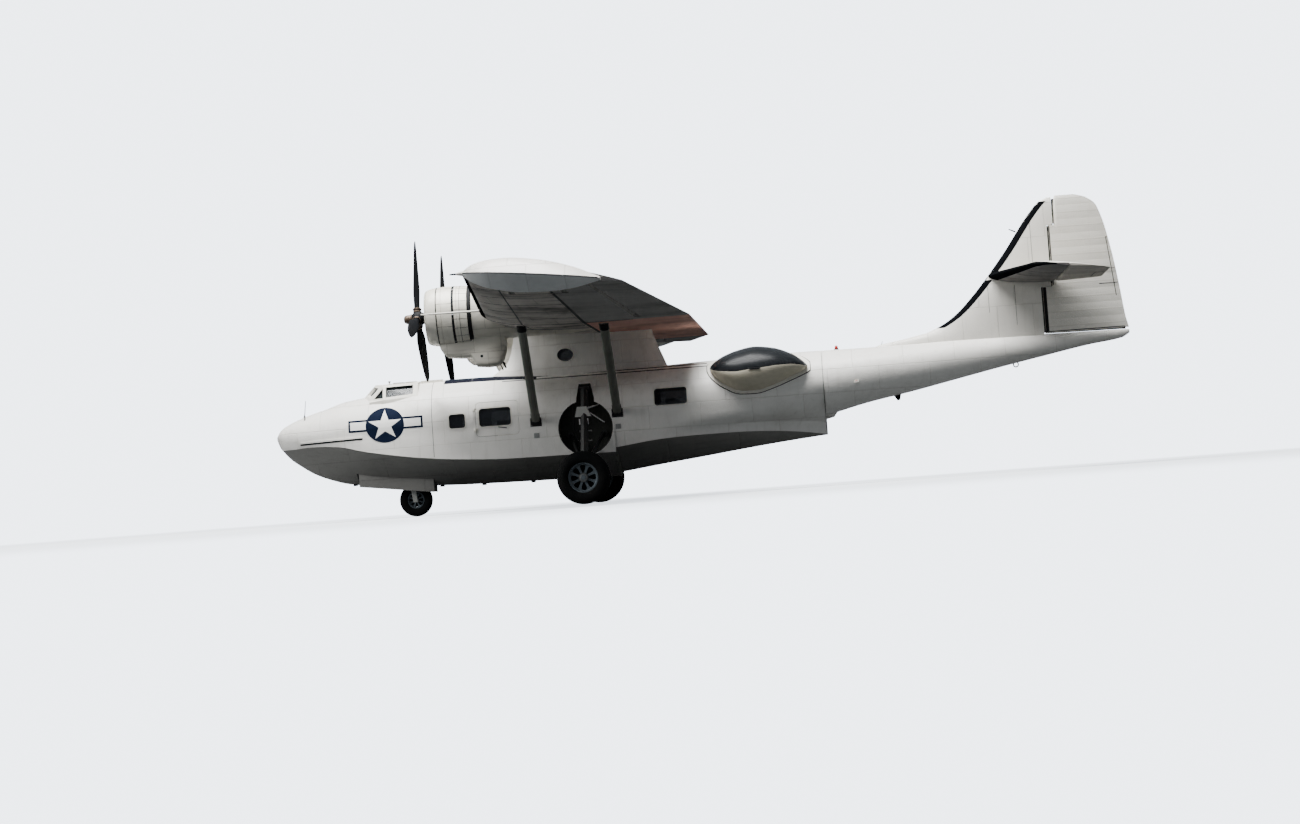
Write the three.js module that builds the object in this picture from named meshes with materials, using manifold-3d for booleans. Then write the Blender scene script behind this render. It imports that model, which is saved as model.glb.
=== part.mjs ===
// A twin-engined parasol-wing amphibious flying boat, standing on its wheels.
// Millimetres, +Z up. In the tables x runs aft from the bow, y to starboard and z up from the ground.
// The finished group is shifted so that its origin lies on the ground, halfway along the boat.
import * as THREE from "three";
import { mergeVertices } from "three/addons/utils/BufferGeometryUtils.js";
import Module from "manifold-3d";

const wasm = await Module();
wasm.setup();

// Driving dimensions
const LENGTH = 19460;
const TOUCH = 0.4; // gap between pieces that bear on each other
const RUNNING = 8; // gap round a moving surface
const SKIN = 60; // hull wall with its frames
const BULKHEAD_X = 3720; // bulkhead between cockpit and cabin
const STEP_X = 7790; // main step
const STERN_X = 12520; // second step
const WING_SPLIT = 0.5; // share of the chord where the metal box ends and the fabric begins
const WING_JOINT_Y = 5490; // centre section to outer panel
const WING_END_Y = 14950; // end rib, with the float outboard of it
const AILERON_Y = [6000, 14500];
const THRUST_Y = 2600;
const THRUST_Z = 4350;
const COWL_RADIUS = 655;
const COWL_BORE = 615;
const COWL_SIDES = 20;
const COWL_X = [3915, 4860];
const FIREWALL_X = 4950;
const PROPELLER_RADIUS = 1830;
const PROPELLER_X = 3700;
const BLADE_TURN = 17; // where the blades stand at rest, in degrees from upright
const STRUT_TOP_Y = 4750;
const WHEEL_SIDES = 24; // facets round a tyre, one of them flat on the ground
const RIM_SIDES = 12; // half the tyre's, so that each corner bears on the middle of a facet
const MAIN_WHEEL = { x: 7100, y: 2550, radius: 595, width: 450, rim: 330 };
const NOSE_WHEEL = { x: 3070, y: 0, radius: 380, width: 240, rim: 190 };
const STEERING_X = 3000;
const RUDDER_HINGE_X = 18020;
const ELEVATOR_HINGE_X = 17950;
const FLOAT_HINGE_Y = 12750;
const FLOAT_LEG_X = [6750, 7750];
const FLOAT_LEG_RADIUS = 45;
const WELL = { x: 7150, z: 1700, radius: 610, back: 1050, wall: 45, face: 1800, sides: 14 };
const WELL_SLOT = [[6960, 2200], [6985, 2400], [7040, 2690], [7300, 2690], [7380, 2350], [7380, 2200]];
const WELL_SLOT_MIDDLE = [7170, 2440];
const NOSE_BAY = { x: [1800, 3550], halfWidth: 360, below: 300, top: 1690, wall: 50 };
const HATCH = { x: [4700, 5670], z: [1670, 2440] };
const SIDE_WINDOW = {
  forward: { x: [4100, 4470], z: [1900, 2220] },
  hatch: { x: [4780, 5500], z: [1890, 2300] },
  waist: { x: [8720, 9450], z: [2070, 2450] },
};
const SIDE_CUT = [1000, 1900]; // how far from the centre line a cut through the hull's side begins and ends
const PYLON_HATCH = { x: [6150, 6900], y: [-300, 300], z: [2700, 3200] };
const STERN_DOOR = { x: [11700, 12700], y: [-330, 330], z: [1900, 2750] };
const BOW_CAVITY_X = 420; // the room inside the bow begins here
const AFT_CAVITY_X = 11900; // the room inside the after hull ends here
const BOOM_CAVITY = { end: 17000, wall: 50 };
const BLISTER = { x: 11080, y: 900, z: 2620, long: 1120, wide: 850, high: 620, glass: 16, rim: 60, rise: 40 };
const BLISTER_RIM_X = 9300; // the rims lie aft of this
const SIDES = [
  { name: "port", sign: -1 },
  { name: "starboard", sign: 1 },
];

// Hull stations. low is the half-breadth a little above the chine, waist the widest line of the side.
const STATION = ["x", "keel", "chineZ", "chineY", "lowY", "waistZ", "waistY", "top"];
const FOREBODY = table(STATION, [
  [0, 1930, 1955, 50, 65, 2000, 70, 2045],
  [70, 1774, 1805, 175, 195, 1960, 205, 2150],
  [140, 1665, 1716, 265, 290, 1940, 300, 2215],
  [300, 1485, 1718, 420, 440, 1930, 450, 2305],
  [500, 1330, 1722, 565, 585, 1925, 600, 2388],
  [800, 1130, 1738, 740, 755, 1925, 765, 2487],
  [1150, 975, 1728, 905, 915, 1925, 920, 2580],
  [1600, 841, 1680, 1080, 1085, 1930, 1080, 2715],
  [2070, 779, 1555, 1225, 1220, 1940, 1205, 2785],
  [2800, 725, 1408, 1380, 1365, 1950, 1340, 2880],
  [3400, 680, 1308, 1465, 1450, 1960, 1420, 3045],
  [4300, 640, 1208, 1525, 1510, 1970, 1480, 3050],
  [5400, 616, 1142, 1550, 1535, 1970, 1510, 3036],
  [6600, 597, 1128, 1550, 1540, 1960, 1515, 2985],
  [7790, 571, 1112, 1550, 1540, 1960, 1510, 2985],
]);
const AFTERBODY = table(STATION, [
  [7790, 660, 1212, 1520, 1520, 1960, 1510, 2985],
  [8900, 790, 1330, 1400, 1450, 2020, 1460, 3000],
  [9700, 875, 1355, 1200, 1360, 2080, 1400, 3020],
  [10500, 966, 1357, 930, 1220, 2140, 1310, 3040],
  [11200, 1040, 1330, 620, 1020, 2190, 1210, 3060],
  [11900, 1105, 1265, 310, 760, 2240, 1100, 3067],
  [12520, 1155, 1165, 40, 430, 2290, 975, 3060],
]);
const BOOM = table(["x", "bottom", "top", "half"], [
  [12520, 1585, 3060, 975],
  [13500, 1812, 3050, 800],
  [14500, 1985, 3055, 625],
  [15500, 2180, 3075, 470],
  [16500, 2375, 3070, 340],
  [17500, 2555, 3050, 240],
  [18500, 2730, 3035, 150],
  [19300, 2840, 3025, 55],
  [LENGTH, 2940, 3015, 20],
]);

// Flying surfaces. span is the distance along the surface; thick and camber are shares of the chord.
const FOIL = ["span", "leadX", "leadZ", "trailX", "trailZ", "thick", "camber"];
const WING = table(FOIL, [
  [0, 5375, 4254, 9800, 3855, 0.155, 0.02],
  [5490, 5375, 4254, 9800, 3855, 0.155, 0.02],
  [14950, 6030, 4445, 8980, 4118, 0.13, 0.02],
]);
const TAILPLANE = table(FOIL, [
  [0, 16380, 4450, 18900, 4230, 0.11, 0],
  [4200, 17130, 4420, 18800, 4220, 0.1, 0],
  [4560, 17350, 4400, 18640, 4240, 0.08, 0],
  [4650, 17640, 4370, 18440, 4270, 0.06, 0],
]);
const FIN = table(FOIL, [
  [2900, 13500, 0, LENGTH, 0, 0.055, 0],
  [3050, 13700, 0, LENGTH, 0, 0.055, 0],
  [3265, 14890, 0, 19410, 0, 0.065, 0],
  [3550, 15480, 0, 19370, 0, 0.072, 0],
  [3980, 15960, 0, 19320, 0, 0.078, 0],
  [4858, 16710, 0, 19190, 0, 0.085, 0],
  [5870, 17470, 0, 18930, 0, 0.09, 0],
  [6080, 17700, 0, 18680, 0, 0.08, 0],
  [6150, 17960, 0, 18440, 0, 0.06, 0],
]);

// Colours and surface finishes
const FINISH = {
  cream: finish(0xd9d7cd, 0.5, 0.1),
  bottom: finish(0x6e706d, 0.6, 0.1),
  darkWing: finish(0x4d4b4c, 0.7, 0.1),
  fabric: finish(0x77706c, 0.85, 0),
  glass: finish(0x1d2428, 0.15, 0.1),
  frame: finish(0xb9b6a8, 0.5, 0.2),
  strut: finish(0x6a6c63, 0.5, 0.3),
  black: finish(0x17181b, 0.5, 0.3),
  rubber: finish(0x111214, 0.9, 0),
  rim: finish(0x59646a, 0.5, 0.6),
  engine: finish(0x4a4a48, 0.5, 0.8),
  leg: finish(0xb4b4ae, 0.45, 0.5),
  seat: finish(0x3f463c, 0.8, 0.1),
};

const boat = new THREE.Group();
boat.position.x = -LENGTH / 2;

// Tables and small helpers
function table(columns, rows) {
  return rows.map((row) => Object.fromEntries(columns.map((name, i) => [name, row[i]])));
}

function finish(color, roughness, metalness) {
  return { color, roughness, metalness };
}

function mix(a, b, t) {
  return a + (b - a) * t;
}

// The row of a table at one value of its key column, read off between its neighbours.
function between(rows, key, value) {
  let i = 1;
  while (i < rows.length - 1 && rows[i][key] < value) i += 1;
  const [a, b] = [rows[i - 1], rows[i]];
  const t = (value - a[key]) / (b[key] - a[key]);
  return Object.fromEntries(Object.keys(a).map((name) => [name, mix(a[name], b[name], t)]));
}

// The rows of a table from one value of its key column to another, with both ends.
function stretch(rows, key, from, to) {
  const inner = rows.filter((row) => row[key] > from + 1 && row[key] < to - 1);
  return [between(rows, key, from), ...inner, between(rows, key, to)];
}

// Solids
function solidOf(positions, triangles) {
  const corner = (i) => positions[i];
  let volume = 0;
  for (const [a, b, c] of triangles) volume += corner(a).dot(corner(b).clone().cross(corner(c)));
  const wound = volume < 0 ? triangles.map(([a, b, c]) => [a, c, b]) : triangles;
  const geometry = new THREE.BufferGeometry();
  geometry.setAttribute(
    "position",
    new THREE.Float32BufferAttribute(positions.flatMap((p) => [p.x, p.y, p.z]), 3),
  );
  geometry.setIndex(wound.flat());
  return fromGeometry(geometry);
}

function fromGeometry(source) {
  const geometry = source.clone();
  geometry.deleteAttribute("normal");
  geometry.deleteAttribute("uv");
  const merged = mergeVertices(geometry, 1e-3);
  return new wasm.Manifold(
    new wasm.Mesh({
      numProp: 3,
      vertProperties: new Float32Array(merged.attributes.position.array),
      triVerts: new Uint32Array(merged.index.array),
    }),
  );
}

// A solid through closed rings of points, each end closed by a fan about its middle.
function loft(rings) {
  const count = rings[0].length;
  const positions = rings.flat();
  const triangles = [];
  for (let r = 0; r + 1 < rings.length; r += 1) {
    for (let i = 0; i < count; i += 1) {
      const j = (i + 1) % count;
      const [a, b] = [r * count + i, r * count + j];
      triangles.push([a, b, b + count], [a, b + count, a + count]);
    }
  }
  for (const end of [0, rings.length - 1]) {
    const middle = new THREE.Vector3();
    for (const p of rings[end]) middle.addScaledVector(p, 1 / count);
    const hub = positions.push(middle) - 1;
    for (let i = 0; i < count; i += 1) {
      const [a, b] = [end * count + i, end * count + ((i + 1) % count)];
      triangles.push(end ? [a, b, hub] : [b, a, hub]);
    }
  }
  return solidOf(positions, triangles);
}

function vec(x, y, z) {
  return new THREE.Vector3(x, y, z);
}

function box(x, y, z) {
  const ring = (at) => [vec(at, y[0], z[0]), vec(at, y[1], z[0]), vec(at, y[1], z[1]), vec(at, y[0], z[1])];
  return loft([ring(x[0]), ring(x[1])]);
}

// An outline in the side view, pushed through from one y to another.
function sideCut(outline, from, to) {
  return loft([from, to].map((y) => outline.map(([x, z]) => vec(x, y, z))));
}

// A round bar between two points, with a radius at each end.
function bar(from, to, radius, endRadius = radius, sides = 8) {
  const along = to.clone().sub(from).normalize();
  const [u, v] = acrossOf(along);
  return loft([[from, radius], [to, endRadius]].map(([p, r]) => circle(p, u, v, r, r, sides)));
}

function acrossOf(along) {
  const seed = Math.abs(along.z) > 0.9 ? vec(1, 0, 0) : vec(0, 0, 1);
  const u = seed.clone().cross(along).normalize();
  return [u, along.clone().cross(u)];
}

function circle(centre, u, v, ru, rv, sides, phase = 0) {
  return Array.from({ length: sides }, (_, i) => {
    const a = ((i + phase) / sides) * 2 * Math.PI;
    return centre.clone().addScaledVector(u, ru * Math.cos(a)).addScaledVector(v, rv * Math.sin(a));
  });
}

// A profile of [along, radius] turned about an axis parallel to X or Y. One off the axis is closed.
function turned(profile, centre, axis, sides) {
  const outline = profile[0][1] > 0 ? [...profile, profile[0]] : profile;
  const points = outline.map(([along, radius]) => new THREE.Vector2(radius, along));
  const geometry = new THREE.LatheGeometry(points, sides, Math.PI / sides);
  geometry.deleteAttribute("normal");
  geometry.deleteAttribute("uv");
  if (axis === "x") geometry.rotateZ(-Math.PI / 2);
  geometry.translate(centre.x, centre.y, centre.z);
  const merged = mergeVertices(geometry, 1e-2);
  const positions = [];
  for (let i = 0; i < merged.attributes.position.count; i += 1) {
    positions.push(new THREE.Vector3().fromBufferAttribute(merged.attributes.position, i));
  }
  const flat = [...merged.index.array];
  const triangles = [];
  for (let i = 0; i < flat.length; i += 3) triangles.push(flat.slice(i, i + 3));
  return solidOf(positions, triangles.filter(([a, b, c]) => a !== b && b !== c && a !== c));
}

function join(...solids) {
  return solids.flat().reduce((all, one) => all.add(one));
}

function cut(solid, ...tools) {
  return tools.flat().reduce((left, tool) => left.subtract(tool), solid);
}

function place(name, solid, look) {
  const made = solid.getMesh();
  const geometry = new THREE.BufferGeometry();
  geometry.setAttribute("position", new THREE.Float32BufferAttribute(made.vertProperties, 3));
  geometry.setIndex(new THREE.BufferAttribute(made.triVerts, 1));
  geometry.computeVertexNormals();
  const mesh = new THREE.Mesh(geometry, new THREE.MeshStandardMaterial(look));
  mesh.name = name;
  boat.add(mesh);
}

// Hull
const LOW_SHARE = 0.45; // height of the low line between chine and waist
const ARCH_STEPS = 5;
const ARCH_POWER = 0.92; // under 1 squares the deck's shoulders

function hullRing(row, inset) {
  const top = row.top - inset;
  const chine = [row.chineY - inset, row.chineZ + 0.4 * inset];
  const waist = [row.waistY - inset, row.waistZ];
  const low = [row.lowY - inset, mix(chine[1], waist[1], LOW_SHARE)];
  const half = [chine, low, waist];
  for (let i = 1; i < ARCH_STEPS; i += 1) {
    const a = (i / ARCH_STEPS) * (Math.PI / 2);
    const y = waist[0] * Math.cos(a) ** ARCH_POWER;
    half.push([y, mix(waist[1], top, Math.sin(a) ** ARCH_POWER)]);
  }
  const right = half.map(([y, z]) => vec(row.x, y, z));
  const left = half.map(([y, z]) => vec(row.x, -y, z)).reverse();
  return [vec(row.x, 0, row.keel + 1.15 * inset), ...right, vec(row.x, 0, top), ...left];
}

function hullSolid(rows, from, to, inset = 0) {
  return loft(stretch(rows, "x", from, to).map((row) => hullRing(row, inset)));
}

// Height of the planing bottom at a distance from the keel.
function bottomZ(x, y) {
  const row = between(FOREBODY, "x", x);
  return mix(row.keel, row.chineZ, y / row.chineY);
}

function boomSolid(from, to, inset = 0) {
  return loft(
    stretch(BOOM, "x", from, to).map((row) => {
      const middle = vec(row.x, 0, (row.top + row.bottom) / 2);
      const rise = (row.top - row.bottom) / 2 - inset;
      return circle(middle, vec(0, 1, 0), vec(0, 0, 1), row.half - inset, rise, 14);
    }),
  );
}

const hullEnvelope = join(
  hullSolid(FOREBODY, 0, STEP_X, -TOUCH),
  hullSolid(AFTERBODY, STEP_X - 1, STERN_X, -TOUCH),
);

const DOORWAY = { halfWidth: 380, z: [1080, 2600], reach: 120 };

function doorway(x) {
  const { halfWidth, reach, z } = DOORWAY;
  return box([x - reach, x + reach], [-halfWidth, halfWidth], z);
}

// Canopy rings from the foot of the windscreen aft: each point is [x, half-breadth, z], sill first.
const CANOPY = [
  [[2270, 880, 2400], [2270, 870, 2640], [2240, 700, 2690], [2120, 400, 2755], [2060, 0, 2785]],
  [[2600, 980, 2400], [2600, 970, 2670], [2590, 760, 2995], [2400, 400, 3035], [2330, 0, 3052]],
  [[3400, 1120, 2400], [3400, 1085, 2700], [3400, 860, 3000], [3400, 450, 3045], [3400, 0, 3060]],
];
const CANOPY_MIDDLE = { x: 2900, z: 2500 };
const CANOPY_HALF = { x: 700, y: 950, z: 500 };

function canopySolid(inset) {
  const shrink = (axis) => 1 - inset / CANOPY_HALF[axis];
  const put = ([x, y, z], sign) =>
    vec(
      mix(CANOPY_MIDDLE.x, x, shrink("x")),
      sign * y * shrink("y"),
      mix(CANOPY_MIDDLE.z, z, shrink("z")),
    );
  return loft(
    CANOPY.map((ring) => [
      ...ring.map((p) => put(p, 1)),
      ...ring.slice(0, -1).reverse().map((p) => put(p, -1)),
    ]),
  );
}

const FRAME_DEPTH = 45;
const FRAME_LEDGE = 20; // the hull's opening is smaller than the frame by this
const CANOPY_PANE = 12;
const CANOPY_RIM = { x: [2500, 3400 + TOUCH], y: [-1200, 1200], z: [2500, 3300] };
const SCREEN = [[40, 2835], [40, 3010], [380, 2995], [650, 2950], [650, 2750], [370, 2810]]; // from ahead
const SCREEN_X = [1950, 2600];
const QUARTER_LIGHT = [[2370, 2715], [2590, 2940], [2590, 2715]];
const SIDE_LIGHT = [[2660, 2725], [2660, 2960], [3290, 2968], [3290, 2765]];
const SIDE_LIGHT_Y = [620, 1300];
const ROOF_LIGHT = { x: [2680, 3250], y: [60, 520], z: [2980, 3200] };

function canopyWindows() {
  return SIDES.flatMap(({ sign }) => {
    const [near, far] = SIDE_LIGHT_Y.map((y) => sign * y);
    const roofY = ROOF_LIGHT.y.map((y) => sign * y).sort((a, b) => a - b);
    return [
      loft(SCREEN_X.map((x) => SCREEN.map(([y, z]) => vec(x, sign * y, z)))),
      sideCut(QUARTER_LIGHT, near, far),
      sideCut(SIDE_LIGHT, near, far),
      box(ROOF_LIGHT.x, roofY, ROOF_LIGHT.z),
    ];
  });
}

function blisterShape(sign, grow) {
  const sphere = new THREE.SphereGeometry(1, 16, 8);
  sphere.rotateZ(Math.PI / 2);
  sphere.scale(BLISTER.long + grow, BLISTER.wide + grow, BLISTER.high + grow);
  sphere.translate(BLISTER.x, sign * BLISTER.y, BLISTER.z);
  return fromGeometry(sphere);
}

// A wheel's well and the slot above it for the leg, with walls if grow is more than nothing.
function wellParts(sign, grow) {
  const [near, far] = [WELL.back - grow, WELL.face].map((y) => sign * y);
  const radius = WELL.radius + grow;
  const ring = (y) => circle(vec(WELL.x, y, WELL.z), vec(1, 0, 0), vec(0, 0, 1), radius, radius, WELL.sides);
  const outward = (p) => p.map((value, i) => value + grow * Math.sign(value - WELL_SLOT_MIDDLE[i]));
  return join(loft([ring(near), ring(far)]), sideCut(WELL_SLOT.map(outward), near, far));
}

function rectangle([x0, x1], [z0, z1]) {
  return [[x0, z0], [x1, z0], [x1, z1], [x0, z1]];
}

function throughSide({ x, z }, sign) {
  const [near, far] = SIDE_CUT.map((y) => sign * y);
  return sideCut(rectangle(x, z), near, far);
}

function boxOf({ x, y, z }) {
  return box(x, y, z);
}

function bayBox(grow) {
  const wide = NOSE_BAY.halfWidth + grow;
  const long = [NOSE_BAY.x[0] - grow, NOSE_BAY.x[1] + grow];
  return box(long, [-wide, wide], [NOSE_BAY.below, NOSE_BAY.top + grow]);
}


function buildBow() {
  const outer = hullSolid(FOREBODY, 0, BULKHEAD_X);
  const inner = hullSolid(FOREBODY, BOW_CAVITY_X, BULKHEAD_X - SKIN, SKIN);
  const shell = join(cut(outer, inner, doorway(BULKHEAD_X)), outer.intersect(bayBox(NOSE_BAY.wall)));
  const rim = canopySolid(-TOUCH).intersect(boxOf(CANOPY_RIM));
  place("hull_bow", cut(shell, bayBox(0), canopySolid(FRAME_DEPTH + FRAME_LEDGE), rim), FINISH.cream);
}

function buildMidship() {
  const outer = hullSolid(FOREBODY, BULKHEAD_X + TOUCH, STEP_X);
  const skin = cut(outer, hullSolid(FOREBODY, BULKHEAD_X + SKIN, STEP_X - SKIN, SKIN));
  const wells = SIDES.map(({ sign }) => wellParts(sign, WELL.wall).intersect(outer));
  const holes = SIDES.flatMap(({ sign }) => [throughSide(SIDE_WINDOW.forward, sign), wellParts(sign, 0)]);
  const ways = [throughSide(HATCH, -1), throughSide(SIDE_WINDOW.hatch, 1), boxOf(PYLON_HATCH)];
  const shell = cut(join(skin, wells), holes, ways, doorway(BULKHEAD_X), doorway(STEP_X));
  place("hull_midship", join(shell, hatchBarrels(0)), FINISH.cream);

  const inset = ([low, high]) => [low + RUNNING, high - RUNNING];
  const leaf = skin.intersect(throughSide({ x: inset(HATCH.x), z: inset(HATCH.z) }, -1));
  const door = cut(leaf, throughSide(SIDE_WINDOW.hatch, -1));
  place("side_hatch", join(door, hatchBarrels(1)), FINISH.cream);
}

function buildAft() {
  const outer = hullSolid(AFTERBODY, STEP_X + TOUCH, STERN_X);
  const inner = hullSolid(AFTERBODY, STEP_X + SKIN, AFT_CAVITY_X, SKIN);
  const holes = SIDES.flatMap(({ sign }) => [
    blisterShape(sign, -BLISTER.rim),
    throughSide(SIDE_WINDOW.waist, sign),
  ]);
  place("hull_aft", cut(outer, inner, doorway(STEP_X), boxOf(STERN_DOOR), holes), FINISH.cream);
  const cavity = boomSolid(STERN_X, BOOM_CAVITY.end, BOOM_CAVITY.wall);
  place("tail_boom", cut(boomSolid(STERN_X + TOUCH, LENGTH), cavity), FINISH.cream);
}

// Hinge barrels of the side hatch on an upright pin just outside its forward edge.
const HATCH_PIN = { x: HATCH.x[0], y: -1535, radius: 16, gap: 0.3 };
const HATCH_BARRELS = [[1790, 1870], [2230, 2310]];
const HATCH_LEAF = { length: 45, y: [HATCH_PIN.y - 4, -1400] };

function hatchBarrels(which) {
  const { x, y, radius, gap } = HATCH_PIN;
  return HATCH_BARRELS.map(([low, high]) => {
    const mid = (low + high) / 2;
    const [z0, z1] = which ? [mid + gap, high] : [low, mid - gap];
    const leafX = which ? [x, x + HATCH_LEAF.length] : [x - HATCH_LEAF.length, x];
    return join(bar(vec(x, y, z0), vec(x, y, z1), radius), box(leafX, HATCH_LEAF.y, [z0, z1]));
  });
}

function buildGlazing() {
  const frame = cut(canopySolid(0), canopySolid(FRAME_DEPTH), hullEnvelope, canopyWindows());
  place("cockpit_frame", frame, FINISH.frame);
  const pane = cut(canopySolid(FRAME_DEPTH + TOUCH), canopySolid(FRAME_DEPTH + CANOPY_PANE), hullEnvelope);
  place("cockpit_glass", pane, FINISH.glass);
  for (const { name, sign } of SIDES) {
    const dome = cut(blisterShape(sign, 0), blisterShape(sign, -BLISTER.glass), hullEnvelope);
    place(`blister_glass_${name}`, dome, FINISH.glass);
    const band = hullSolid(AFTERBODY, BLISTER_RIM_X, STERN_X, -BLISTER.rise);
    const ring = cut(blisterShape(sign, BLISTER.rim), blisterShape(sign, TOUCH)).intersect(band);
    place(`blister_frame_${name}`, cut(ring, hullEnvelope), FINISH.frame);
  }
}

// Cockpit furniture on each side: limits along x, outward from the centre line, and in height.
const DECK_Z = NOSE_BAY.top + NOSE_BAY.wall + TOUCH;
const DECK_TOP = NOSE_BAY.top + 80;
const FURNITURE = table(["x", "y", "z"], [
  [[2780, 3180], [260, 700], [DECK_TOP - 10, 2080]],
  [[3100, 3180], [260, 700], [2000, 2700]],
  [[2330, 2400], [560, 640], [DECK_TOP - 10, 2400]],
]);
const COCKPIT_FLOOR = { x: [2250, 3600], y: [-950, 950], z: [DECK_Z, DECK_TOP] };
const INSTRUMENT_PANEL = { x: [2330, 2400], y: [-760, 760], z: [2340, 2560] };
const COLUMN = { y: 480, from: [2400, 2400], to: [2560, 2330], radius: 20 };

function buildCockpit() {
  const parts = SIDES.flatMap(({ sign }) => {
    const outward = (y) => y.map((value) => sign * value).sort((a, b) => a - b);
    const [from, to] = [COLUMN.from, COLUMN.to].map(([x, z]) => vec(x, sign * COLUMN.y, z));
    return [...FURNITURE.map(({ x, y, z }) => box(x, outward(y), z)), bar(from, to, COLUMN.radius)];
  });
  place("cockpit_interior", join(boxOf(COCKPIT_FLOOR), parts, boxOf(INSTRUMENT_PANEL)), FINISH.seat);
}

// Flying surfaces
class Foil {
  constructor(rows, upright = false) {
    this.rows = rows;
    this.upright = upright;
  }

  halfThickness(u) {
    const curve = 0.2969 * Math.sqrt(u) - 0.126 * u - 0.3516 * u ** 2 + 0.2843 * u ** 3 - 0.1015 * u ** 4;
    return 5 * curve;
  }

  // A point of the skin at a span, a share of the chord and a side of 1 or -1, moved out by grow.
  point(span, u, side, grow, sign) {
    const row = between(this.rows, "span", span);
    const chord = Math.hypot(row.trailX - row.leadX, row.trailZ - row.leadZ);
    const along = [(row.trailX - row.leadX) / chord, (row.trailZ - row.leadZ) / chord];
    const half = chord * row.thick * this.halfThickness(u) + grow;
    const h = chord * (4 * row.camber * u * (1 - u)) + side * half;
    const a = u * chord + (u < 0.001 ? -grow : 0);
    const x = row.leadX + a * along[0] - h * along[1];
    const z = row.leadZ + a * along[1] + h * along[0];
    return this.upright ? vec(x, z, span) : vec(x, sign * span, z);
  }

  // The share of the chord at which a section crosses an x.
  shareAt(span, x) {
    const row = between(this.rows, "span", span);
    return (x - row.leadX) / (row.trailX - row.leadX);
  }

  loop(span, from, to, grow, sign) {
    const shares = [0, 0.02, 0.08, 0.2, 0.4, 0.7, 1];
    const inner = from === 0 ? shares.map((s) => s * to) : [0, 0.5, 1].map((s) => mix(from, to, s));
    const upper = inner.map((u) => this.point(span, u, 1, grow, sign));
    const lower = inner.map((u) => this.point(span, u, -1, grow, sign)).reverse();
    if (from === 0) lower.pop();
    return [...upper, ...lower];
  }

  // A solid over a stretch of span. from and to are shares of the chord, or functions of the span.
  solid(spanFrom, spanTo, from, to, grow = 0, sign = 1) {
    const share = (limit, span) => (typeof limit === "function" ? limit(span) : limit);
    const spans = stretch(this.rows, "span", spanFrom, spanTo).map((row) => row.span);
    return loft(spans.map((span) => this.loop(span, share(from, span), share(to, span), grow, sign)));
  }

  // The middle of the section at a share of the chord, with the half-thickness there.
  core(span, u, sign) {
    const upper = this.point(span, u, 1, 0, sign);
    const lower = this.point(span, u, -1, 0, sign);
    return { middle: upper.clone().add(lower).multiplyScalar(0.5), half: upper.distanceTo(lower) / 2 };
  }

  // A moving surface with a round nose about its hinge line.
  flap(spanFrom, spanTo, hinge, sign = 1) {
    const spans = stretch(this.rows, "span", spanFrom, spanTo).map((row) => row.span);
    return loft(
      spans.map((span) => {
        const { middle, half } = this.core(span, hinge(span), sign);
        const up = this.upright ? vec(0, 1, 0) : vec(0, 0, 1);
        const nose = [60, 20, -20, -60].map((degrees) => {
          const a = THREE.MathUtils.degToRad(degrees);
          return middle.clone().add(vec(-half * Math.cos(a), 0, 0)).addScaledVector(up, half * Math.sin(a));
        });
        const mid = mix(hinge(span), 1, 0.5);
        return [
          ...nose,
          ...[hinge(span), mid, 1].map((u) => this.point(span, u, -1, 0, sign)),
          ...[1, mid, hinge(span)].map((u) => this.point(span, u, 1, 0, sign)),
        ];
      }),
    );
  }
}

// Hinge lugs on a fixed surface, each ending in a round eye on the hinge line, and the slots they need.
// The eye's corners bear on the middles of the slot's facets, so it can turn.
const LUG = { half: 15, eye: 28, arm: 11, slot: 22, deep: 300, sides: 8 };
const LUG_SLOT_RADIUS = (LUG.eye + TOUCH) / Math.cos(Math.PI / LUG.sides);

function hingeLugs(points, along, reach) {
  const aft = vec(0, 0, 1).cross(along).normalize();
  if (along.z > 0.7) aft.set(1, 0, 0);
  if (aft.x < 0) aft.negate();
  const up = aft.clone().cross(along).normalize();
  const shift = (p, s, a, h) =>
    p.clone().addScaledVector(along, s).addScaledVector(aft, a).addScaledVector(up, h);
  const block = (p, half, front, rise) => {
    const corners = [[front, -rise], [0, -rise], [0, rise], [front, rise]];
    return loft([-half, half].map((s) => corners.map(([a, h]) => shift(p, s, a, h))));
  };
  const disc = (p, half, radius, phase) => {
    const ring = (s) => circle(shift(p, s, 0, 0), aft, up, radius, radius, LUG.sides, phase);
    return loft([-half, half].map(ring));
  };
  const lug = (p) => join(disc(p, LUG.half, LUG.eye, 0), block(p, LUG.half, -reach, LUG.arm));
  const slot = (p) => join(disc(p, LUG.slot, LUG_SLOT_RADIUS, 0.5), block(p, LUG.slot, -LUG.deep, LUG.deep));
  return { lugs: points.map(lug), slots: points.map(slot) };
}

const wing = new Foil(WING);
const tailplane = new Foil(TAILPLANE);
const fin = new Foil(FIN, true);
const AILERON_HINGE = 0.79; // shares of the chord
const AILERON_LUGS = { spans: [7000, 10250, 13500], reach: 170 };
const COVE_SPARE = 4; // a cove is deeper than the running gap by this
const END_LAP = 0.02; // the end pieces reach ahead of the cove by this share of the chord

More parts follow.
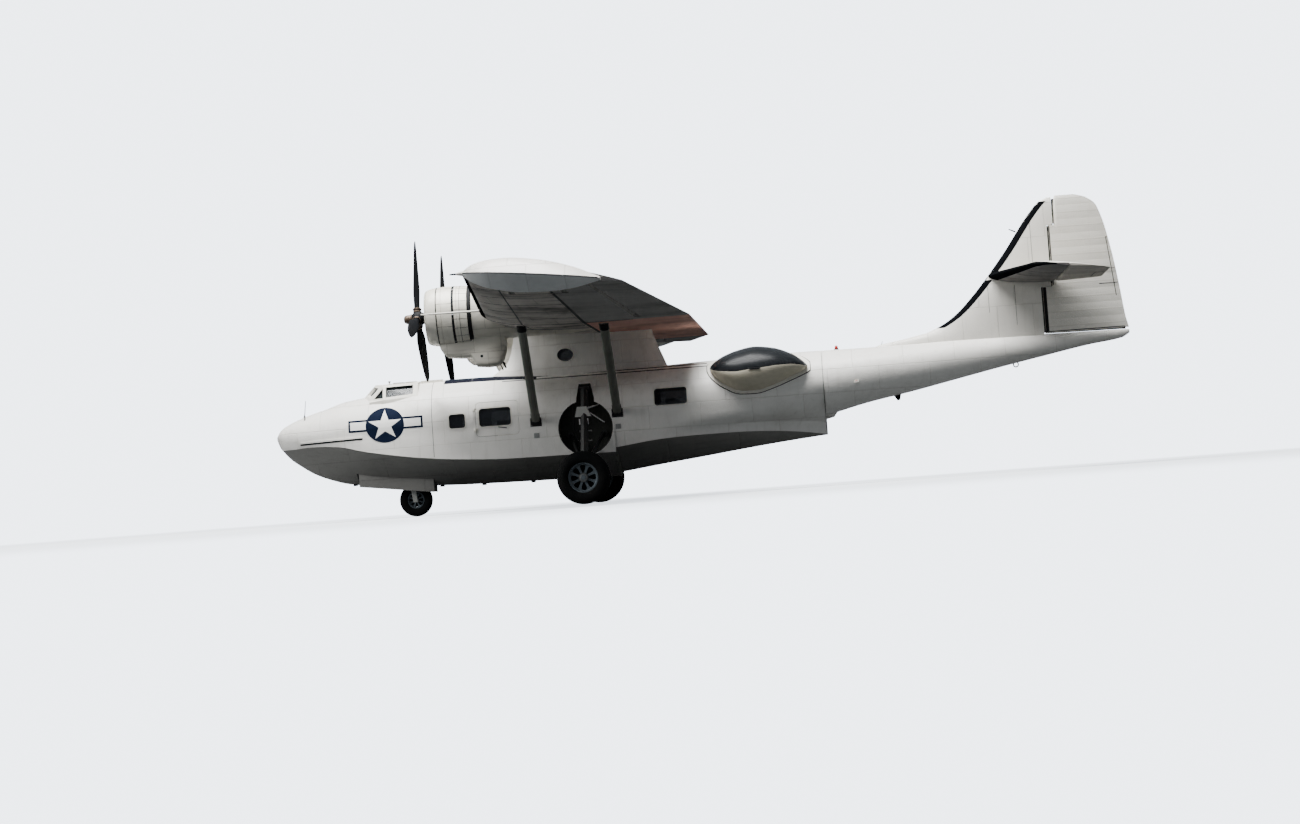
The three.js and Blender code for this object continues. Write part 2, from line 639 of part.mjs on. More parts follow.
function buildWing() {
  const edge = WING_SPLIT;
  const gap = TOUCH / 4000;
  const centreBox = join(
    ...SIDES.map(({ sign }) => wing.solid(0, WING_JOINT_Y, 0, edge, 0, sign)),
  );
  place("wing_centre", centreBox, FINISH.darkWing);
  const centreTrail = join(
    ...SIDES.map(({ sign }) => wing.solid(0, WING_JOINT_Y, edge + gap, 1, 0, sign)),
  );
  place("trailing_edge_centre", centreTrail, FINISH.fabric);
  for (const { name, sign } of SIDES) {
    const start = WING_JOINT_Y + TOUCH;
    const outer = wing.solid(start, WING_END_Y, 0, edge, 0, sign);
    place(`wing_outer_${name}`, cut(outer, floatGrooves(sign)), FINISH.darkWing);
    const cove = (span) => {
      const { half } = wing.core(span, AILERON_HINGE, sign);
      const row = between(WING, "span", span);
      return AILERON_HINGE - (half + RUNNING + COVE_SPARE) / (row.trailX - row.leadX);
    };
    const strip = wing.solid(start, WING_END_Y, edge + gap, cove, 0, sign);
    const ends = [[start, AILERON_Y[0]], [AILERON_Y[1], WING_END_Y]].map(([a, b]) =>
      wing.solid(a, b, (span) => cove(span) - END_LAP, 1, 0, sign),
    );
    const hinges = AILERON_LUGS.spans.map((span) => wing.core(span, AILERON_HINGE, sign).middle);
    const along = hinges.at(-1).clone().sub(hinges[0]).normalize();
    const { lugs, slots } = hingeLugs(hinges, along, AILERON_LUGS.reach);
    place(`trailing_edge_${name}`, cut(join(strip, ends, lugs), floatGrooves(sign)), FINISH.fabric);
    const flap = wing.flap(AILERON_Y[0] + RUNNING, AILERON_Y[1] - RUNNING, () => AILERON_HINGE, sign);
    place(`aileron_${name}`, cut(flap, slots), FINISH.fabric);
  }
}

const wingEnvelope = join(
  SIDES.flatMap(({ sign }) => [
    wing.solid(0, WING_END_Y, 0, WING_SPLIT, TOUCH, sign),
    wing.solid(0, WING_END_Y, WING_SPLIT - 0.001, 1, TOUCH, sign),
  ]),
);

// The fixed fin in three steps, each ending ahead of the rudder: [top of the step, x of its rear edge].
const FIN_STEPS = [[4110, 17550], [5500, 17780], [6120, 17920]];
const FIN_FOOT = 2900;
const FIN_CAVITY = { top: 5400, x: 17480, wall: 28 };
const RUDDER_STEPS = [[3065, 4100, 17585], [4098, 5490, 17815]]; // foot, top and x of the front edge
const RUDDER_TIP = [5488, 6150];
const RUDDER_LUGS = { z: [4800, 5750], reach: 300 };
const RUDDER_ROOM = { x: [17700, 19600], y: [-190, 190], z: [3900, 4900] };
const TAIL_SPAN = 4650;
const TAIL_CAVITY = { span: 4200, wall: 22, edge: 0.015 };
const TAIL_LUGS = { spans: [700, 2400, 4000], reach: 150 };
const ELEVATOR_SPAN = [60, 4640];
const RUDDER_VEE = [[17800, 0], [17800, 200], [19300, 640], [19300, 0]]; // the rudder's sweep, from above
const RUDDER_VEE_Z = [3600, 4900];

function finSolid(grow) {
  const steps = FIN_STEPS.map(([top, x], i) => {
    const low = i ? FIN_STEPS[i - 1][0] - 1 : FIN_FOOT;
    return fin.solid(low, top, 0, (span) => fin.shareAt(span, x), grow);
  });
  return join(steps);
}

function buildFin() {
  const { top, x, wall } = FIN_CAVITY;
  const cavity = fin.solid(FIN_FOOT, top, 0, (span) => fin.shareAt(span, x), -wall);
  const eyes = RUDDER_LUGS.z.map((z) => vec(RUDDER_HINGE_X, 0, z));
  const { lugs, slots } = hingeLugs(eyes, vec(0, 0, 1), RUDDER_LUGS.reach);
  const boomEnvelope = boomSolid(STERN_X, LENGTH, -TOUCH);
  place("fin", cut(join(finSolid(0), lugs), cavity, boomEnvelope), FINISH.cream);

  const steps = RUDDER_STEPS.map(([foot, head, front]) =>
    fin.solid(foot, head, (span) => fin.shareAt(span, front), 1),
  );
  const tip = fin.flap(...RUDDER_TIP, (span) => fin.shareAt(span, RUDDER_HINGE_X));
  place("rudder", cut(join(steps, tip), slots), FINISH.cream);
}

function buildTailplanes() {
  const hinge = (span) => tailplane.shareAt(span, ELEVATOR_HINGE_X);
  for (const { name, sign } of SIDES) {
    const cove = (span) => {
      const { half } = tailplane.core(span, hinge(span), sign);
      return tailplane.shareAt(span, ELEVATOR_HINGE_X - half - RUNNING - COVE_SPARE);
    };
    const points = TAIL_LUGS.spans.map((span) => tailplane.core(span, hinge(span), sign).middle);
    const along = points.at(-1).clone().sub(points[0]).normalize();
    const hung = hingeLugs(points, along, TAIL_LUGS.reach);
    const fixed = tailplane.solid(0, TAIL_SPAN, 0, cove, 0, sign);
    const inner = (span) => cove(span) - TAIL_CAVITY.edge;
    const hollow = tailplane.solid(0, TAIL_CAVITY.span, 0, inner, -TAIL_CAVITY.wall, sign);
    const plane = cut(join(fixed, hung.lugs), hollow, finSolid(TOUCH), boxOf(RUDDER_ROOM));
    place(`tailplane_${name}`, plane, FINISH.cream);
    const sweep = loft(RUDDER_VEE_Z.map((z) => RUDDER_VEE.map(([x, y]) => vec(x, sign * y, z))));
    const flap = tailplane.flap(...ELEVATOR_SPAN, hinge, sign);
    place(`elevator_${name}`, cut(flap, sweep, hung.slots), FINISH.fabric);
  }
}

// Pylon between hull and wing
const PYLON = table(["z", "nose", "tail", "half"], [
  [2850, 4900, 9050, 520],
  [3010, 4980, 9000, 512],
  [3280, 5350, 8900, 495],
  [3540, 5480, 8800, 482],
  [3850, 5550, 8700, 472],
  [4150, 5590, 8650, 470],
]);
const PYLON_PLAN = [[0, 0.08], [0.03, 0.4], [0.12, 0.75], [0.35, 1], [0.65, 0.88], [0.88, 0.42], [1, 0.04]];

function chordLineZ(x) {
  const { leadX, leadZ, trailX, trailZ } = WING[0];
  return mix(leadZ, trailZ, (x - leadX) / (trailX - leadX));
}

function pylonSolid(inset) {
  return loft(
    PYLON.map((row, i) => {
      const last = i === PYLON.length - 1;
      const height = (x) => (last ? chordLineZ(x) : row.z);
      const half = PYLON_PLAN.map(([t, share]) => {
        const x = mix(row.nose + inset, row.tail - 3 * inset, t);
        return [x, Math.max(share * (row.half - inset), 6)];
      });
      return [
        ...half.map(([x, y]) => vec(x, y, height(x))),
        ...[...half].reverse().map(([x, y]) => vec(x, -y, height(x))),
      ];
    }),
  );
}

const PYLON_WALL = 40;
const PYLON_WINDOW = { x: 6740, z: 3395, long: 185, high: 145, sides: 8, reach: 900 };

function buildPylon() {
  const { x, z, long, high, sides, reach } = PYLON_WINDOW;
  const oval = circle(vec(x, 0, z), vec(1, 0, 0), vec(0, 0, 1), long, high, sides).map((p) => [p.x, p.z]);
  const shell = cut(pylonSolid(0), pylonSolid(PYLON_WALL), sideCut(oval, -reach, reach));
  place("pylon", cut(shell, wingEnvelope, hullEnvelope), FINISH.cream);
}

// Wing struts: foot on the hull's side, head under the wing
const STRUTS = table(["name", "headX", "headZ", "footX", "footZ"], [
  ["front", 6160, 3950, 6050, 1910],
  ["rear", 7930, 3850, 7880, 1980],
]);
const STRUT = { footY: 1440, sink: 20, long: 95, thick: 38, sides: 10 };

function buildStruts() {
  for (const { name, sign } of SIDES) {
    for (const row of STRUTS) {
      const foot = vec(row.footX, sign * STRUT.footY, row.footZ - STRUT.sink);
      const head = vec(row.headX, sign * STRUT_TOP_Y, row.headZ);
      const along = head.clone().sub(foot).normalize();
      const across = vec(1, 0, 0).cross(along).normalize();
      const section = (p) => circle(p, vec(1, 0, 0), across, STRUT.long, STRUT.thick, STRUT.sides);
      const strut = cut(loft([foot, head].map(section)), wingEnvelope, hullEnvelope);
      place(`strut_${row.name}_${name}`, strut, FINISH.strut);
    }
  }
}

// Power units
const COWL_PROFILE = [
  [3940, 508], [COWL_X[0], 545], [3940, 590], [4060, 635], [4300, COWL_RADIUS],
  [4600, COWL_RADIUS], [COWL_X[1], 640], [COWL_X[1], COWL_BORE], [4080, COWL_BORE], [3985, 560],
];
const NACELLE = table(["x", "half", "rise", "z"], [
  [FIREWALL_X, 600, 600, 4350],
  [5300, 585, 585, 4340],
  [5700, 510, 530, 4300],
  [6300, 390, 420, 4200],
  [7000, 230, 330, 4110],
  [7600, 60, 200, 4040],
]);
const SCOOP = table(["x", "half", "low"], [
  [4160, 150, 3690],
  [4320, 240, 3440],
  [4860, 270, 3385],
  [4940, 280, 3190],
  [5490, 260, 3160],
  [5620, 200, 3500],
]);

const SCOOP_TOP = 3800;
const SCOOP_EDGE = [[1, 120], [0.8, 35], [0.45, 0]]; // share of the half-breadth, height above the low line
const NACELLE_SIDES = 18;
const CRANKCASE = [
  [3862, 0], [3862, 110], [3960, 150], [4040, 270], [4560, 270], [4700, 330],
  [FIREWALL_X - TOUCH, 330], [FIREWALL_X - TOUCH, 0],
];
const CYLINDER = { rows: [4180, 4420], count: 7, radius: 95, foot: 220, spare: 8, sides: 6 };
const HUB_SIDES = 14;

// The room that the cowl and the gap behind it take from the nacelle and scoop.
const COWL_ROOM = [
  [COWL_X[0], 0], [COWL_X[0], 600], [4060, 640], [4300, COWL_RADIUS + 1], [4600, COWL_RADIUS + 1],
  [COWL_X[1] + 25, 650], [COWL_X[1] + 25, 0],
];

function cylinders(y) {
  const head = COWL_BORE * Math.cos(Math.PI / COWL_SIDES) - CYLINDER.spare;
  return CYLINDER.rows.flatMap((x, row) =>
    Array.from({ length: CYLINDER.count }, (_, i) => {
      const a = ((i + row / 2) / CYLINDER.count) * 2 * Math.PI;
      const out = (reach) => vec(x, y + reach * Math.sin(a), THRUST_Z + reach * Math.cos(a));
      return bar(out(CYLINDER.foot), out(head), CYLINDER.radius, CYLINDER.radius, CYLINDER.sides);
    }),
  );
}

function buildPowerUnit({ name, sign }) {
  const y = sign * THRUST_Y;
  const axis = vec(0, y, THRUST_Z);
  place(`cowl_${name}`, turned(COWL_PROFILE, axis, "x", COWL_SIDES), FINISH.cream);
  place(`engine_${name}`, join(turned(CRANKCASE, axis, "x", HUB_SIDES), cylinders(y)), FINISH.engine);

  const shell = loft(
    NACELLE.map(({ x, z, half, rise }) =>
      circle(vec(x, y, z), vec(0, 1, 0), vec(0, 0, 1), half, rise, NACELLE_SIDES),
    ),
  );
  const scoop = loft(
    SCOOP.map((row) => {
      const edge = [[row.half, SCOOP_TOP], ...SCOOP_EDGE.map(([w, h]) => [w * row.half, row.low + h])];
      const right = edge.map(([w, z]) => vec(row.x, y + w, z));
      return [...right, ...edge.map(([w, z]) => vec(row.x, y - w, z)).reverse()];
    }),
  );
  const body = cut(join(shell, scoop), wingEnvelope, turned(COWL_ROOM, axis, "x", COWL_SIDES));
  place(`nacelle_${name}`, body, FINISH.cream);
}

const BLADE = table(["r", "chord", "thick", "pitch"], [
  [100, 130, 130, 45],
  [330, 150, 110, 45],
  [650, 265, 60, 38],
  [1150, 290, 34, 27],
  [1600, 240, 20, 21],
  [1790, 150, 14, 19],
  [PROPELLER_RADIUS, 50, 8, 19],
]);

const HUB = [
  [3400, 0], [3403, 40], [3425, 82], [3470, 100], [3560, 105], [3600, 165], [3790, 165],
  [3861.5, 110], [3861.5, 0],
];
const BLADES = { count: 3, sides: 6 };

function blade(centre, out) {
  const side = vec(1, 0, 0).cross(out);
  return loft(
    BLADE.map((row) => {
      const a = THREE.MathUtils.degToRad(row.pitch);
      const chordWay = side.clone().multiplyScalar(Math.cos(a)).add(vec(Math.sin(a), 0, 0));
      const thickWay = side.clone().multiplyScalar(-Math.sin(a)).add(vec(Math.cos(a), 0, 0));
      const at = centre.clone().addScaledVector(out, row.r);
      return circle(at, chordWay, thickWay, row.chord / 2, row.thick / 2, BLADES.sides);
    }),
  );
}

function buildPropeller({ name, sign }) {
  const centre = vec(PROPELLER_X, sign * THRUST_Y, THRUST_Z);
  const blades = Array.from({ length: BLADES.count }, (_, i) => {
    const turn = THREE.MathUtils.degToRad(BLADE_TURN + (360 / BLADES.count) * i);
    return blade(centre, vec(0, Math.sin(turn), Math.cos(turn)));
  });
  const hub = turned(HUB, vec(0, centre.y, centre.z), "x", HUB_SIDES);
  place(`propeller_${name}`, join(hub, blades), FINISH.black);
}

// Wheels
// Half of a tyre's section: share of its width, and share of its wall's height.
const TYRE_SECTION = [[0.34, 0], [0.45, 0.12], [0.5, 0.42], [0.42, 0.82], [0.17, 1]];
const RIM = { flange: 0.33, hub: 0.8, web: 0.1, outer: 0.86, inner: 0.34, boss: 0.3 };
const RIM_HOLES = { count: 8, at: 0.6, radius: 0.155, sides: 5 };

function tyreProfile({ radius, width, rim }) {
  const half = TYRE_SECTION.map(([w, t]) => [w * width, rim + t * (radius - rim)]);
  return [...half.map(([w, r]) => [-w, r]), ...half.reverse()];
}

// Half the width of a wheel's hub.
function hubFace({ width }) {
  return width * RIM.flange * RIM.hub;
}

function rimSolid(wheel, centre, outward) {
  const { rim, width } = wheel;
  const edge = rim * Math.cos(Math.PI / WHEEL_SIDES) - TOUCH;
  const flange = width * RIM.flange;
  const [webIn, webOut] = [outward - 1, outward + 1].map((share) => share * width * RIM.web);
  const profile = [
    [-flange, edge], [flange, edge], [webOut, edge * RIM.outer], [webOut, edge * RIM.inner],
    [hubFace(wheel), edge * RIM.boss], [hubFace(wheel), 0], [-hubFace(wheel), 0],
    [-hubFace(wheel), edge * RIM.boss], [webIn, edge * RIM.inner], [webIn, edge * RIM.outer],
  ];
  const holes = Array.from({ length: RIM_HOLES.count }, (_, i) => {
    const a = ((i + 0.5) / RIM_HOLES.count) * 2 * Math.PI;
    const at = (y) =>
      centre.clone().add(vec(Math.cos(a) * rim * RIM_HOLES.at, y, Math.sin(a) * rim * RIM_HOLES.at));
    const radius = rim * RIM_HOLES.radius;
    return bar(at(-width), at(width), radius, radius, RIM_HOLES.sides);
  });
  return cut(turned(profile, centre, "y", RIM_SIDES), holes);
}

function axleZ(wheel) {
  return wheel.radius * Math.cos(Math.PI / WHEEL_SIDES);
}

function buildWheel(suffix, wheel, y, outward) {
  const centre = vec(wheel.x, y, axleZ(wheel));
  place(`tyre_${suffix}`, turned(tyreProfile(wheel), centre, "y", WHEEL_SIDES), FINISH.rubber);
  place(`rim_${suffix}`, rimSolid(wheel, centre, outward), FINISH.rim);
}

// Main gear: a sloping shock leg from the hull's slot to the axle, with two braces to the well's back wall
const LEG = {
  stub: 130, // from the hub's face to the knuckle
  head: { x: 7170, y: 1330, z: 2560, half: 108, radius: 60 },
  rod: { from: -60, to: 700, radius: 62 },
  cylinder: { from: 560, radius: 88 },
  collar: { from: 500, to: 600, radius: 104 },
  brace: { from: 260, sink: 30, spread: 380, z: 1560, radius: 42 },
  foot: { length: 60, radius: 70 },
};

function buildMainLeg({ name, sign }) {
  const inner = MAIN_WHEEL.y - hubFace(MAIN_WHEEL);
  const { head, rod, cylinder, collar, brace, foot } = LEG;
  const stub = vec(MAIN_WHEEL.x, sign * (inner - TOUCH), axleZ(MAIN_WHEEL));
  const knuckle = vec(MAIN_WHEEL.x, sign * (inner - LEG.stub), axleZ(MAIN_WHEEL));
  const top = vec(head.x, sign * head.y, head.z);
  const along = top.clone().sub(knuckle).normalize();
  const at = (d) => knuckle.clone().addScaledVector(along, d);
  const braces = [-1, 1].flatMap((side) => {
    const x = WELL.x + side * brace.spread;
    const on = (y) => vec(x, sign * (WELL.back + TOUCH + y), brace.z);
    return [bar(at(brace.from), on(brace.sink), brace.radius), bar(on(0), on(foot.length), foot.radius)];
  });
  const leg = join(
    bar(stub, knuckle, rod.radius),
    bar(at(rod.from), at(rod.to), rod.radius),
    bar(at(cylinder.from), top, cylinder.radius),
    bar(at(collar.from), at(collar.to), collar.radius),
    bar(vec(head.x - head.half, top.y, top.z), vec(head.x + head.half, top.y, top.z), head.radius),
    braces,
  );
  place(`main_leg_${name}`, leg, FINISH.leg);
}

// Nose gear: a fixed cylinder in its bay and a turning fork
const FORK = { crown: 880, deep: 60, collar: 1010, x: [-85, 90], half: 175, thick: 40, piston: 58, axle: 28 };
const NOSE_LEG = { radius: 80, brace: 32, braceZ: 1120, foot: 50, footX: 2250, footY: 220, footDrop: 110 };
const NOSE_DOOR = { hang: 45, thick: 28, ends: [40, 15], rise: 60, drop: 300, arms: [2000, 3400], arm: 60 };
const NOSE_DOOR_ARM_Z = [10, 45];

function buildNoseGear() {
  const z = axleZ(NOSE_WHEEL);
  const top = NOSE_BAY.top - TOUCH;
  const { footX, footY } = NOSE_LEG;
  const cylinder = bar(vec(STEERING_X, 0, FORK.collar), vec(STEERING_X, 0, top), NOSE_LEG.radius);
  const braces = SIDES.flatMap(({ sign }) => [
    bar(vec(STEERING_X, sign * 40, NOSE_LEG.braceZ), vec(footX, sign * footY, top - 40), NOSE_LEG.brace),
    bar(vec(footX, sign * footY, top - NOSE_LEG.footDrop), vec(footX, sign * footY, top), NOSE_LEG.foot),
  ]);
  place("nose_leg", join(cylinder, braces), FINISH.leg);

  const [front, back] = FORK.x.map((x) => STEERING_X + x);
  const piston = bar(
    vec(STEERING_X, 0, FORK.crown - 20),
    vec(STEERING_X, 0, FORK.collar - TOUCH),
    FORK.piston,
  );
  const crown = box([front, back], [-FORK.half, FORK.half], [FORK.crown - FORK.deep, FORK.crown]);
  const blades = SIDES.flatMap(({ sign }) => {
    const y = sign * (FORK.half - FORK.thick / 2);
    const side = [
      [STEERING_X - 50, FORK.crown - 10], [STEERING_X + 60, FORK.crown - 10],
      [NOSE_WHEEL.x + 50, z - 50], [NOSE_WHEEL.x - 50, z - 50],
    ];
    const tip = vec(NOSE_WHEEL.x, sign * (hubFace(NOSE_WHEEL) + TOUCH), z);
    const axle = bar(vec(NOSE_WHEEL.x, y, z), tip, FORK.axle);
    return [sideCut(side, y - FORK.thick / 2, y + FORK.thick / 2), axle];
  });
  place("nose_fork", join(piston, crown, blades), FINISH.leg);
}

function buildNoseDoors() {
  const { hang, thick, ends, rise, drop, arms, arm } = NOSE_DOOR;
  const hangY = NOSE_BAY.halfWidth - hang;
  const long = [NOSE_BAY.x[0] + ends[0], NOSE_BAY.x[1] - ends[1]];
  const lip = (x) => bottomZ(x, NOSE_BAY.halfWidth);
  const outline = [...long.map((x) => [x, lip(x) + rise]), ...long.reverse().map((x) => [x, lip(x) - drop])];
  for (const { name, sign } of SIDES) {
    const door = sideCut(outline, sign * hangY, sign * (hangY + thick));
    const reach = [hangY, NOSE_BAY.halfWidth - TOUCH].map((y) => sign * y).sort((a, b) => a - b);
    const hinges = arms.map((x) => box([x, x + arm], reach, NOSE_DOOR_ARM_Z.map((z) => lip(x) + z)));
    place(`nose_door_${name}`, join(door, hinges), FINISH.bottom);
  }
}

// Wing-tip floats, swung up so that each closes the end of its wing
const FLOAT = table(["x", "half", "depth"], [
  [6030, 25, 180],
  [6230, 165, 520],
  [6600, 275, 780],
  [7050, 320, 885],
  [7500, 300, 870],
  [8050, 210, 740],
  [8590, 30, 330],
]);
const FLOAT_SECTION = [[0, 0.74], [0.14, 0.9], [0.36, 1], [0.68, 0.66], [1, 0.04]];
const FLOAT_DECK_Y = WING_END_Y + 15;
const CHANNEL_SPARE = 12; // the channels are wider than the legs by this on each side
const CHANNEL_DEPTH = 400;
const FLOAT_RISE = 15; // the folded float's middle lies above the chord line by this
const LEG_SINK = 60; // the legs reach into the float's outline by this, then are cut off at its deck

// The middle of a leg or tube that lies in a channel under the wing.
function inChannel(span, x, y) {
  const under = wing.point(span, wing.shareAt(span, x), -1, 0, 1);
  return vec(x, y, under.z + FLOAT_LEG_RADIUS + CHANNEL_SPARE);
}

function tipChordZ(x) {
  const tip = WING.at(-1);
  return mix(tip.leadZ, tip.trailZ, (x - tip.leadX) / (tip.trailX - tip.leadX)) + FLOAT_RISE;
}

function legEnd(x, sign) {
  return inChannel(WING_END_Y, x, sign * (FLOAT_DECK_Y + LEG_SINK));
}

const FLOAT_PIN_X = [FLOAT_LEG_X[0] - 70, FLOAT_LEG_X[1] + 70];

function pinEnds(sign, spare) {
  const [a, b] = FLOAT_PIN_X.map((x) => inChannel(FLOAT_HINGE_Y, x, sign * FLOAT_HINGE_Y));
  const along = b.clone().sub(a).normalize();
  return [a.addScaledVector(along, -spare), b.addScaledVector(along, spare)];
}

function pinPoint(x, sign) {
  const [a, b] = pinEnds(sign, 0);
  return a.clone().lerp(b, (x - a.x) / (b.x - a.x));
}

// The channels under the outer wing that take the folded float legs and their hinge tube.
function floatGrooves(sign) {
  const wide = FLOAT_LEG_RADIUS + CHANNEL_SPARE;
  const corners = [[-wide, wide], [wide, wide], [wide, -CHANNEL_DEPTH], [-wide, -CHANNEL_DEPTH]];
  const channel = (from, to, sideways) => {
    const up = to.clone().sub(from).cross(sideways).normalize();
    if (up.z < 0) up.negate();
    const corner = (p, [across, rise]) =>
      p.clone().addScaledVector(sideways, across).addScaledVector(up, rise);
    return loft([from, to].map((p) => corners.map((c) => corner(p, c))));
  };
  const legs = FLOAT_LEG_X.map((x) => channel(pinPoint(x, sign), legEnd(x, sign), vec(1, 0, 0)));
  const [a, b] = pinEnds(sign, TOUCH);
  return [...legs, channel(a, b, vec(0, 1, 0))];
}

function buildFloat({ name, sign }) {
  const body = loft(
    FLOAT.map((row) => {
      const z = tipChordZ(row.x);
      const half = FLOAT_SECTION.map(([d, h]) => [sign * (FLOAT_DECK_Y + d * row.depth), h * row.half]);
      const lower = half.map(([y, h]) => vec(row.x, y, z - h));
      return [...lower, ...half.map(([y, h]) => vec(row.x, y, z + h)).reverse()];
    }),
  );
  place(`float_${name}`, body, FINISH.cream);
  const legs = FLOAT_LEG_X.map((x) => bar(pinPoint(x, sign), legEnd(x, sign), FLOAT_LEG_RADIUS));
  const frame = join(legs, bar(...pinEnds(sign, 0), FLOAT_LEG_RADIUS));
  place(`float_legs_${name}`, cut(frame, floatRoom(sign)), FINISH.strut);
}

// The room that the float takes from its legs, with the usual touching gap at its deck.
function floatRoom(sign) {
  const y = [FLOAT_DECK_Y - TOUCH, FLOAT_DECK_Y + 400].map((value) => sign * value).sort((a, b) => a - b);
  return box([6000, 8700], y, [3900, 4900]);
}

const PITOT = { span: 5650, reach: 1250, sink: 60, droop: 12, radius: [16, 22] };

function buildPitot() {
  const root = wing.point(PITOT.span, 0, 1, 0, -1);
  const tip = root.clone().add(vec(-PITOT.reach, 0, PITOT.droop));
  const foot = root.clone().add(vec(PITOT.sink, 0, 0));
  place("pitot_boom", cut(bar(tip, foot, ...PITOT.radius), wingEnvelope), FINISH.frame);
}

buildBow();
buildMidship();
buildAft();
buildGlazing();
buildCockpit();
buildWing();
buildFin();
buildTailplanes();
buildPylon();
buildStruts();
for (const side of SIDES) {
  buildPowerUnit(side);
  buildPropeller(side);
  buildMainLeg(side);
  buildWheel(`main_${side.name}`, MAIN_WHEEL, side.sign * MAIN_WHEEL.y, side.sign);
  buildFloat(side);
}
buildNoseGear();
buildNoseDoors();
buildWheel("nose", NOSE_WHEEL, NOSE_WHEEL.y, 0);
buildPitot();

export default boat;
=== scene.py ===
"""A twin-engined parasol-wing amphibious flying boat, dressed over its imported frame.

Lengths are metres. In the tables x runs aft from the bow, y to starboard and z up from the ground;
place() turns such a point into one of the frame, whose origin is halfway along the boat.
"""

import logging
import math
from dataclasses import dataclass, field
from enum import Enum
from typing import Callable, Iterable, NamedTuple, Sequence

import bmesh
import bpy
from mathutils import Matrix, Vector


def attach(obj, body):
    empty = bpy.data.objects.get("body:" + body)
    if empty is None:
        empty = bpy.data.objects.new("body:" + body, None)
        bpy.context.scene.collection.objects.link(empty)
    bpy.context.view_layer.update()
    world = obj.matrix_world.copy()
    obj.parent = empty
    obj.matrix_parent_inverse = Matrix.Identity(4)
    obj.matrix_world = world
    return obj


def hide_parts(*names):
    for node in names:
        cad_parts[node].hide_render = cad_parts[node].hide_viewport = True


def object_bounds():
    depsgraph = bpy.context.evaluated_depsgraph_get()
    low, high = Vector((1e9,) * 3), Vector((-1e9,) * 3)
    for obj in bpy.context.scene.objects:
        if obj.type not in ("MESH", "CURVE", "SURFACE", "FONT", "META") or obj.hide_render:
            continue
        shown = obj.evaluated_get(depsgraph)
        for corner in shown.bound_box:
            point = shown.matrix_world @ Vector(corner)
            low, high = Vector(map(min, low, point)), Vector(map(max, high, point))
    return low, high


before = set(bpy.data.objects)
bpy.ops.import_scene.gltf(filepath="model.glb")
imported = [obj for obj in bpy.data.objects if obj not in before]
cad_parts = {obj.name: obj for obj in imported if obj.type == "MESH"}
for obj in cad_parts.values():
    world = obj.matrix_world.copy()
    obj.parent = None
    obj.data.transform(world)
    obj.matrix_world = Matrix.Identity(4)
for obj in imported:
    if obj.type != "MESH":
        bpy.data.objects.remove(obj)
CAD_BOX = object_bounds()

LOG = logging.getLogger("flying_boat")
HALF_LENGTH = 9.73
AIRFRAME = "airframe"
SIDES = {"port": -1, "starboard": 1}
AFT, STARBOARD, UP = Vector((1, 0, 0)), Vector((0, 1, 0)), Vector((0, 0, 1))

# Gap between pieces that meet, and gap round a piece that moves
TOUCH = 0.0004
RUNNING = 0.008

# Shorter names for types
Ring = list[Vector]
Pair = tuple[float, float]
Pairs = tuple[Pair, ...]
Rows = tuple[tuple[float, ...], ...]
Outline = Sequence[Pair]
Cells = tuple[list, list]
Mark = int | Callable[[int, int], int]
Limit = float | Callable[[float], float]
Piece = bpy.types.Object
Socket = bpy.types.NodeSocket


def place(x: float, y: float, z: float) -> Vector:
    """Turns a distance aft of the bow, to starboard and above the ground into a point of the frame."""
    return Vector((x - HALF_LENGTH, y, z))


def mix(a: float, b: float, t: float) -> float:
    """Returns the value a share t of the way from a to b."""
    return a + (b - a) * t


def spread(start: float, end: float, count: int) -> list[float]:
    """Returns count evenly spaced values from start to end, with both."""
    return [mix(start, end, i / (count - 1)) for i in range(count)]


def angles(count: int, first: float = 0.0) -> list[float]:
    """Returns the angles of count even steps round a circle, the first of them first steps from 0."""
    return [2 * math.pi * (i + first) / count for i in range(count)]


def spoke(turn: float) -> Vector:
    """Returns the direction square to the boat's length at an angle from up towards starboard."""
    return Vector((0, math.sin(turn), math.cos(turn)))


def share_of(limit: Limit, span: float) -> float:
    """Returns a limit at one place along the span, whether it is a number or a function."""
    return limit(span) if callable(limit) else limit


class Line:
    """A smooth line through a table's points that never overshoots them."""

    def __init__(self, xs: Sequence[float], ys: Sequence[float]) -> None:
        """Works out the slopes at the points.

        Args:
            xs: Places of the points, rising.
            ys: Values at those places.
        """
        self.xs, self.ys = list(xs), list(ys)
        steps = [(ys[i + 1] - ys[i]) / (xs[i + 1] - xs[i]) for i in range(len(xs) - 1)]
        inner = [0.0 if a * b <= 0 else 2 * a * b / (a + b) for a, b in zip(steps, steps[1:])]
        self.slopes = [steps[0], *inner, steps[-1]]
        self.straight = False

    def __call__(self, x: float) -> float:
        """Returns the value at x, held beyond the ends."""
        x = min(max(x, self.xs[0]), self.xs[-1])
        i = max(j for j, at in enumerate(self.xs[:-1]) if at <= x)
        width = self.xs[i + 1] - self.xs[i]
        t = (x - self.xs[i]) / width
        a, b = self.ys[i], self.ys[i + 1]
        if self.straight:
            return mix(a, b, t)
        da, db = self.slopes[i] * width, self.slopes[i + 1] * width
        return (
            a * (1 + 2 * t) * (1 - t) ** 2 + da * t * (1 - t) ** 2 + b * t * t * (3 - 2 * t)
            + db * t * t * (t - 1)
        )


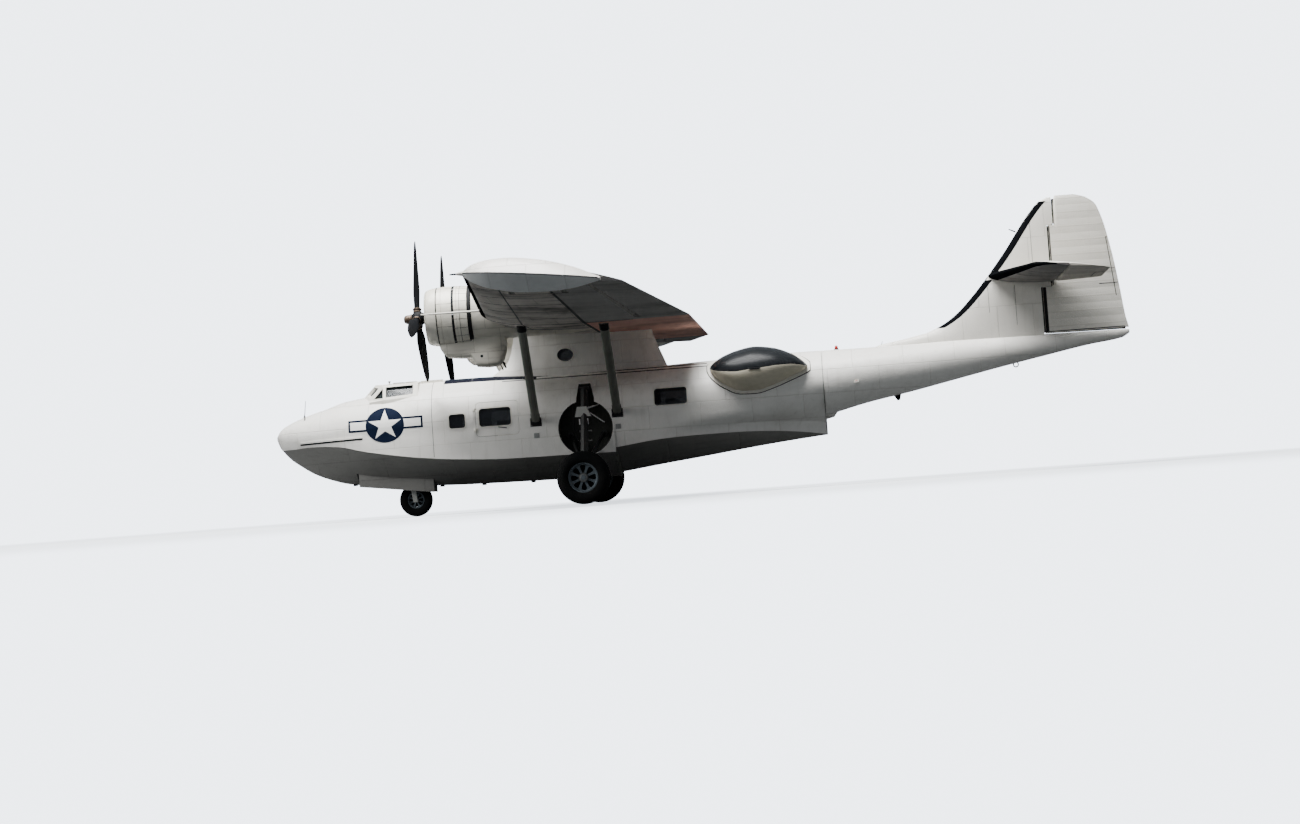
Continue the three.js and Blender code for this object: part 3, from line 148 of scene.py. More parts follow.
class Lines:
    """A table with one smooth line for each of its columns."""

    def __init__(self, rows: Sequence[NamedTuple]) -> None:
        """Makes the lines.

        Args:
            rows: Rows of one named tuple type, its first column rising.
        """
        self.kind = type(rows[0])
        keys = [row[0] for row in rows]
        self.lines = [Line(keys, column) for column in zip(*rows)]

    def at(self, key: float) -> NamedTuple:
        """Returns the row of smooth values at one value of the first column."""
        return self.kind(*(line(key) for line in self.lines))

    def straighten(self) -> None:
        """Makes every line straight between its points."""
        for line in self.lines:
            line.straight = True


# Finishes


def colour(code: str) -> tuple[float, float, float, float]:
    """Turns a screen colour such as "c8c4ba" into the linear colour that a shader takes.

    Args:
        code: Red, green and blue as two hexadecimal digits each.

    Returns:
        The linear colour with full alpha.
    """
    values = [int(code[i : i + 2], 16) / 255 for i in (0, 2, 4)]
    linear = [v / 12.92 if v <= 0.04045 else ((v + 0.055) / 1.055) ** 2.4 for v in values]
    return (*linear, 1.0)


class Nodes:
    """A node tree with short calls that add and join its nodes."""

    def __init__(self, tree: bpy.types.NodeTree) -> None:
        """Takes over a tree."""
        self.tree = tree

    def add(self, kind: str, inputs: dict | None = None, **settings: object) -> bpy.types.Node:
        """Adds a node.

        Args:
            kind: The node's type name.
            inputs: Values or sockets for its inputs, by name or number.
            **settings: The node's own properties.

        Returns:
            The new node.
        """
        node = self.tree.nodes.new(kind)
        for name, value in settings.items():
            setattr(node, name, value)
        self.feed(node, inputs or {})
        return node

    def feed(self, node: bpy.types.Node, inputs: dict) -> None:
        """Sets a node's inputs.

        Args:
            node: The node.
            inputs: Values, or sockets to join, by the input's name or number.
        """
        for key, value in inputs.items():
            if isinstance(value, Socket):
                self.tree.links.new(value, node.inputs[key])
            else:
                node.inputs[key].default_value = value

    def spot(self) -> Socket:
        """Adds the object's own coordinates and returns them."""
        return self.add("ShaderNodeTexCoord").outputs["Object"]

    def math(self, operation: str, a: object, b: object = 0.0, clamp: bool = False) -> Socket:
        """Adds a Math node and returns its result."""
        return self.add("ShaderNodeMath", {0: a, 1: b}, operation=operation, use_clamp=clamp).outputs[0]

    def blend(self, share: object, a: object, b: object) -> Socket:
        """Adds a colour mix and returns its result."""
        node = self.add("ShaderNodeMix", {0: share, 6: a, 7: b}, data_type="RGBA")
        return node.outputs[2]

    def noise(self, place: object, scale: object, detail: float = 4.0) -> Socket:
        """Adds a noise texture and returns its factor."""
        inputs = {"Vector": place, "Scale": scale, "Detail": detail, "Roughness": 0.6}
        return self.add("ShaderNodeTexNoise", inputs).outputs["Fac"]

    def step(self, value: object, low: float, high: float) -> Socket:
        """Adds a smooth step from 0 at low to 1 at high and returns its result."""
        inputs = {"Value": value, "From Min": low, "From Max": high}
        return self.add("ShaderNodeMapRange", inputs, interpolation_type="SMOOTHSTEP").outputs["Result"]

    def scaled(self, place: object, scale: object) -> Socket:
        """Adds a vector multiplied by a scale and returns its result."""
        return self.add("ShaderNodeVectorMath", {0: place, 1: scale}, operation="MULTIPLY").outputs[0]


def new_group(
    name: str, inputs: dict[str, object], outputs: dict[str, str]
) -> tuple[Nodes, dict, bpy.types.Node]:
    """Starts a shader node group.

    Args:
        name: The group's name.
        inputs: Each input's name and default value: a number, a colour or a vector.
        outputs: Each output's name and kind: Float or Color.

    Returns:
        The group's nodes, its input sockets by name, and its output node.
    """
    tree = bpy.data.node_groups.new(name, "ShaderNodeTree")
    kinds = {1: "Float", 3: "Vector", 4: "Color"}
    for key, value in inputs.items():
        size = len(value) if isinstance(value, tuple) else 1
        socket = tree.interface.new_socket(name=key, in_out="INPUT", socket_type=f"NodeSocket{kinds[size]}")
        socket.default_value = value
    for key, kind in outputs.items():
        tree.interface.new_socket(name=key, in_out="OUTPUT", socket_type=f"NodeSocket{kind}")
    nodes = Nodes(tree)
    entry = nodes.add("NodeGroupInput")
    return nodes, {s.name: s for s in entry.outputs if s.name}, nodes.add("NodeGroupOutput")


def weather_group() -> bpy.types.NodeTree:
    """Makes the group that ages a paint: broad stains, streaks along one way, and fine grain.

    Returns:
        The node group.
    """
    nodes, given, out = new_group(
        "weather",
        {
            "Clean": (0.8, 0.8, 0.8, 1.0), "Stained": (0.3, 0.3, 0.3, 1.0), "Stain": 0.3, "Streak": 0.2,
            "Streak Way": (4.0, 4.0, 0.4), "Size": 0.5, "Roughness": 0.5
        },
        {"Colour": "Color", "Roughness": "Float", "Height": "Float"}
    )
    spot = nodes.spot()
    broad = nodes.step(nodes.noise(spot, given["Size"], 6.0), 0.42, 0.72)
    lines = nodes.step(nodes.noise(nodes.scaled(spot, given["Streak Way"]), 1.6, 5.0), 0.5, 0.78)
    grain = nodes.noise(spot, 45.0, 3.0)
    share = nodes.math("MULTIPLY", broad, given["Stain"])
    share = nodes.math("ADD", share, nodes.math("MULTIPLY", lines, given["Streak"]))
    speck = nodes.math("MULTIPLY", nodes.step(grain, 0.55, 0.8), 0.12)
    share = nodes.math("ADD", share, speck, clamp=True)
    tone = nodes.blend(share, given["Clean"], given["Stained"])
    rough = nodes.math("ADD", given["Roughness"], nodes.math("MULTIPLY", share, 0.25), clamp=True)
    height = nodes.math("ADD", nodes.math("MULTIPLY", grain, 0.35), nodes.noise(spot, 2.2, 2.0))
    nodes.feed(out, {"Colour": tone, "Roughness": rough, "Height": height})
    return nodes.tree


def joint_group() -> bpy.types.NodeTree:
    """Makes the group that marks the joints between skin plates laid like bricks.

    Returns:
        The node group.
    """
    nodes, given, out = new_group(
        "plate_joints", {"Place": (0.0, 0.0, 0.0), "Length": 1.2, "Height": 0.6, "Width": 0.006},
        {"Joint": "Float"}
    )
    brick = nodes.add(
        "ShaderNodeTexBrick",
        {
            "Vector": given["Place"], "Scale": 1.0, "Mortar Size": given["Width"], "Mortar Smooth": 0.3,
            "Brick Width": given["Length"], "Row Height": given["Height"]
        }
    )
    nodes.feed(out, {"Joint": brick.outputs["Fac"]})
    return nodes.tree


def rib_group() -> bpy.types.NodeTree:
    """Makes the group that marks rib tapes on fabric and its sag between the ribs.

    Returns:
        The node group.
    """
    nodes, given, out = new_group(
        "rib_tapes", {"Across": 0.0, "Pitch": 0.3, "Width": 0.03}, {"Tape": "Float", "Sag": "Float"}
    )
    half = nodes.math("MULTIPLY", given["Pitch"], 0.5)
    off = nodes.math("PINGPONG", given["Across"], half)
    tape = nodes.math("LESS_THAN", off, nodes.math("MULTIPLY", given["Width"], 0.5))
    share = nodes.math("DIVIDE", off, half)
    sag = nodes.math("MULTIPLY", nodes.math("MULTIPLY", share, share), -1.0)
    nodes.feed(out, {"Tape": tape, "Sag": sag})
    return nodes.tree


WEATHER = weather_group()
JOINTS = joint_group()
RIBS = rib_group()


class Way(Enum):
    """Which two directions a pattern lies in."""

    SIDE = ("X", "Z")
    PLAN = ("X", "Y")


def new_material(name: str) -> tuple[bpy.types.Material, Nodes, bpy.types.Node]:
    """Starts a material and returns it with its nodes and its shader."""
    material = bpy.data.materials.new(name)
    material.use_nodes = True
    return material, Nodes(material.node_tree), material.node_tree.nodes["Principled BSDF"]


@dataclass(frozen=True)
class Plates:
    """Skin plates: the size of one, the width of the joints and the way they lie."""

    length: float
    height: float
    width: float = 0.008
    way: Way = Way.SIDE
    depth: float = 0.35


@dataclass(frozen=True)
class Ribs:
    """Fabric over ribs: their pitch, the tapes' width, and the direction in which they repeat."""

    pitch: float
    tape: float = 0.035
    across: str = "Y"
    sag: float = 0.35


@dataclass(frozen=True)
class Paint:
    """A weathered painted, bare or rubber surface."""

    name: str
    clean: str
    stained: str
    roughness: float = 0.5
    metallic: float = 0.0
    stain: float = 0.3
    streak: float = 0.2
    streak_way: tuple[float, float, float] = (4.0, 4.0, 0.4)
    size: float = 0.5
    bump: float = 0.06
    coat: float = 0.0
    shine: float = 0.5
    plates: Plates | None = None
    ribs: Ribs | None = None

    def make(self) -> bpy.types.Material:
        """Builds the material.

        Returns:
            The material.
        """
        material, nodes, shader = new_material(self.name)
        stained = colour(self.stained)
        given = {
            "Clean": colour(self.clean), "Stained": stained, "Stain": self.stain, "Streak": self.streak,
            "Streak Way": self.streak_way, "Size": self.size, "Roughness": self.roughness
        }
        worn = nodes.add("ShaderNodeGroup", given, node_tree=WEATHER)
        tone, height = worn.outputs["Colour"], nodes.math("MULTIPLY", worn.outputs["Height"], 0.3)
        if self.plates or self.ribs:
            axes = nodes.add("ShaderNodeSeparateXYZ", {0: nodes.spot()})
        if self.plates:
            first, second = self.plates.way.value
            flat = nodes.add("ShaderNodeCombineXYZ", {0: axes.outputs[first], 1: axes.outputs[second]})
            given = {
                "Place": flat.outputs[0], "Length": self.plates.length, "Height": self.plates.height,
                "Width": self.plates.width
            }
            joint = nodes.add("ShaderNodeGroup", given, node_tree=JOINTS).outputs["Joint"]
            tone = nodes.blend(nodes.math("MULTIPLY", joint, self.plates.depth), tone, stained)
            height = nodes.math("SUBTRACT", height, nodes.math("MULTIPLY", joint, 0.15))
        if self.ribs:
            across = axes.outputs[self.ribs.across]
            given = {"Across": across, "Pitch": self.ribs.pitch, "Width": self.ribs.tape}
            taped = nodes.add("ShaderNodeGroup", given, node_tree=RIBS)
            tone = nodes.blend(nodes.math("MULTIPLY", taped.outputs["Tape"], 0.3), tone, stained)
            height = nodes.math("ADD", height, nodes.math("MULTIPLY", taped.outputs["Sag"], self.ribs.sag))
            height = nodes.math("ADD", height, nodes.math("MULTIPLY", taped.outputs["Tape"], 0.06))
        bump = nodes.add("ShaderNodeBump", {"Height": height, "Strength": 0.8, "Distance": self.bump})
        surface = {
            "Base Color": tone, "Roughness": worn.outputs["Roughness"], "Normal": bump.outputs["Normal"],
            "Metallic": self.metallic, "Coat Weight": self.coat, "Specular IOR Level": self.shine
        }
        nodes.feed(shader, surface)
        return material


@dataclass(frozen=True)
class Pane:
    """A tinted clear panel with light smears."""

    name: str
    tint: str
    clear: float = 0.5
    roughness: float = 0.06
    shine: float = 0.5

    def make(self) -> bpy.types.Material:
        """Builds the material.

        Returns:
            The material.
        """
        material, nodes, shader = new_material(self.name)
        smear = nodes.noise(nodes.scaled(nodes.spot(), (1.0, 1.0, 0.3)), 3.0)
        tone = nodes.blend(nodes.math("MULTIPLY", smear, 0.05), colour(self.tint), colour("8a9298"))
        rough = nodes.math("ADD", nodes.math("MULTIPLY", smear, 0.1), self.roughness)
        alpha = nodes.math("ADD", nodes.math("MULTIPLY", smear, 0.08), 1.0 - self.clear, clamp=True)
        surface = {"Base Color": tone, "Roughness": rough, "Alpha": alpha, "Specular IOR Level": self.shine}
        nodes.feed(shader, surface)
        return material


SKIN_PLATES = Plates(1.15, 0.52, 0.007, Way.SIDE, 0.3)
PLANKS = Plates(1.6, 0.45, 0.008, Way.SIDE, 0.3)
WING_PLATES = Plates(0.9, 1.3, 0.008, Way.PLAN, 0.4)
ALONG = (0.5, 5.0, 5.0)


class Finish(Enum):
    """Every surface finish of the boat."""

    CREAM = Paint(
        "cream_hull_paint", "d9d7d1", "9b968c", 0.42, stain=0.25, streak=0.22, coat=0.15, plates=SKIN_PLATES
    )
    BOTTOM = Paint(
        "grey_bottom_paint", "95938e", "6b6864", 0.6, stain=0.4, streak=0.3, streak_way=ALONG, plates=PLANKS
    )
    DECK_BLUE = Paint("deck_blue_paint", "080c18", "141824", 0.6, stain=0.25, shine=0.05)
    TAIL = Paint("cream_tail_paint", "d2cfc7", "8f8a80", 0.45, stain=0.22, plates=Plates(0.8, 0.75), coat=0.1)
    RUDDER = Paint(
        "cream_doped_fabric", "d0cdc4", "b4afa4", 0.6, stain=0.25, ribs=Ribs(0.32, 0.03, "Z", 0.12)
    )
    ELEVATOR = Paint("grey_doped_fabric", "aaa59c", "6d675e", 0.65, stain=0.35, ribs=Ribs(0.3))
    WING_UNDER = Paint(
        "dark_wing_paint", "aea8a1", "35312f", 0.6, stain=0.9, streak=0.6, streak_way=ALONG, shine=0.3,
        plates=WING_PLATES
    )
    WING_TOP = Paint("cream_wing_paint", "c9c5bb", "8a857b", 0.5, stain=0.3, plates=WING_PLATES)
    WING_FABRIC = Paint(
        "dark_doped_fabric", "8c8a87", "484644", 0.8, stain=0.55, streak=0.35, streak_way=ALONG, shine=0.3,
        ribs=Ribs(0.31)
    )
    BROWN_FABRIC = Paint(
        "brown_doped_fabric", "c4998c", "8a685e", 0.8, stain=0.6, streak=0.3, streak_way=ALONG, shine=0.3,
        ribs=Ribs(0.31)
    )
    BOOT = Paint("black_rubber_boot", "0a0b0d", "17181a", 0.85, stain=0.3, bump=0.03, shine=0.0)
    COWL = Paint(
        "cream_cowl_paint", "d0ccbf", "857e70", 0.4, metallic=0.1, stain=0.35, streak=0.3, coat=0.15,
        plates=Plates(0.34, 3.0)
    )
    NACELLE = Paint(
        "cream_nacelle_paint", "c6c2b6", "6e675b", 0.45, stain=0.45, streak=0.4, streak_way=ALONG,
        plates=Plates(0.6, 0.5)
    )
    IRON = Paint("oily_cast_cylinders", "4b4a48", "24211d", 0.5, metallic=0.7, stain=0.5)
    BARE = Paint("bare_steel", "9a9a98", "5a5650", 0.35, metallic=0.9, stain=0.3)
    BRONZE = Paint("bronze_hub", "54463a", "2e261f", 0.4, metallic=0.6, stain=0.35)
    BLADE = Paint(
        "black_blade_paint", "131416", "242526", 0.7, stain=0.15, streak=0.1, bump=0.003, shine=0.03
    )
    STRUT = Paint("olive_strut_paint", "6a6c64", "474840", 0.5, stain=0.35)
    FITTING = Paint("black_fitting", "141517", "2e2e2f", 0.6, metallic=0.2, stain=0.3, shine=0.12)
    LEG = Paint("grey_gear_paint", "b7b7b1", "6e6a62", 0.4, metallic=0.15, stain=0.35)
    DARK_LEG = Paint("oily_leg_paint", "2b2c2c", "4a4640", 0.4, metallic=0.3, stain=0.4)
    RIM = Paint("grey_wheel_paint", "6b757b", "3a3d3f", 0.45, metallic=0.3, stain=0.4)
    TYRE = Paint("tyre_rubber", "0f1011", "2c2a27", 0.85, stain=0.3, size=3.0, shine=0.15)
    WELL = Paint("dark_well_primer", "33352f", "1c1d1a", 0.7, stain=0.4)
    INSIDE = Paint("green_grey_primer", "5c6353", "3c4037", 0.75, stain=0.35)
    SEAT = Paint("worn_seat_leather", "3a332b", "5f5546", 0.65, stain=0.4, size=4.0)
    LINING = Paint("beige_lining", "bdb6a2", "8e8774", 0.7, stain=0.3)
    FRAME = Paint("cream_window_frame", "cfccc2", "8a857a", 0.45, stain=0.3)
    FLOAT = Paint(
        "cream_float_paint", "d8d5ce", "97928a", 0.4, stain=0.25, coat=0.15, plates=Plates(0.7, 0.5)
    )
    STAR = Paint("white_marking", "dddcd8", "a9a69f", 0.45, stain=0.2)
    DISC = Paint("dark_blue_marking", "0b1426", "161e32", 0.6, stain=0.2, shine=0.03)
    FLOAT_BELLY = Paint("grey_float_paint", "d8dad9", "a2a4a2", 0.45, stain=0.3, plates=Plates(0.7, 0.5))
    TAIL_UNDER = Paint("dark_tail_paint", "5c5957", "3a3836", 0.55, stain=0.45)
    FLOOR = Paint("pale_floor", "a2a4a5", "989a9b", 0.75, stain=0.1, streak=0.0, bump=0.002)
    GLASS = Pane("tinted_glass", "05080d", 0.25, 0.08, 0.3)
    CLEAR = Pane("clear_screen", "182022", 0.3, 0.06, 0.4)
    BLISTER = Pane("smoked_blister", "07080a", 0.25, 0.26, 0.12)
    RED = Paint("red_beacon", "8f140d", "5c100b", 0.25, stain=0.1)

    def material(self) -> bpy.types.Material:
        """Returns the finish's material, made at its first use."""
        return bpy.data.materials.get(self.value.name) or self.value.make()


# Meshes

# Angle in degrees past which an edge stays sharp
SHARP = 35.0


class Shape:
    """Points and faces of a piece as it is built, each face marked with the number of its finish."""

    def __init__(self) -> None:
        """Starts with nothing."""
        self.points: list[Vector] = []
        self.faces: list[tuple[int, ...]] = []
        self.marks: list[int] = []

    def face(self, corners: Sequence[int], mark: int = 0) -> None:
        """Adds one face over points that are there already."""
        self.faces.append(tuple(corners))
        self.marks.append(mark)

    def loft(
        self, rings: Sequence[Ring], mark: Mark = 0, ends: int | None = 0, closed: bool = True
    ) -> "Shape":
        """Adds a skin through rings of points.

        Args:
            rings: Rings with the same number of points each.
            mark: A finish number, or a function of ring and segment that gives it.
            ends: Finish number of the end faces, or None for open ends.
            closed: Whether each ring joins up.

        Returns:
            The shape itself.
        """
        first, count = len(self.points), len(rings[0])
        for ring in rings:
            self.points.extend(ring)
        for r in range(len(rings) - 1):
            for i in range(count if closed else count - 1):
                a, b = first + r * count + i, first + r * count + (i + 1) % count
                self.face((a, b, b + count, a + count), mark(r, i) if callable(mark) else mark)
        if ends is not None:
            last = first + (len(rings) - 1) * count
            self.face(range(first, first + count), ends)
            self.face(range(last, last + count), ends)
        return self

    def rod(
        self, start: Vector, end: Vector, radius: float, tip: float | None = None, sides: int = 20,
        mark: int = 0
    ) -> "Shape":
        """Adds a round rod with slightly rounded edges.

        Args:
            start: Middle of one end.
            end: Middle of the other.
            radius: Radius at the start.
            tip: Radius at the end, if it differs.
            sides: Facets round it.
            mark: Finish number.

        Returns:
            The shape itself.
        """
        tip = radius if tip is None else tip
        along = (end - start).normalized()
        edge = min(0.2 * min(radius, tip), 0.3 * (end - start).length)
        stops = [
            (start, radius - edge), (start + along * edge, radius), (end - along * edge, tip),
            (end, tip - edge)
        ]
        return self.loft([circle(p, along, r, sides) for p, r in stops], mark)

    def box(self, low: Vector, high: Vector, mark: int = 0) -> "Shape":
        """Adds a block between two opposite corners."""
        corners = ((low.y, low.z), (high.y, low.z), (high.y, high.z), (low.y, high.z))
        rings = [[Vector((x, y, z)) for y, z in corners] for x in (low.x, high.x)]
        return self.loft(rings, mark, mark)

    def side_box(self, sign: int, x: Pair, y: Pair, z: Pair, mark: int = 0) -> "Shape":
        """Adds a block on one side of the boat, from its limits along each axis."""
        near, far = sorted((sign * y[0], sign * y[1]))
        return self.box(place(x[0], near, z[0]), place(x[1], far, z[1]), mark)

    def lathe(self, profile: Outline, centre: Vector, axis: Vector, sides: int, mark: Mark = 0) -> "Shape":
        """Adds a profile turned about an axis.

        Args:
            profile: Distance along the axis and radius of each point, closed if it stays off the axis.
            centre: A point on the axis.
            axis: The axis.
            sides: Facets round it.
            mark: A finish number, or a function of profile step and facet.

        Returns:
            The shape itself.
        """
        off_axis = profile[0][1] > 1e-6
        stops = [*profile, profile[0]] if off_axis else profile
        rings = [circle(centre + axis * along, axis, max(radius, 1e-5), sides) for along, radius in stops]
        return self.loft(rings, mark, None)

    def build(self, name: str, *finishes: Finish, smooth: float = SHARP) -> Piece:
        """Makes the mesh object, with its normals outward and its edges sharp past an angle.

        Args:
            name: The piece's name.
            *finishes: Finishes in the order of the marks.
            smooth: Angle in degrees past which an edge stays sharp.

        Returns:
            The object, at the origin.
        """
        mesh = bpy.data.meshes.new(name)
        mesh.from_pydata(self.points, [], self.faces)
        mesh.polygons.foreach_set("material_index", self.marks)
        for finish in finishes:
            mesh.materials.append(finish.material())
        work = bmesh.new()
        work.from_mesh(mesh)
        bmesh.ops.remove_doubles(work, verts=work.verts, dist=1e-5)
        bmesh.ops.dissolve_degenerate(work, edges=work.edges, dist=1e-6)
        bmesh.ops.recalc_face_normals(work, faces=work.faces)
        work.to_mesh(mesh)
        work.free()
        piece = bpy.data.objects.new(name, mesh)
        bpy.context.scene.collection.objects.link(piece)
        soften(mesh, smooth)
        return piece


def soften(mesh: bpy.types.Mesh, angle: float) -> None:
    """Shades a mesh smooth but for edges past an angle in degrees."""
    mesh.shade_smooth()
    mesh.set_sharp_from_angle(angle=math.radians(angle))


def across_of(along: Vector) -> tuple[Vector, Vector]:
    """Returns two directions square to one another and to along."""
    seed = AFT if abs(along.z) > 0.9 else UP
    u = seed.cross(along).normalized()
    return u, along.cross(u).normalized()


def circle(centre: Vector, along: Vector, radius: float, sides: int) -> Ring:
    """Returns a ring of points round an axis."""
    u, v = across_of(along)
    return [centre + u * (radius * math.cos(a)) + v * (radius * math.sin(a)) for a in angles(sides)]


class Cut(Enum):
    """What a carving tool does to a piece."""

    AWAY = "DIFFERENCE"
    COMMON = "INTERSECT"
    JOIN = "UNION"


def carve(piece: Piece, tools: Iterable[Piece], how: Cut = Cut.AWAY) -> Piece:
    """Cuts a piece with closed tools, which are used up.

    Args:
        piece: The piece, changed in place.
        tools: Closed meshes; their finish numbers are those of the piece.
        how: What they do to it.

    Returns:
        The piece.
    """
    tools = list(tools)
    for tool in tools:
        if not tool.data.materials:
            for held in piece.data.materials:
                tool.data.materials.append(held)
        step = piece.modifiers.new("carve", "BOOLEAN")
        step.operation, step.solver, step.object = how.value, "EXACT", tool
    settle(piece)
    for tool in tools:
        bpy.data.meshes.remove(tool.data)
    soften(piece.data, SHARP)
    return piece


def settle(piece: Piece) -> None:
    """Turns a piece's modifiers into its plain mesh."""
    bpy.context.view_layer.update()
    graph = bpy.context.evaluated_depsgraph_get()
    made = bpy.data.meshes.new_from_object(piece.evaluated_get(graph), depsgraph=graph)
    old, made.name = piece.data, piece.data.name
    piece.modifiers.clear()
    piece.data = made
    bpy.data.meshes.remove(old)


def prism(outline: Outline, near: float, far: float, mark: int = 0) -> Piece:
    """Makes a tool from an outline in the side view, pushed through from one y to another."""
    rings = [[place(x, y, z) for x, z in outline] for y in (near, far)]
    return Shape().loft(rings, mark, mark).build("tool")


def rounded(x: Pair, z: Pair, radius: float, steps: int = 5) -> list[Pair]:
    """Returns a rectangle's outline with rounded corners.

    Args:
        x: Its limits one way.
        z: Its limits the other way.
        radius: Radius of the corners.
        steps: Points to each corner.

    Returns:
        The outline's points.
    """
    corners = [(x[1], z[1], 0), (x[0], z[1], 1), (x[0], z[0], 2), (x[1], z[0], 3)]
    points = []
    for cx, cz, quarter in corners:
        mx = cx - radius if cx == x[1] else cx + radius
        mz = cz - radius if cz == z[1] else cz + radius
        for i in range(steps):
            a = (quarter + i / (steps - 1)) * math.pi / 2
            points.append((mx + radius * math.cos(a), mz + radius * math.sin(a)))
    return points


# Repeated pieces, made by geometry nodes


class Unit(Enum):
    """What is repeated along a line."""

    STUD = "studs"
    DISC = "discs"
    TUBE = "tubes"


def repeat_tree(unit: Unit) -> bpy.types.NodeTree:
    """Makes the tree that sets studs or discs along lines, or sweeps a tube along them.

    Args:
        unit: What it makes.

    Returns:
        The geometry tree, with named inputs for its sizes.
    """
    tree = bpy.data.node_groups.new(f"along_{unit.value}", "GeometryNodeTree")
    tree.interface.new_socket(name="Lines", in_out="INPUT", socket_type="NodeSocketGeometry")
    for name, value in (("Pitch", 0.06), ("Radius", 0.005), ("Depth", 0.002)):
        socket = tree.interface.new_socket(name=name, in_out="INPUT", socket_type="NodeSocketFloat")
        socket.default_value = value
    sides = tree.interface.new_socket(name="Sides", in_out="INPUT", socket_type="NodeSocketInt")
    sides.default_value = 8
    tree.interface.new_socket(name="Finish", in_out="INPUT", socket_type="NodeSocketMaterial")
    tree.interface.new_socket(name="Made", in_out="OUTPUT", socket_type="NodeSocketGeometry")
    nodes = Nodes(tree)
    given = nodes.add("NodeGroupInput").outputs
    lines = nodes.add("GeometryNodeMeshToCurve", {"Mesh": given["Lines"]}).outputs["Curve"]
    if unit is Unit.TUBE:
        ring = nodes.add(
            "GeometryNodeCurvePrimitiveCircle", {"Resolution": given["Sides"], "Radius": given["Radius"]}
        )
        sweep = {"Curve": lines, "Profile Curve": ring.outputs["Curve"], "Fill Caps": True}
        made = nodes.add("GeometryNodeCurveToMesh", sweep).outputs["Mesh"]
    else:
        even = nodes.add(
            "GeometryNodeResampleCurve", {"Curve": lines, "Length": given["Pitch"]}, mode="LENGTH"
        )
        if unit is Unit.STUD:
            way = nodes.add("GeometryNodeInputNamedAttribute", {"Name": "outward"}, data_type="FLOAT_VECTOR")
            solid = nodes.add(
                "GeometryNodeMeshCone",
                {"Vertices": given["Sides"], "Radius Top": 0.55, "Radius Bottom": 1.0, "Depth": 1.0}
            )
        else:
            way = nodes.add("GeometryNodeInputTangent")
            solid = nodes.add(
                "GeometryNodeMeshCylinder", {"Vertices": given["Sides"], "Radius": 1.0, "Depth": 1.0}
            )
        turn = nodes.add("FunctionNodeAlignRotationToVector", {"Vector": way.outputs[0]}, axis="Z")
        size = nodes.add("ShaderNodeCombineXYZ", {0: given["Radius"], 1: given["Radius"], 2: given["Depth"]})
        made = nodes.add(
            "GeometryNodeInstanceOnPoints",
            {
                "Points": even.outputs["Curve"], "Instance": solid.outputs["Mesh"],
                "Rotation": turn.outputs["Rotation"], "Scale": size.outputs[0]
            }
        ).outputs["Instances"]
    real = nodes.add("GeometryNodeRealizeInstances", {"Geometry": made})
    dressed = nodes.add("GeometryNodeSetMaterial", {"Geometry": real.outputs[0], "Material": given["Finish"]})
    nodes.add("NodeGroupOutput", {0: dressed.outputs[0]})
    return tree


REPEATS = {unit: repeat_tree(unit) for unit in Unit}


@dataclass
class Course:
    """A line that pieces repeat along, and which way is outward at each of its points."""

    points: Sequence[Vector]
    outward: Sequence[Vector] | None = None
    closed: bool = False


def repeat(
    name: str, unit: Unit, courses: Sequence[Course], finish: Finish, radius: float, **sizes: float
) -> Piece:
    """Sets studs, discs or a tube along lines.

    Args:
        name: The piece's name.
        unit: What is repeated.
        courses: The lines.
        finish: The finish.
        radius: Radius of a stud, disc or tube.
        **sizes: The tree's other sizes: Pitch, Depth and Sides.

    Returns:
        The piece as a plain mesh.
    """
    mesh = bpy.data.meshes.new(name)
    points, edges, outward = [], [], []
    for course in courses:
        first, count = len(points), len(course.points)
        points.extend(course.points)
        outward.extend(course.outward or [UP] * count)
        edges.extend((first + i, first + i + 1) for i in range(count - 1))
        if course.closed:
            edges.append((first + count - 1, first))
    mesh.from_pydata(points, edges, [])
    held = mesh.attributes.new("outward", "FLOAT_VECTOR", "POINT")
    held.data.foreach_set("vector", [value for way in outward for value in way])
    piece = bpy.data.objects.new(name, mesh)
    bpy.context.scene.collection.objects.link(piece)
    step = piece.modifiers.new("repeat", "NODES")
    step.node_group = REPEATS[unit]
    values = {"Radius": radius, "Finish": finish.material(), **sizes}
    for item in step.node_group.interface.items_tree:
        if item.name in values:
            step[item.identifier] = values[item.name]
    settle(piece)
    soften(piece.data, 40.0)
    return piece


def triangles(piece: Piece) -> int:
    """Returns the number of triangles in a piece."""
    return sum(len(face.vertices) - 2 for face in piece.data.polygons)


def fit(piece: Piece, body: str = AIRFRAME, stands_for: Sequence[str] = ()) -> None:
    """Sets a finished piece on its body and reports it.

    Args:
        piece: The piece.
        body: The body that it rides on.
        stands_for: The solids that it replaces.
    """
    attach(piece, body)
    if stands_for:
        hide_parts(*stands_for)
    LOG.info("%s: %d triangles on %s", piece.name, triangles(piece), body)


def dress(node: str, finish: Finish) -> None:
    """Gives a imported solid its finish, without changing its mesh."""
    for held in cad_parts[node].material_slots:
        held.material = finish.material()
    LOG.info("%s: packed solid in %s", node, finish.name.lower())


# The hull's form


class Station(NamedTuple):
    """One station of the hull: heights and half-breadths of its keel, chine, sides and deck."""

    x: float
    keel: float
    chine_z: float
    chine_y: float
    low_y: float
    waist_z: float
    waist_y: float
    top: float


# Place of the main step
STEP_X = 7.79

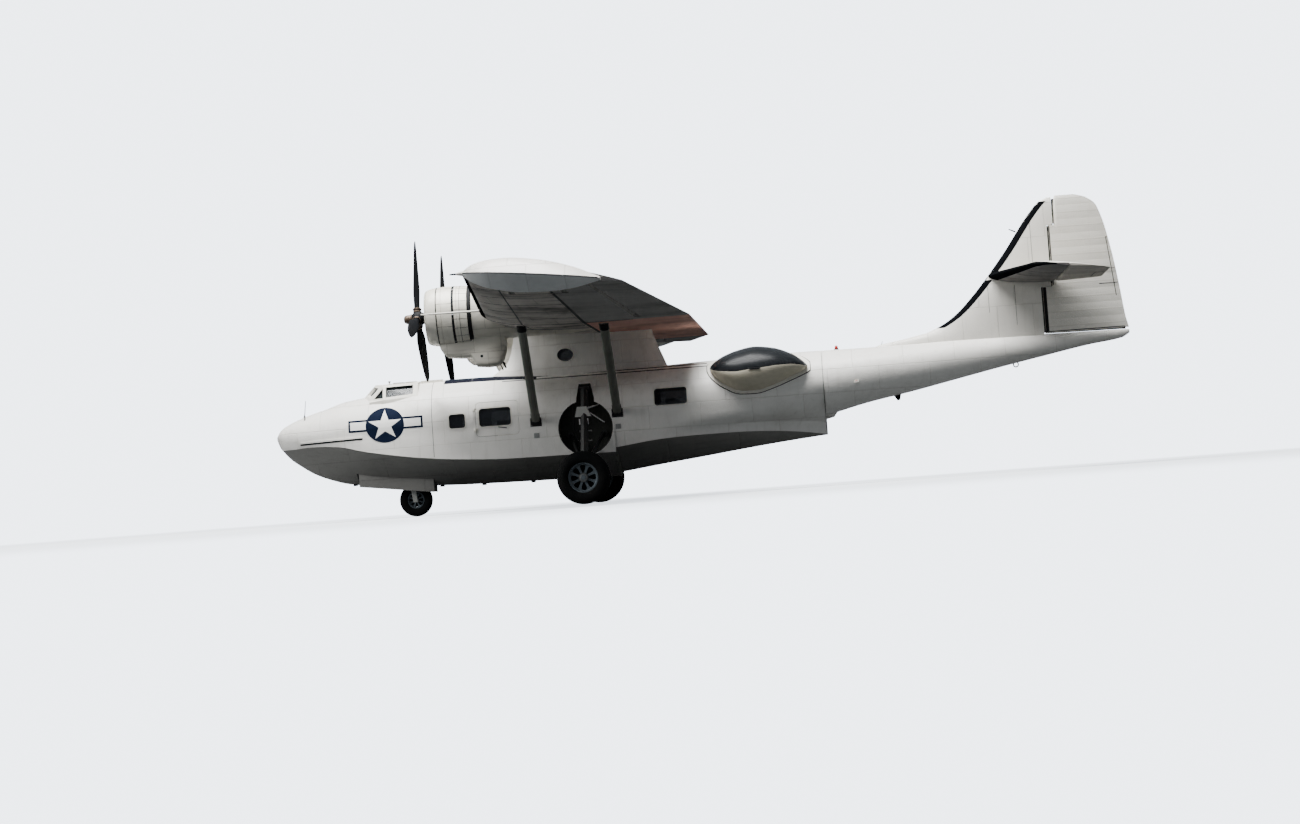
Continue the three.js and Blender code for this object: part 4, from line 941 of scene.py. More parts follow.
FOREBODY = Lines(
    [
        Station(0.000, 1.930, 1.955, 0.050, 0.065, 2.000, 0.070, 2.045),
        Station(0.070, 1.774, 1.805, 0.175, 0.195, 1.960, 0.205, 2.150),
        Station(0.140, 1.665, 1.716, 0.265, 0.290, 1.940, 0.300, 2.215),
        Station(0.300, 1.485, 1.718, 0.420, 0.440, 1.930, 0.450, 2.305),
        Station(0.500, 1.330, 1.722, 0.565, 0.585, 1.925, 0.600, 2.388),
        Station(0.800, 1.130, 1.738, 0.740, 0.755, 1.925, 0.765, 2.487),
        Station(1.150, 0.975, 1.728, 0.905, 0.915, 1.925, 0.920, 2.580),
        Station(1.600, 0.841, 1.680, 1.080, 1.085, 1.930, 1.080, 2.715),
        Station(2.070, 0.779, 1.555, 1.225, 1.220, 1.940, 1.205, 2.785),
        Station(2.800, 0.725, 1.408, 1.380, 1.365, 1.950, 1.340, 2.880),
        Station(3.400, 0.680, 1.308, 1.465, 1.450, 1.960, 1.420, 3.045),
        Station(4.300, 0.640, 1.208, 1.525, 1.510, 1.970, 1.480, 3.050),
        Station(5.400, 0.616, 1.142, 1.550, 1.535, 1.970, 1.510, 3.036),
        Station(6.600, 0.597, 1.128, 1.550, 1.540, 1.960, 1.515, 2.985),
        Station(7.790, 0.571, 1.112, 1.550, 1.540, 1.960, 1.510, 2.985)
    ]
)
AFTERBODY = Lines(
    [
        Station(7.790, 0.660, 1.212, 1.520, 1.520, 1.960, 1.510, 2.985),
        Station(8.900, 0.790, 1.330, 1.400, 1.450, 2.020, 1.460, 3.000),
        Station(9.700, 0.875, 1.355, 1.200, 1.360, 2.080, 1.400, 3.020),
        Station(10.500, 0.966, 1.357, 0.930, 1.220, 2.140, 1.310, 3.040),
        Station(11.200, 1.040, 1.330, 0.620, 1.020, 2.190, 1.210, 3.060),
        Station(11.900, 1.105, 1.265, 0.310, 0.760, 2.240, 1.100, 3.067),
        Station(12.520, 1.155, 1.165, 0.040, 0.430, 2.290, 0.975, 3.060)
    ]
)


class BoomStation(NamedTuple):
    """One station of the tail boom."""

    x: float
    bottom: float
    top: float
    half: float


BOOM = Lines(
    [
        BoomStation(12.52, 1.585, 3.060, 0.975), BoomStation(13.50, 1.812, 3.050, 0.800),
        BoomStation(14.50, 1.985, 3.055, 0.625), BoomStation(15.50, 2.180, 3.075, 0.470),
        BoomStation(16.50, 2.375, 3.070, 0.340), BoomStation(17.50, 2.555, 3.050, 0.240),
        BoomStation(18.50, 2.730, 3.035, 0.150), BoomStation(19.30, 2.840, 3.025, 0.055),
        BoomStation(19.46, 2.940, 3.015, 0.020)
    ]
)


class HullMark(Enum):
    """Finish numbers of the hull's faces."""

    SKIN = 0
    BOTTOM = 1
    BAND = 2
    INSIDE = 3
    WELL = 4


HULL_FINISHES = (Finish.CREAM, Finish.BOTTOM, Finish.DECK_BLUE, Finish.INSIDE, Finish.WELL)


@dataclass
class HullForm:
    """The shape of the hull's cross-sections, shared by its skins and all that is fitted to them."""

    bottom_steps: int = 6
    side_steps: int = 8
    arch_steps: int = 16
    arch_power: float = 0.92
    low_share: float = 0.45
    flare_share: float = 0.22
    flare_x: Pair = (8.5, 11.0)

    def lines_at(self, x: float, fore: bool | None = None) -> Station:
        """Returns the station at x, from the forebody ahead of the main step."""
        fore = x <= STEP_X if fore is None else fore
        return (FOREBODY if fore else AFTERBODY).at(x)

    def half_ring(self, row: Station, inset: float = 0.0) -> list[Pair]:
        """Gives the starboard half of a section from keel to crown.

        Args:
            row: The station.
            inset: Distance inside the skin.

        Returns:
            Half-breadth and height of each point.
        """
        keel, top = row.keel + 1.15 * inset, row.top - inset
        chine_y, chine_z = row.chine_y - inset, row.chine_z + 0.4 * inset
        low_y, waist_y = row.low_y - inset, row.waist_y - inset
        low_z = mix(chine_z, row.waist_z, self.low_share)
        points = [(chine_y * t, mix(keel, chine_z, t)) for t in spread(0, 1, self.bottom_steps + 1)]
        heights, halves = [chine_z, low_z, row.waist_z], [chine_y, low_y, waist_y]
        turn = (row.x - self.flare_x[0]) / (self.flare_x[1] - self.flare_x[0])
        if turn > 0:
            turn = min(turn, 1.0)
            heights.insert(1, mix(chine_z, row.waist_z, self.flare_share))
            halves.insert(1, mix(chine_y, low_y, mix(0.49, 0.12, turn * turn * (3 - 2 * turn))))
        side = Line(heights, halves)
        side.slopes[-1] = 0.0
        points += [(side(z), z) for z in spread(chine_z, row.waist_z, self.side_steps + 1)[1:]]
        for i in range(1, self.arch_steps + 1):
            a = i / self.arch_steps * math.pi / 2
            y = waist_y * max(math.cos(a), 0.0) ** self.arch_power
            points.append((y, mix(row.waist_z, top, math.sin(a) ** self.arch_power)))
        points[-1] = (0.0, top)
        return points

    def ring(self, x: float, inset: float = 0.0, fore: bool = True) -> Ring:
        """Returns the whole section at x, from the keel up the starboard side and down the port side."""
        half = self.half_ring(self.lines_at(x, fore), inset)
        port = [place(x, -y, z) for y, z in reversed(half[1:-1])]
        return [place(x, y, z) for y, z in half] + port

    def mark(self, xs: Sequence[float], band: Pair | None) -> Callable[[int, int], int]:
        """Gives the finish of each face of the skin.

        Args:
            xs: Places of the rings.
            band: Limits of the dark deck band along the hull, if it has one.

        Returns:
            A function of ring and segment.
        """
        total = 2 * (self.bottom_steps + self.side_steps + self.arch_steps)
        edge = self.bottom_steps + self.side_steps + 11

        def pick(ring: int, segment: int) -> int:
            """Returns the finish number of one face."""
            if segment < self.bottom_steps or segment >= total - self.bottom_steps:
                return HullMark.BOTTOM.value
            if band and edge <= segment < total - edge and band[0] <= xs[ring] < band[1]:
                return HullMark.BAND.value
            return HullMark.SKIN.value

        return pick

    def solid(
        self, xs: Sequence[float], inset: float = 0.0, fore: bool = True, mark: Mark = 0, ends: int = 0
    ) -> Piece:
        """Returns a closed solid through the sections at xs."""
        rings = [self.ring(x, inset, fore) for x in xs]
        return Shape().loft(rings, mark, ends).build("hull", *HULL_FINISHES)

    def side_y(self, x: float, z: float) -> float:
        """Gives the half-breadth of the side at a height.

        Args:
            x: Distance aft of the bow.
            z: Height, between chine and crown.

        Returns:
            The half-breadth.
        """
        half = self.half_ring(self.lines_at(x))[self.bottom_steps :]
        for (y0, z0), (y1, z1) in zip(half, half[1:]):
            if z0 <= z <= z1:
                return mix(y0, y1, (z - z0) / max(z1 - z0, 1e-9))
        return half[-1][0] if z > half[-1][1] else half[0][0]

    def on_side(self, x: float, z: float, sign: int, proud: float = 0.0) -> Vector:
        """Returns a point on the side, a little proud of the skin if asked."""
        y = self.side_y(x, z)
        rise = (self.side_y(x, z + 0.02) - self.side_y(x, z - 0.02)) / 0.04
        run = (self.side_y(x + 0.02, z) - self.side_y(x - 0.02, z)) / 0.04
        out = Vector((-run, 1.0, -rise)).normalized() * proud
        return place(x + out.x, sign * (y + out.y), z + out.z)


HULL = HullForm()


def hull_mark(kind: HullMark) -> dict[str, int]:
    """Returns the face and end marks of a tool that leaves one finish behind."""
    return {"mark": kind.value, "ends": kind.value}


def block(x: Sequence[float], y: Sequence[float], z: Sequence[float], mark: int = 0) -> Piece:
    """Makes a block as a tool, from its limits along each axis."""
    return Shape().box(place(x[0], y[0], z[0]), place(x[1], y[1], z[1]), mark).build("tool")


@dataclass(frozen=True)
class Window:
    """A window in the hull's side: its limits and the radius of its corners."""

    name: str
    x: Pair
    z: Pair
    radius: float = 0.06

    def outline(self, grow: float = 0.0) -> list[Pair]:
        """Returns the outline, larger on every side by grow."""
        x = (self.x[0] - grow, self.x[1] + grow)
        z = (self.z[0] - grow, self.z[1] + grow)
        return rounded(x, z, self.radius + grow)


FORWARD_WINDOW = Window("forward_window", (4.10, 4.47), (1.90, 2.22))
HATCH_WINDOW = Window("hatch_window", (4.78, 5.50), (1.89, 2.30), 0.07)
WAIST_WINDOW = Window("waist_window", (8.72, 9.45), (2.07, 2.45))
HATCH = Window("side_hatch", (4.70, 5.67), (1.67, 2.44), 0.09)


def plate(shape: Shape, tops: Ring, unders: Ring, faces: Sequence[Sequence[int]], mark: int = 0) -> Shape:
    """Adds a closed sheet from the points of its two faces.

    Args:
        shape: The shape to add to.
        tops: Points of the outer face.
        unders: The matching points of the inner face.
        faces: Corners of the outer face's facets.
        mark: Finish number.

    Returns:
        The shape.
    """
    first, count = len(shape.points), len(tops)
    shape.points.extend([*tops, *unders])
    edges = {(f[i], f[(i + 1) % len(f)]) for f in faces for i in range(len(f))}
    for corners in faces:
        shape.face([first + c for c in corners], mark)
        shape.face([first + count + c for c in reversed(corners)], mark)
    for a, b in edges:
        if (b, a) not in edges:
            shape.face([first + b, first + a, first + count + a, first + count + b], mark)
    return shape


def side_plate(
    shape: Shape, flat: Outline, faces: Sequence[Sequence[int]], sign: int, proud: Pair, mark: int = 0
) -> Shape:
    """Adds a sheet that follows the hull's side.

    Args:
        shape: The shape to add to.
        flat: Its points in the side view.
        faces: Its facets.
        sign: 1 for starboard, -1 for port.
        proud: Distances of its inner and outer face from the skin.
        mark: Finish number.

    Returns:
        The shape.
    """
    tops = [HULL.on_side(x, z, sign, proud[1]) for x, z in flat]
    unders = [HULL.on_side(x, z, sign, proud[0]) for x, z in flat]
    return plate(shape, tops, unders, faces, mark)


def grid_cells(x: Sequence[float], z: Sequence[float]) -> Cells:
    """Divides a rectangle in the side view into facets, from the places of its lines each way."""
    points = [(a, b) for a in x for b in z]
    step = len(z)
    faces = [
        (i * step + j, i * step + j + 1, (i + 1) * step + j + 1, (i + 1) * step + j)
        for i in range(len(x) - 1) for j in range(step - 1)
    ]
    return points, faces


def outline_cells(outline: Outline, rows: int = 6) -> Cells:
    """Divides a convex outline into facets drawn towards its middle."""
    middle = (sum(p[0] for p in outline) / len(outline), sum(p[1] for p in outline) / len(outline))
    points = [
        (mix(middle[0], x, t), mix(middle[1], z, t)) for t in spread(0.0, 1.0, rows)[1:] for x, z in outline
    ]
    count = len(outline)
    faces = [
        (r * count + i, r * count + (i + 1) % count, (r + 1) * count + (i + 1) % count, (r + 1) * count + i)
        for r in range(rows - 2) for i in range(count)
    ]
    points.append(middle)
    faces += [(i, len(points) - 1, (i + 1) % count) for i in range(count)]
    return points, faces


@dataclass
class Blister:
    """A teardrop observation blister on each side of the after hull."""

    axis_y: float = 0.9
    wall: float = 0.016
    segments: int = 48
    rows: Rows = (
        (9.990, 2.790, 2.830, 0.100), (10.020, 2.700, 2.880, 0.300), (10.100, 2.560, 2.950, 0.480),
        (10.300, 2.360, 3.070, 0.660), (10.670, 2.190, 3.190, 0.800), (11.000, 2.200, 3.240, 0.850),
        (11.400, 2.320, 3.190, 0.800), (11.800, 2.490, 3.040, 0.640), (12.080, 2.620, 2.840, 0.400),
        (12.170, 2.680, 2.740, 0.200)
    )

    def rings(self, sign: int, grow: float) -> list[Ring]:
        """Returns its sections, larger all round by grow."""
        keys, lows, highs, outs = (list(c) for c in zip(*self.rows))
        low, high, out = Line(keys, lows), Line(keys, highs), Line(keys, outs)
        middle, half = (keys[0] + keys[-1]) / 2, (keys[-1] - keys[0]) / 2
        stops = [middle - half * math.cos(math.pi * t) for t in spread(0.0, 1.0, 33)]
        rings = []
        for x in stops:
            z, rise = (low(x) + high(x)) / 2, max((high(x) - low(x)) / 2 + grow, 0.004)
            moved = middle + (x - middle) * (half + grow) / half
            reach = max(out(x) + grow, 0.004)
            turns = [(self.axis_y + reach * math.cos(a), math.sin(a)) for a in angles(self.segments)]
            rings.append([place(moved, sign * y, z + rise * up) for y, up in turns])
        return rings

    def solid(self, sign: int, grow: float, mark: Mark = 0) -> Piece:
        """Returns it as a closed solid."""
        return Shape().loft(self.rings(sign, grow), mark, 0).build("blister")


BLISTER = Blister()


@dataclass
class HullShell:
    """The hull's three shells, the side hatch and the tail boom, hollow as the real ones are."""

    bulkhead_x: float = 3.72
    step_x: float = STEP_X
    stern_x: float = 12.52
    wall: float = 0.06
    door_half: float = 0.38
    door_z: Pair = (1.08, 2.60)
    bay_x: Pair = (1.80, 3.55)
    bay_half: float = 0.36
    bay_top: float = 1.69
    band_x: Pair = (3.90, 6.00)
    well_rows: tuple[float, float, float, float] = (7.15, 1.70, 0.61, 1.05)
    slot: Pairs = (
        (6.960, 2.200), (6.985, 2.400), (7.040, 2.690), (7.300, 2.690), (7.380, 2.350), (7.380, 2.200)
    )

    def doorway(self, x: float) -> Piece:
        """Makes the tool for a doorway in a bulkhead."""
        half = self.door_half
        return block((x - 0.12, x + 0.12), (-half, half), self.door_z, HullMark.INSIDE.value)

    def well(self, sign: int, grow: float) -> list[Piece]:
        """Makes the tools for one wheel well and the slot above it, larger by grow all round."""
        x, z, radius, back = self.well_rows
        dark = HullMark.WELL.value
        near, far = sign * (back - grow), sign * 1.8
        rings = [circle(place(x, y, z), STARBOARD, radius + grow, 48) for y in (near, far)]
        drum = Shape().loft(rings, dark, dark)
        middle = (7.17, 2.44)
        wide = [
            (px + math.copysign(grow, px - middle[0]), pz + math.copysign(grow, pz - middle[1]))
            for px, pz in self.slot
        ]
        return [drum.build("tool"), prism(wide, near, far, dark)]

    def bay(self, grow: float) -> Piece:
        """Makes the tool for the nose wheel's bay, larger by grow all round."""
        x = (self.bay_x[0] - grow, self.bay_x[1] + grow)
        half = self.bay_half + grow
        return block(x, (-half, half), (0.3, self.bay_top + grow), HullMark.WELL.value)

    def bow(self) -> Piece:
        """Builds the bow shell.

        Returns:
            The piece.
        """
        xs = [self.bulkhead_x * t**1.7 for t in spread(0.0, 1.0, 44)]
        shell = HULL.solid(xs, mark=HULL.mark(xs, None), ends=HullMark.INSIDE.value)
        room = HULL.solid(
            spread(0.42, self.bulkhead_x - self.wall, 30), self.wall, **hull_mark(HullMark.INSIDE)
        )
        carve(room, [self.bay(0.05)])
        cockpit = canopy_solid(0.065, HullMark.INSIDE.value)
        rim = canopy_solid(-TOUCH, HullMark.SKIN.value)
        carve(rim, [block((2.5, 3.4004), (-1.2, 1.2), (2.5, 3.3))], Cut.COMMON)
        carve(shell, [room, self.doorway(self.bulkhead_x), self.bay(0.0), cockpit, rim])
        return shell

    def midship(self) -> Piece:
        """Builds the middle shell with its wheel wells and windows.

        Returns:
            The piece.
        """
        xs = spread(self.bulkhead_x + TOUCH, self.step_x, 34)
        shell = HULL.solid(xs, mark=HULL.mark(xs, self.band_x), ends=HullMark.INSIDE.value)
        ends = spread(self.bulkhead_x + self.wall, self.step_x - self.wall, 24)
        room = HULL.solid(ends, self.wall, **hull_mark(HullMark.INSIDE))
        for sign in SIDES.values():
            carve(room, self.well(sign, 0.045))
        tools = [room, self.doorway(self.bulkhead_x), self.doorway(self.step_x)]
        tools.append(block((6.15, 6.90), (-0.3, 0.3), (2.7, 3.2), HullMark.INSIDE.value))
        for sign in SIDES.values():
            tools += [*self.well(sign, 0.0), prism(FORWARD_WINDOW.outline(), sign * 1.0, sign * 1.9)]
        tools.append(prism(HATCH_WINDOW.outline(), 1.0, 1.9))
        tools.append(prism(HATCH.outline(), -1.9, -1.0))
        return carve(shell, tools)

    def hatch(self) -> Piece:
        """Builds the port side's hatch from the same skin.

        Returns:
            The piece.
        """
        xs = spread(4.5, 5.9, 14)
        door = HULL.solid(xs, mark=HULL.mark(xs, None))
        room = HULL.solid(spread(4.4, 6.0, 14), self.wall, **hull_mark(HullMark.INSIDE))
        carve(door, [prism(HATCH.outline(-RUNNING), -1.9, -1.0)], Cut.COMMON)
        return carve(door, [room, prism(HATCH_WINDOW.outline(), -1.9, -1.0)])

    def after(self) -> Piece:
        """Builds the after shell with the blisters' openings.

        Returns:
            The piece.
        """
        xs = spread(self.step_x + TOUCH, self.stern_x, 38)
        shell = HULL.solid(xs, fore=False, mark=HULL.mark(xs, None), ends=HullMark.BOTTOM.value)
        room = HULL.solid(
            spread(self.step_x + self.wall, 11.9, 28), self.wall, False, **hull_mark(HullMark.INSIDE)
        )
        tools = [room, self.doorway(self.step_x)]
        tools.append(block((11.7, 12.7), (-0.33, 0.33), (1.9, 2.75), HullMark.INSIDE.value))
        for sign in SIDES.values():
            tools.append(BLISTER.solid(sign, -0.06, HullMark.INSIDE.value))
            tools.append(prism(WAIST_WINDOW.outline(), sign * 1.0, sign * 1.9))
        return carve(shell, tools)

    def boom(self) -> Piece:
        """Builds the tail boom.

        Returns:
            The piece.
        """
        xs = [*spread(self.stern_x + TOUCH, 19.3, 40), 19.4, 19.46]
        rings = [self.boom_ring(x, 0.0) for x in xs]
        shell = Shape().loft(rings, 0, HullMark.BOTTOM.value).build("boom", *HULL_FINISHES)
        hollow = [self.boom_ring(x, 0.05) for x in spread(self.stern_x - 0.1, 17.0, 24)]
        return carve(
            shell, [Shape().loft(hollow, HullMark.INSIDE.value, HullMark.INSIDE.value).build("tool")]
        )

    def boom_ring(self, x: float, inset: float) -> Ring:
        """Returns a section of the boom."""
        row = BOOM.at(x)
        middle, rise = (row.top + row.bottom) / 2, (row.top - row.bottom) / 2 - inset
        half = row.half - inset
        return [place(x, half * math.cos(a), middle + rise * math.sin(a)) for a in angles(48)]

    def build(self) -> None:
        """Builds the shells and fits them."""
        made = {
            "hull_bow": (self.bow, AIRFRAME), "hull_midship": (self.midship, AIRFRAME),
            "hull_aft": (self.after, AIRFRAME), "tail_boom": (self.boom, AIRFRAME),
            "side_hatch": (self.hatch, "side_hatch")
        }
        for node, (make, body) in made.items():
            piece = make()
            piece.name = piece.data.name = f"{node}_skin"
            fit(piece, body, [node])


CANOPY = (
    ((2.27, 0.88, 2.40), (2.27, 0.87, 2.64), (2.24, 0.70, 2.69), (2.12, 0.40, 2.755), (2.06, 0.0, 2.785)),
    ((2.60, 0.98, 2.40), (2.60, 0.97, 2.67), (2.59, 0.76, 2.995), (2.40, 0.40, 3.035), (2.33, 0.0, 3.052)),
    ((3.40, 1.12, 2.40), (3.40, 1.085, 2.70), (3.40, 0.86, 3.00), (3.40, 0.45, 3.045), (3.40, 0.0, 3.06))
)
CANOPY_MIDDLE = Vector((2.9, 0.0, 2.5))
CANOPY_HALF = Vector((0.7, 0.95, 0.5))


def canopy_solid(inset: float, mark: int = 0) -> Piece:
    """Makes the canopy's solid, drawn in on all sides by inset."""
    shrink = [1 - inset / half for half in CANOPY_HALF]

    def put(p: tuple[float, float, float], sign: int) -> Vector:
        """Returns one point of the canopy, drawn in."""
        x = mix(CANOPY_MIDDLE.x, p[0], shrink[0])
        return place(x, sign * p[1] * shrink[1], mix(CANOPY_MIDDLE.z, p[2], shrink[2]))

    rings = [[put(p, 1) for p in ring] + [put(p, -1) for p in reversed(ring[:-1])] for ring in CANOPY]
    return Shape().loft(rings, mark, mark).build("canopy")


@dataclass
class BlisterGlazing:
    """The blisters' glass, lower linings and rims."""

    rim: float = 0.06
    rim_rise: float = 0.03

    def hull_tool(self, grow: float) -> Piece:
        """Makes the after hull as a tool, larger by grow."""
        return HULL.solid(spread(9.0, 12.6, 30), -grow, False)

    def build(self) -> None:
        """Builds both blisters."""
        half = BLISTER.segments // 2
        for name, sign in SIDES.items():
            shell = Shape().loft(BLISTER.rings(sign, 0.0), lambda r, s: int(s >= half), 0)
            dome = shell.build(f"blister_{name}", Finish.BLISTER, Finish.LINING)
            carve(dome, [BLISTER.solid(sign, -BLISTER.wall), self.hull_tool(TOUCH)])
            fit(dome, AIRFRAME, [f"blister_glass_{name}"])
            latch = Shape().side_box(sign, (10.90, 11.10), (1.73, 1.766), (2.70, 2.75))
            latch.rod(place(10.86, sign * 1.758, 2.725), place(11.14, sign * 1.758, 2.725), 0.012)
            fit(latch.build(f"blister_latch_{name}", Finish.FITTING))
            for part, rim, rise, finish in (
                ("rim", self.rim, self.rim_rise, Finish.FRAME),
                ("seal", self.rim + 0.014, 0.005, Finish.FITTING)
            ):
                ring = Shape().loft(BLISTER.rings(sign, rim), 0, 0).build(f"blister_{part}_{name}", finish)
                carve(ring, [self.hull_tool(rise)], Cut.COMMON)
                carve(ring, [BLISTER.solid(sign, TOUCH), self.hull_tool(TOUCH)])
                fit(ring, AIRFRAME, [f"blister_frame_{name}"] if part == "rim" else [])


# Flying surfaces


class Section(NamedTuple):
    """One section of a flying surface: its edges, and thickness and camber as shares of the chord."""

    span: float
    lead_x: float
    lead_z: float
    trail_x: float
    trail_z: float
    thick: float
    camber: float


@dataclass
class FoilForm:
    """The shape of a flying surface, flat or upright."""

    rows: Sequence[Section]
    upright: bool = False
    straight: bool = True
    steps: int = 18

    def __post_init__(self) -> None:
        """Makes the lines along the span."""
        self.lines = Lines(self.rows)
        if self.straight:
            self.lines.straighten()

    def point(self, span: float, u: float, side: int, grow: float = 0.0, sign: int = 1) -> Vector:
        """Gives a point of the skin.

        Args:
            span: Distance along the span.
            u: Share of the chord.
            side: 1 for the upper or starboard face, -1 for the other.
            grow: Distance outside the skin.
            sign: 1 for the starboard surface, -1 for the port one.

        Returns:
            The point.
        """
        row = self.lines.at(span)
        run, rise = row.trail_x - row.lead_x, row.trail_z - row.lead_z
        chord = math.hypot(run, rise)
        curve = 0.2969 * math.sqrt(u) - 0.126 * u - 0.3516 * u**2 + 0.2843 * u**3 - 0.1015 * u**4
        height = chord * 4 * row.camber * u * (1 - u) + side * (5 * chord * row.thick * curve + grow)
        along = u * chord - (grow if u < 0.001 else 0.0)
        x = row.lead_x + (along * run - height * rise) / chord
        z = row.lead_z + (along * rise + height * run) / chord
        return place(x, z, span) if self.upright else place(x, sign * span, z)

    def share_at(self, span: float, x: float) -> float:
        """Returns the share of the chord at which a section crosses an x."""
        row = self.lines.at(span)
        return (x - row.lead_x) / (row.trail_x - row.lead_x)

    def crossing(self, x: float) -> Callable[[float], float]:
        """Returns the function that gives share_at for one x at any span."""
        return lambda span: self.share_at(span, x)

    def core(self, span: float, u: float, sign: int = 1) -> tuple[Vector, float]:
        """Returns the middle of a section at a share of the chord, and the half-thickness there."""
        upper, lower = (self.point(span, u, side, 0.0, sign) for side in (1, -1))
        return (upper + lower) / 2, (upper - lower).length / 2

    def loop(self, span: float, start: float, end: float, grow: float, sign: int) -> Ring:
        """Returns a section between two shares of the chord."""
        power = 1.8 if start == 0 else 1.0
        shares = [mix(start, end, t**power) for t in spread(0.0, 1.0, self.steps + 1)]
        upper = [self.point(span, u, 1, grow, sign) for u in shares]
        lower = [self.point(span, u, -1, grow, sign) for u in reversed(shares)]
        return upper + (lower[:-1] if start == 0 else lower)

    def add(
        self, shape: Shape, spans: Sequence[float], start: Limit, end: Limit, grow: float = 0.0,
        sign: int = 1, boot: int = 0, booted: Outline = ((-99.0, 99.0),)
    ) -> Shape:
        """Adds a stretch of the surface.

        Args:
            shape: The shape to add to; marks are 0 above, 1 below and 2 for the leading-edge boot.
            spans: Places of the sections.
            start: Share of the chord where it begins, or a function of the span.
            end: Share where it ends, or a function of the span.
            grow: Distance outside the skin.
            sign: 1 for the starboard surface, -1 for the port one.
            boot: Facets of boot on each side of the leading edge.
            booted: Stretches of the span that have the boot.

        Returns:
            The shape.
        """
        rings = [self.loop(s, share_of(start, s), share_of(end, s), grow, sign) for s in spans]
        count = len(rings[0])

        def mark(ring: int, segment: int) -> int:
            """Returns the finish number of one face."""
            held = boot and any(low <= spans[ring] < high for low, high in booted)
            if held and (segment < boot or segment >= count - boot):
                return 2
            return 0 if segment < self.steps else 1

        return shape.loft(rings, mark, 1)

    def flap(
        self, shape: Shape, spans: Sequence[float], hinge: Callable[[float], float], sign: int = 1
    ) -> Shape:
        """Adds a moving surface with a round nose about its hinge line."""
        up = STARBOARD if self.upright else UP
        rings = []
        for span in spans:
            middle, half = self.core(span, hinge(span), sign)
            nose = []
            for degrees in range(-75, 76, 15):
                a = math.radians(degrees)
                nose.append(middle - Vector((half * math.cos(a), 0, 0)) + up * (half * math.sin(a)))
            shares = [mix(hinge(span), 1.0, t) for t in spread(0.0, 1.0, 9)]
            upper = [self.point(span, u, 1, 0.0, sign) for u in shares]
            lower = [self.point(span, u, -1, 0.0, sign) for u in reversed(shares)]
            rings.append(nose + upper + lower)
        total = len(rings[0])
        return shape.loft(rings, lambda r, s: 0 if 6 <= s < total - 9 else 1, 1)


WING = FoilForm(
    (
        Section(0.000, 5.375, 4.254, 9.800, 3.855, 0.155, 0.02),
        Section(5.490, 5.375, 4.254, 9.800, 3.855, 0.155, 0.02),
        Section(14.950, 6.030, 4.445, 8.980, 4.118, 0.130, 0.02)
    )
)
TAILPLANE = FoilForm(
    (
        Section(0.000, 16.380, 4.450, 18.900, 4.230, 0.11, 0.0),
        Section(4.200, 17.130, 4.420, 18.800, 4.220, 0.10, 0.0),
        Section(4.560, 17.350, 4.400, 18.640, 4.240, 0.08, 0.0),
        Section(4.650, 17.640, 4.370, 18.440, 4.270, 0.06, 0.0)
    )
)
FIN = FoilForm(
    (
        Section(2.900, 13.500, 0.0, 19.460, 0.0, 0.055, 0.0),
        Section(3.050, 13.700, 0.0, 19.460, 0.0, 0.055, 0.0),
        Section(3.265, 14.890, 0.0, 19.410, 0.0, 0.065, 0.0),
        Section(3.550, 15.480, 0.0, 19.370, 0.0, 0.072, 0.0),
        Section(3.980, 15.960, 0.0, 19.320, 0.0, 0.078, 0.0),
        Section(4.858, 16.710, 0.0, 19.190, 0.0, 0.085, 0.0),
        Section(5.870, 17.470, 0.0, 18.930, 0.0, 0.090, 0.0),
        Section(6.080, 17.700, 0.0, 18.680, 0.0, 0.080, 0.0),
        Section(6.150, 17.960, 0.0, 18.440, 0.0, 0.060, 0.0)
    ),
    upright=True, straight=False
)


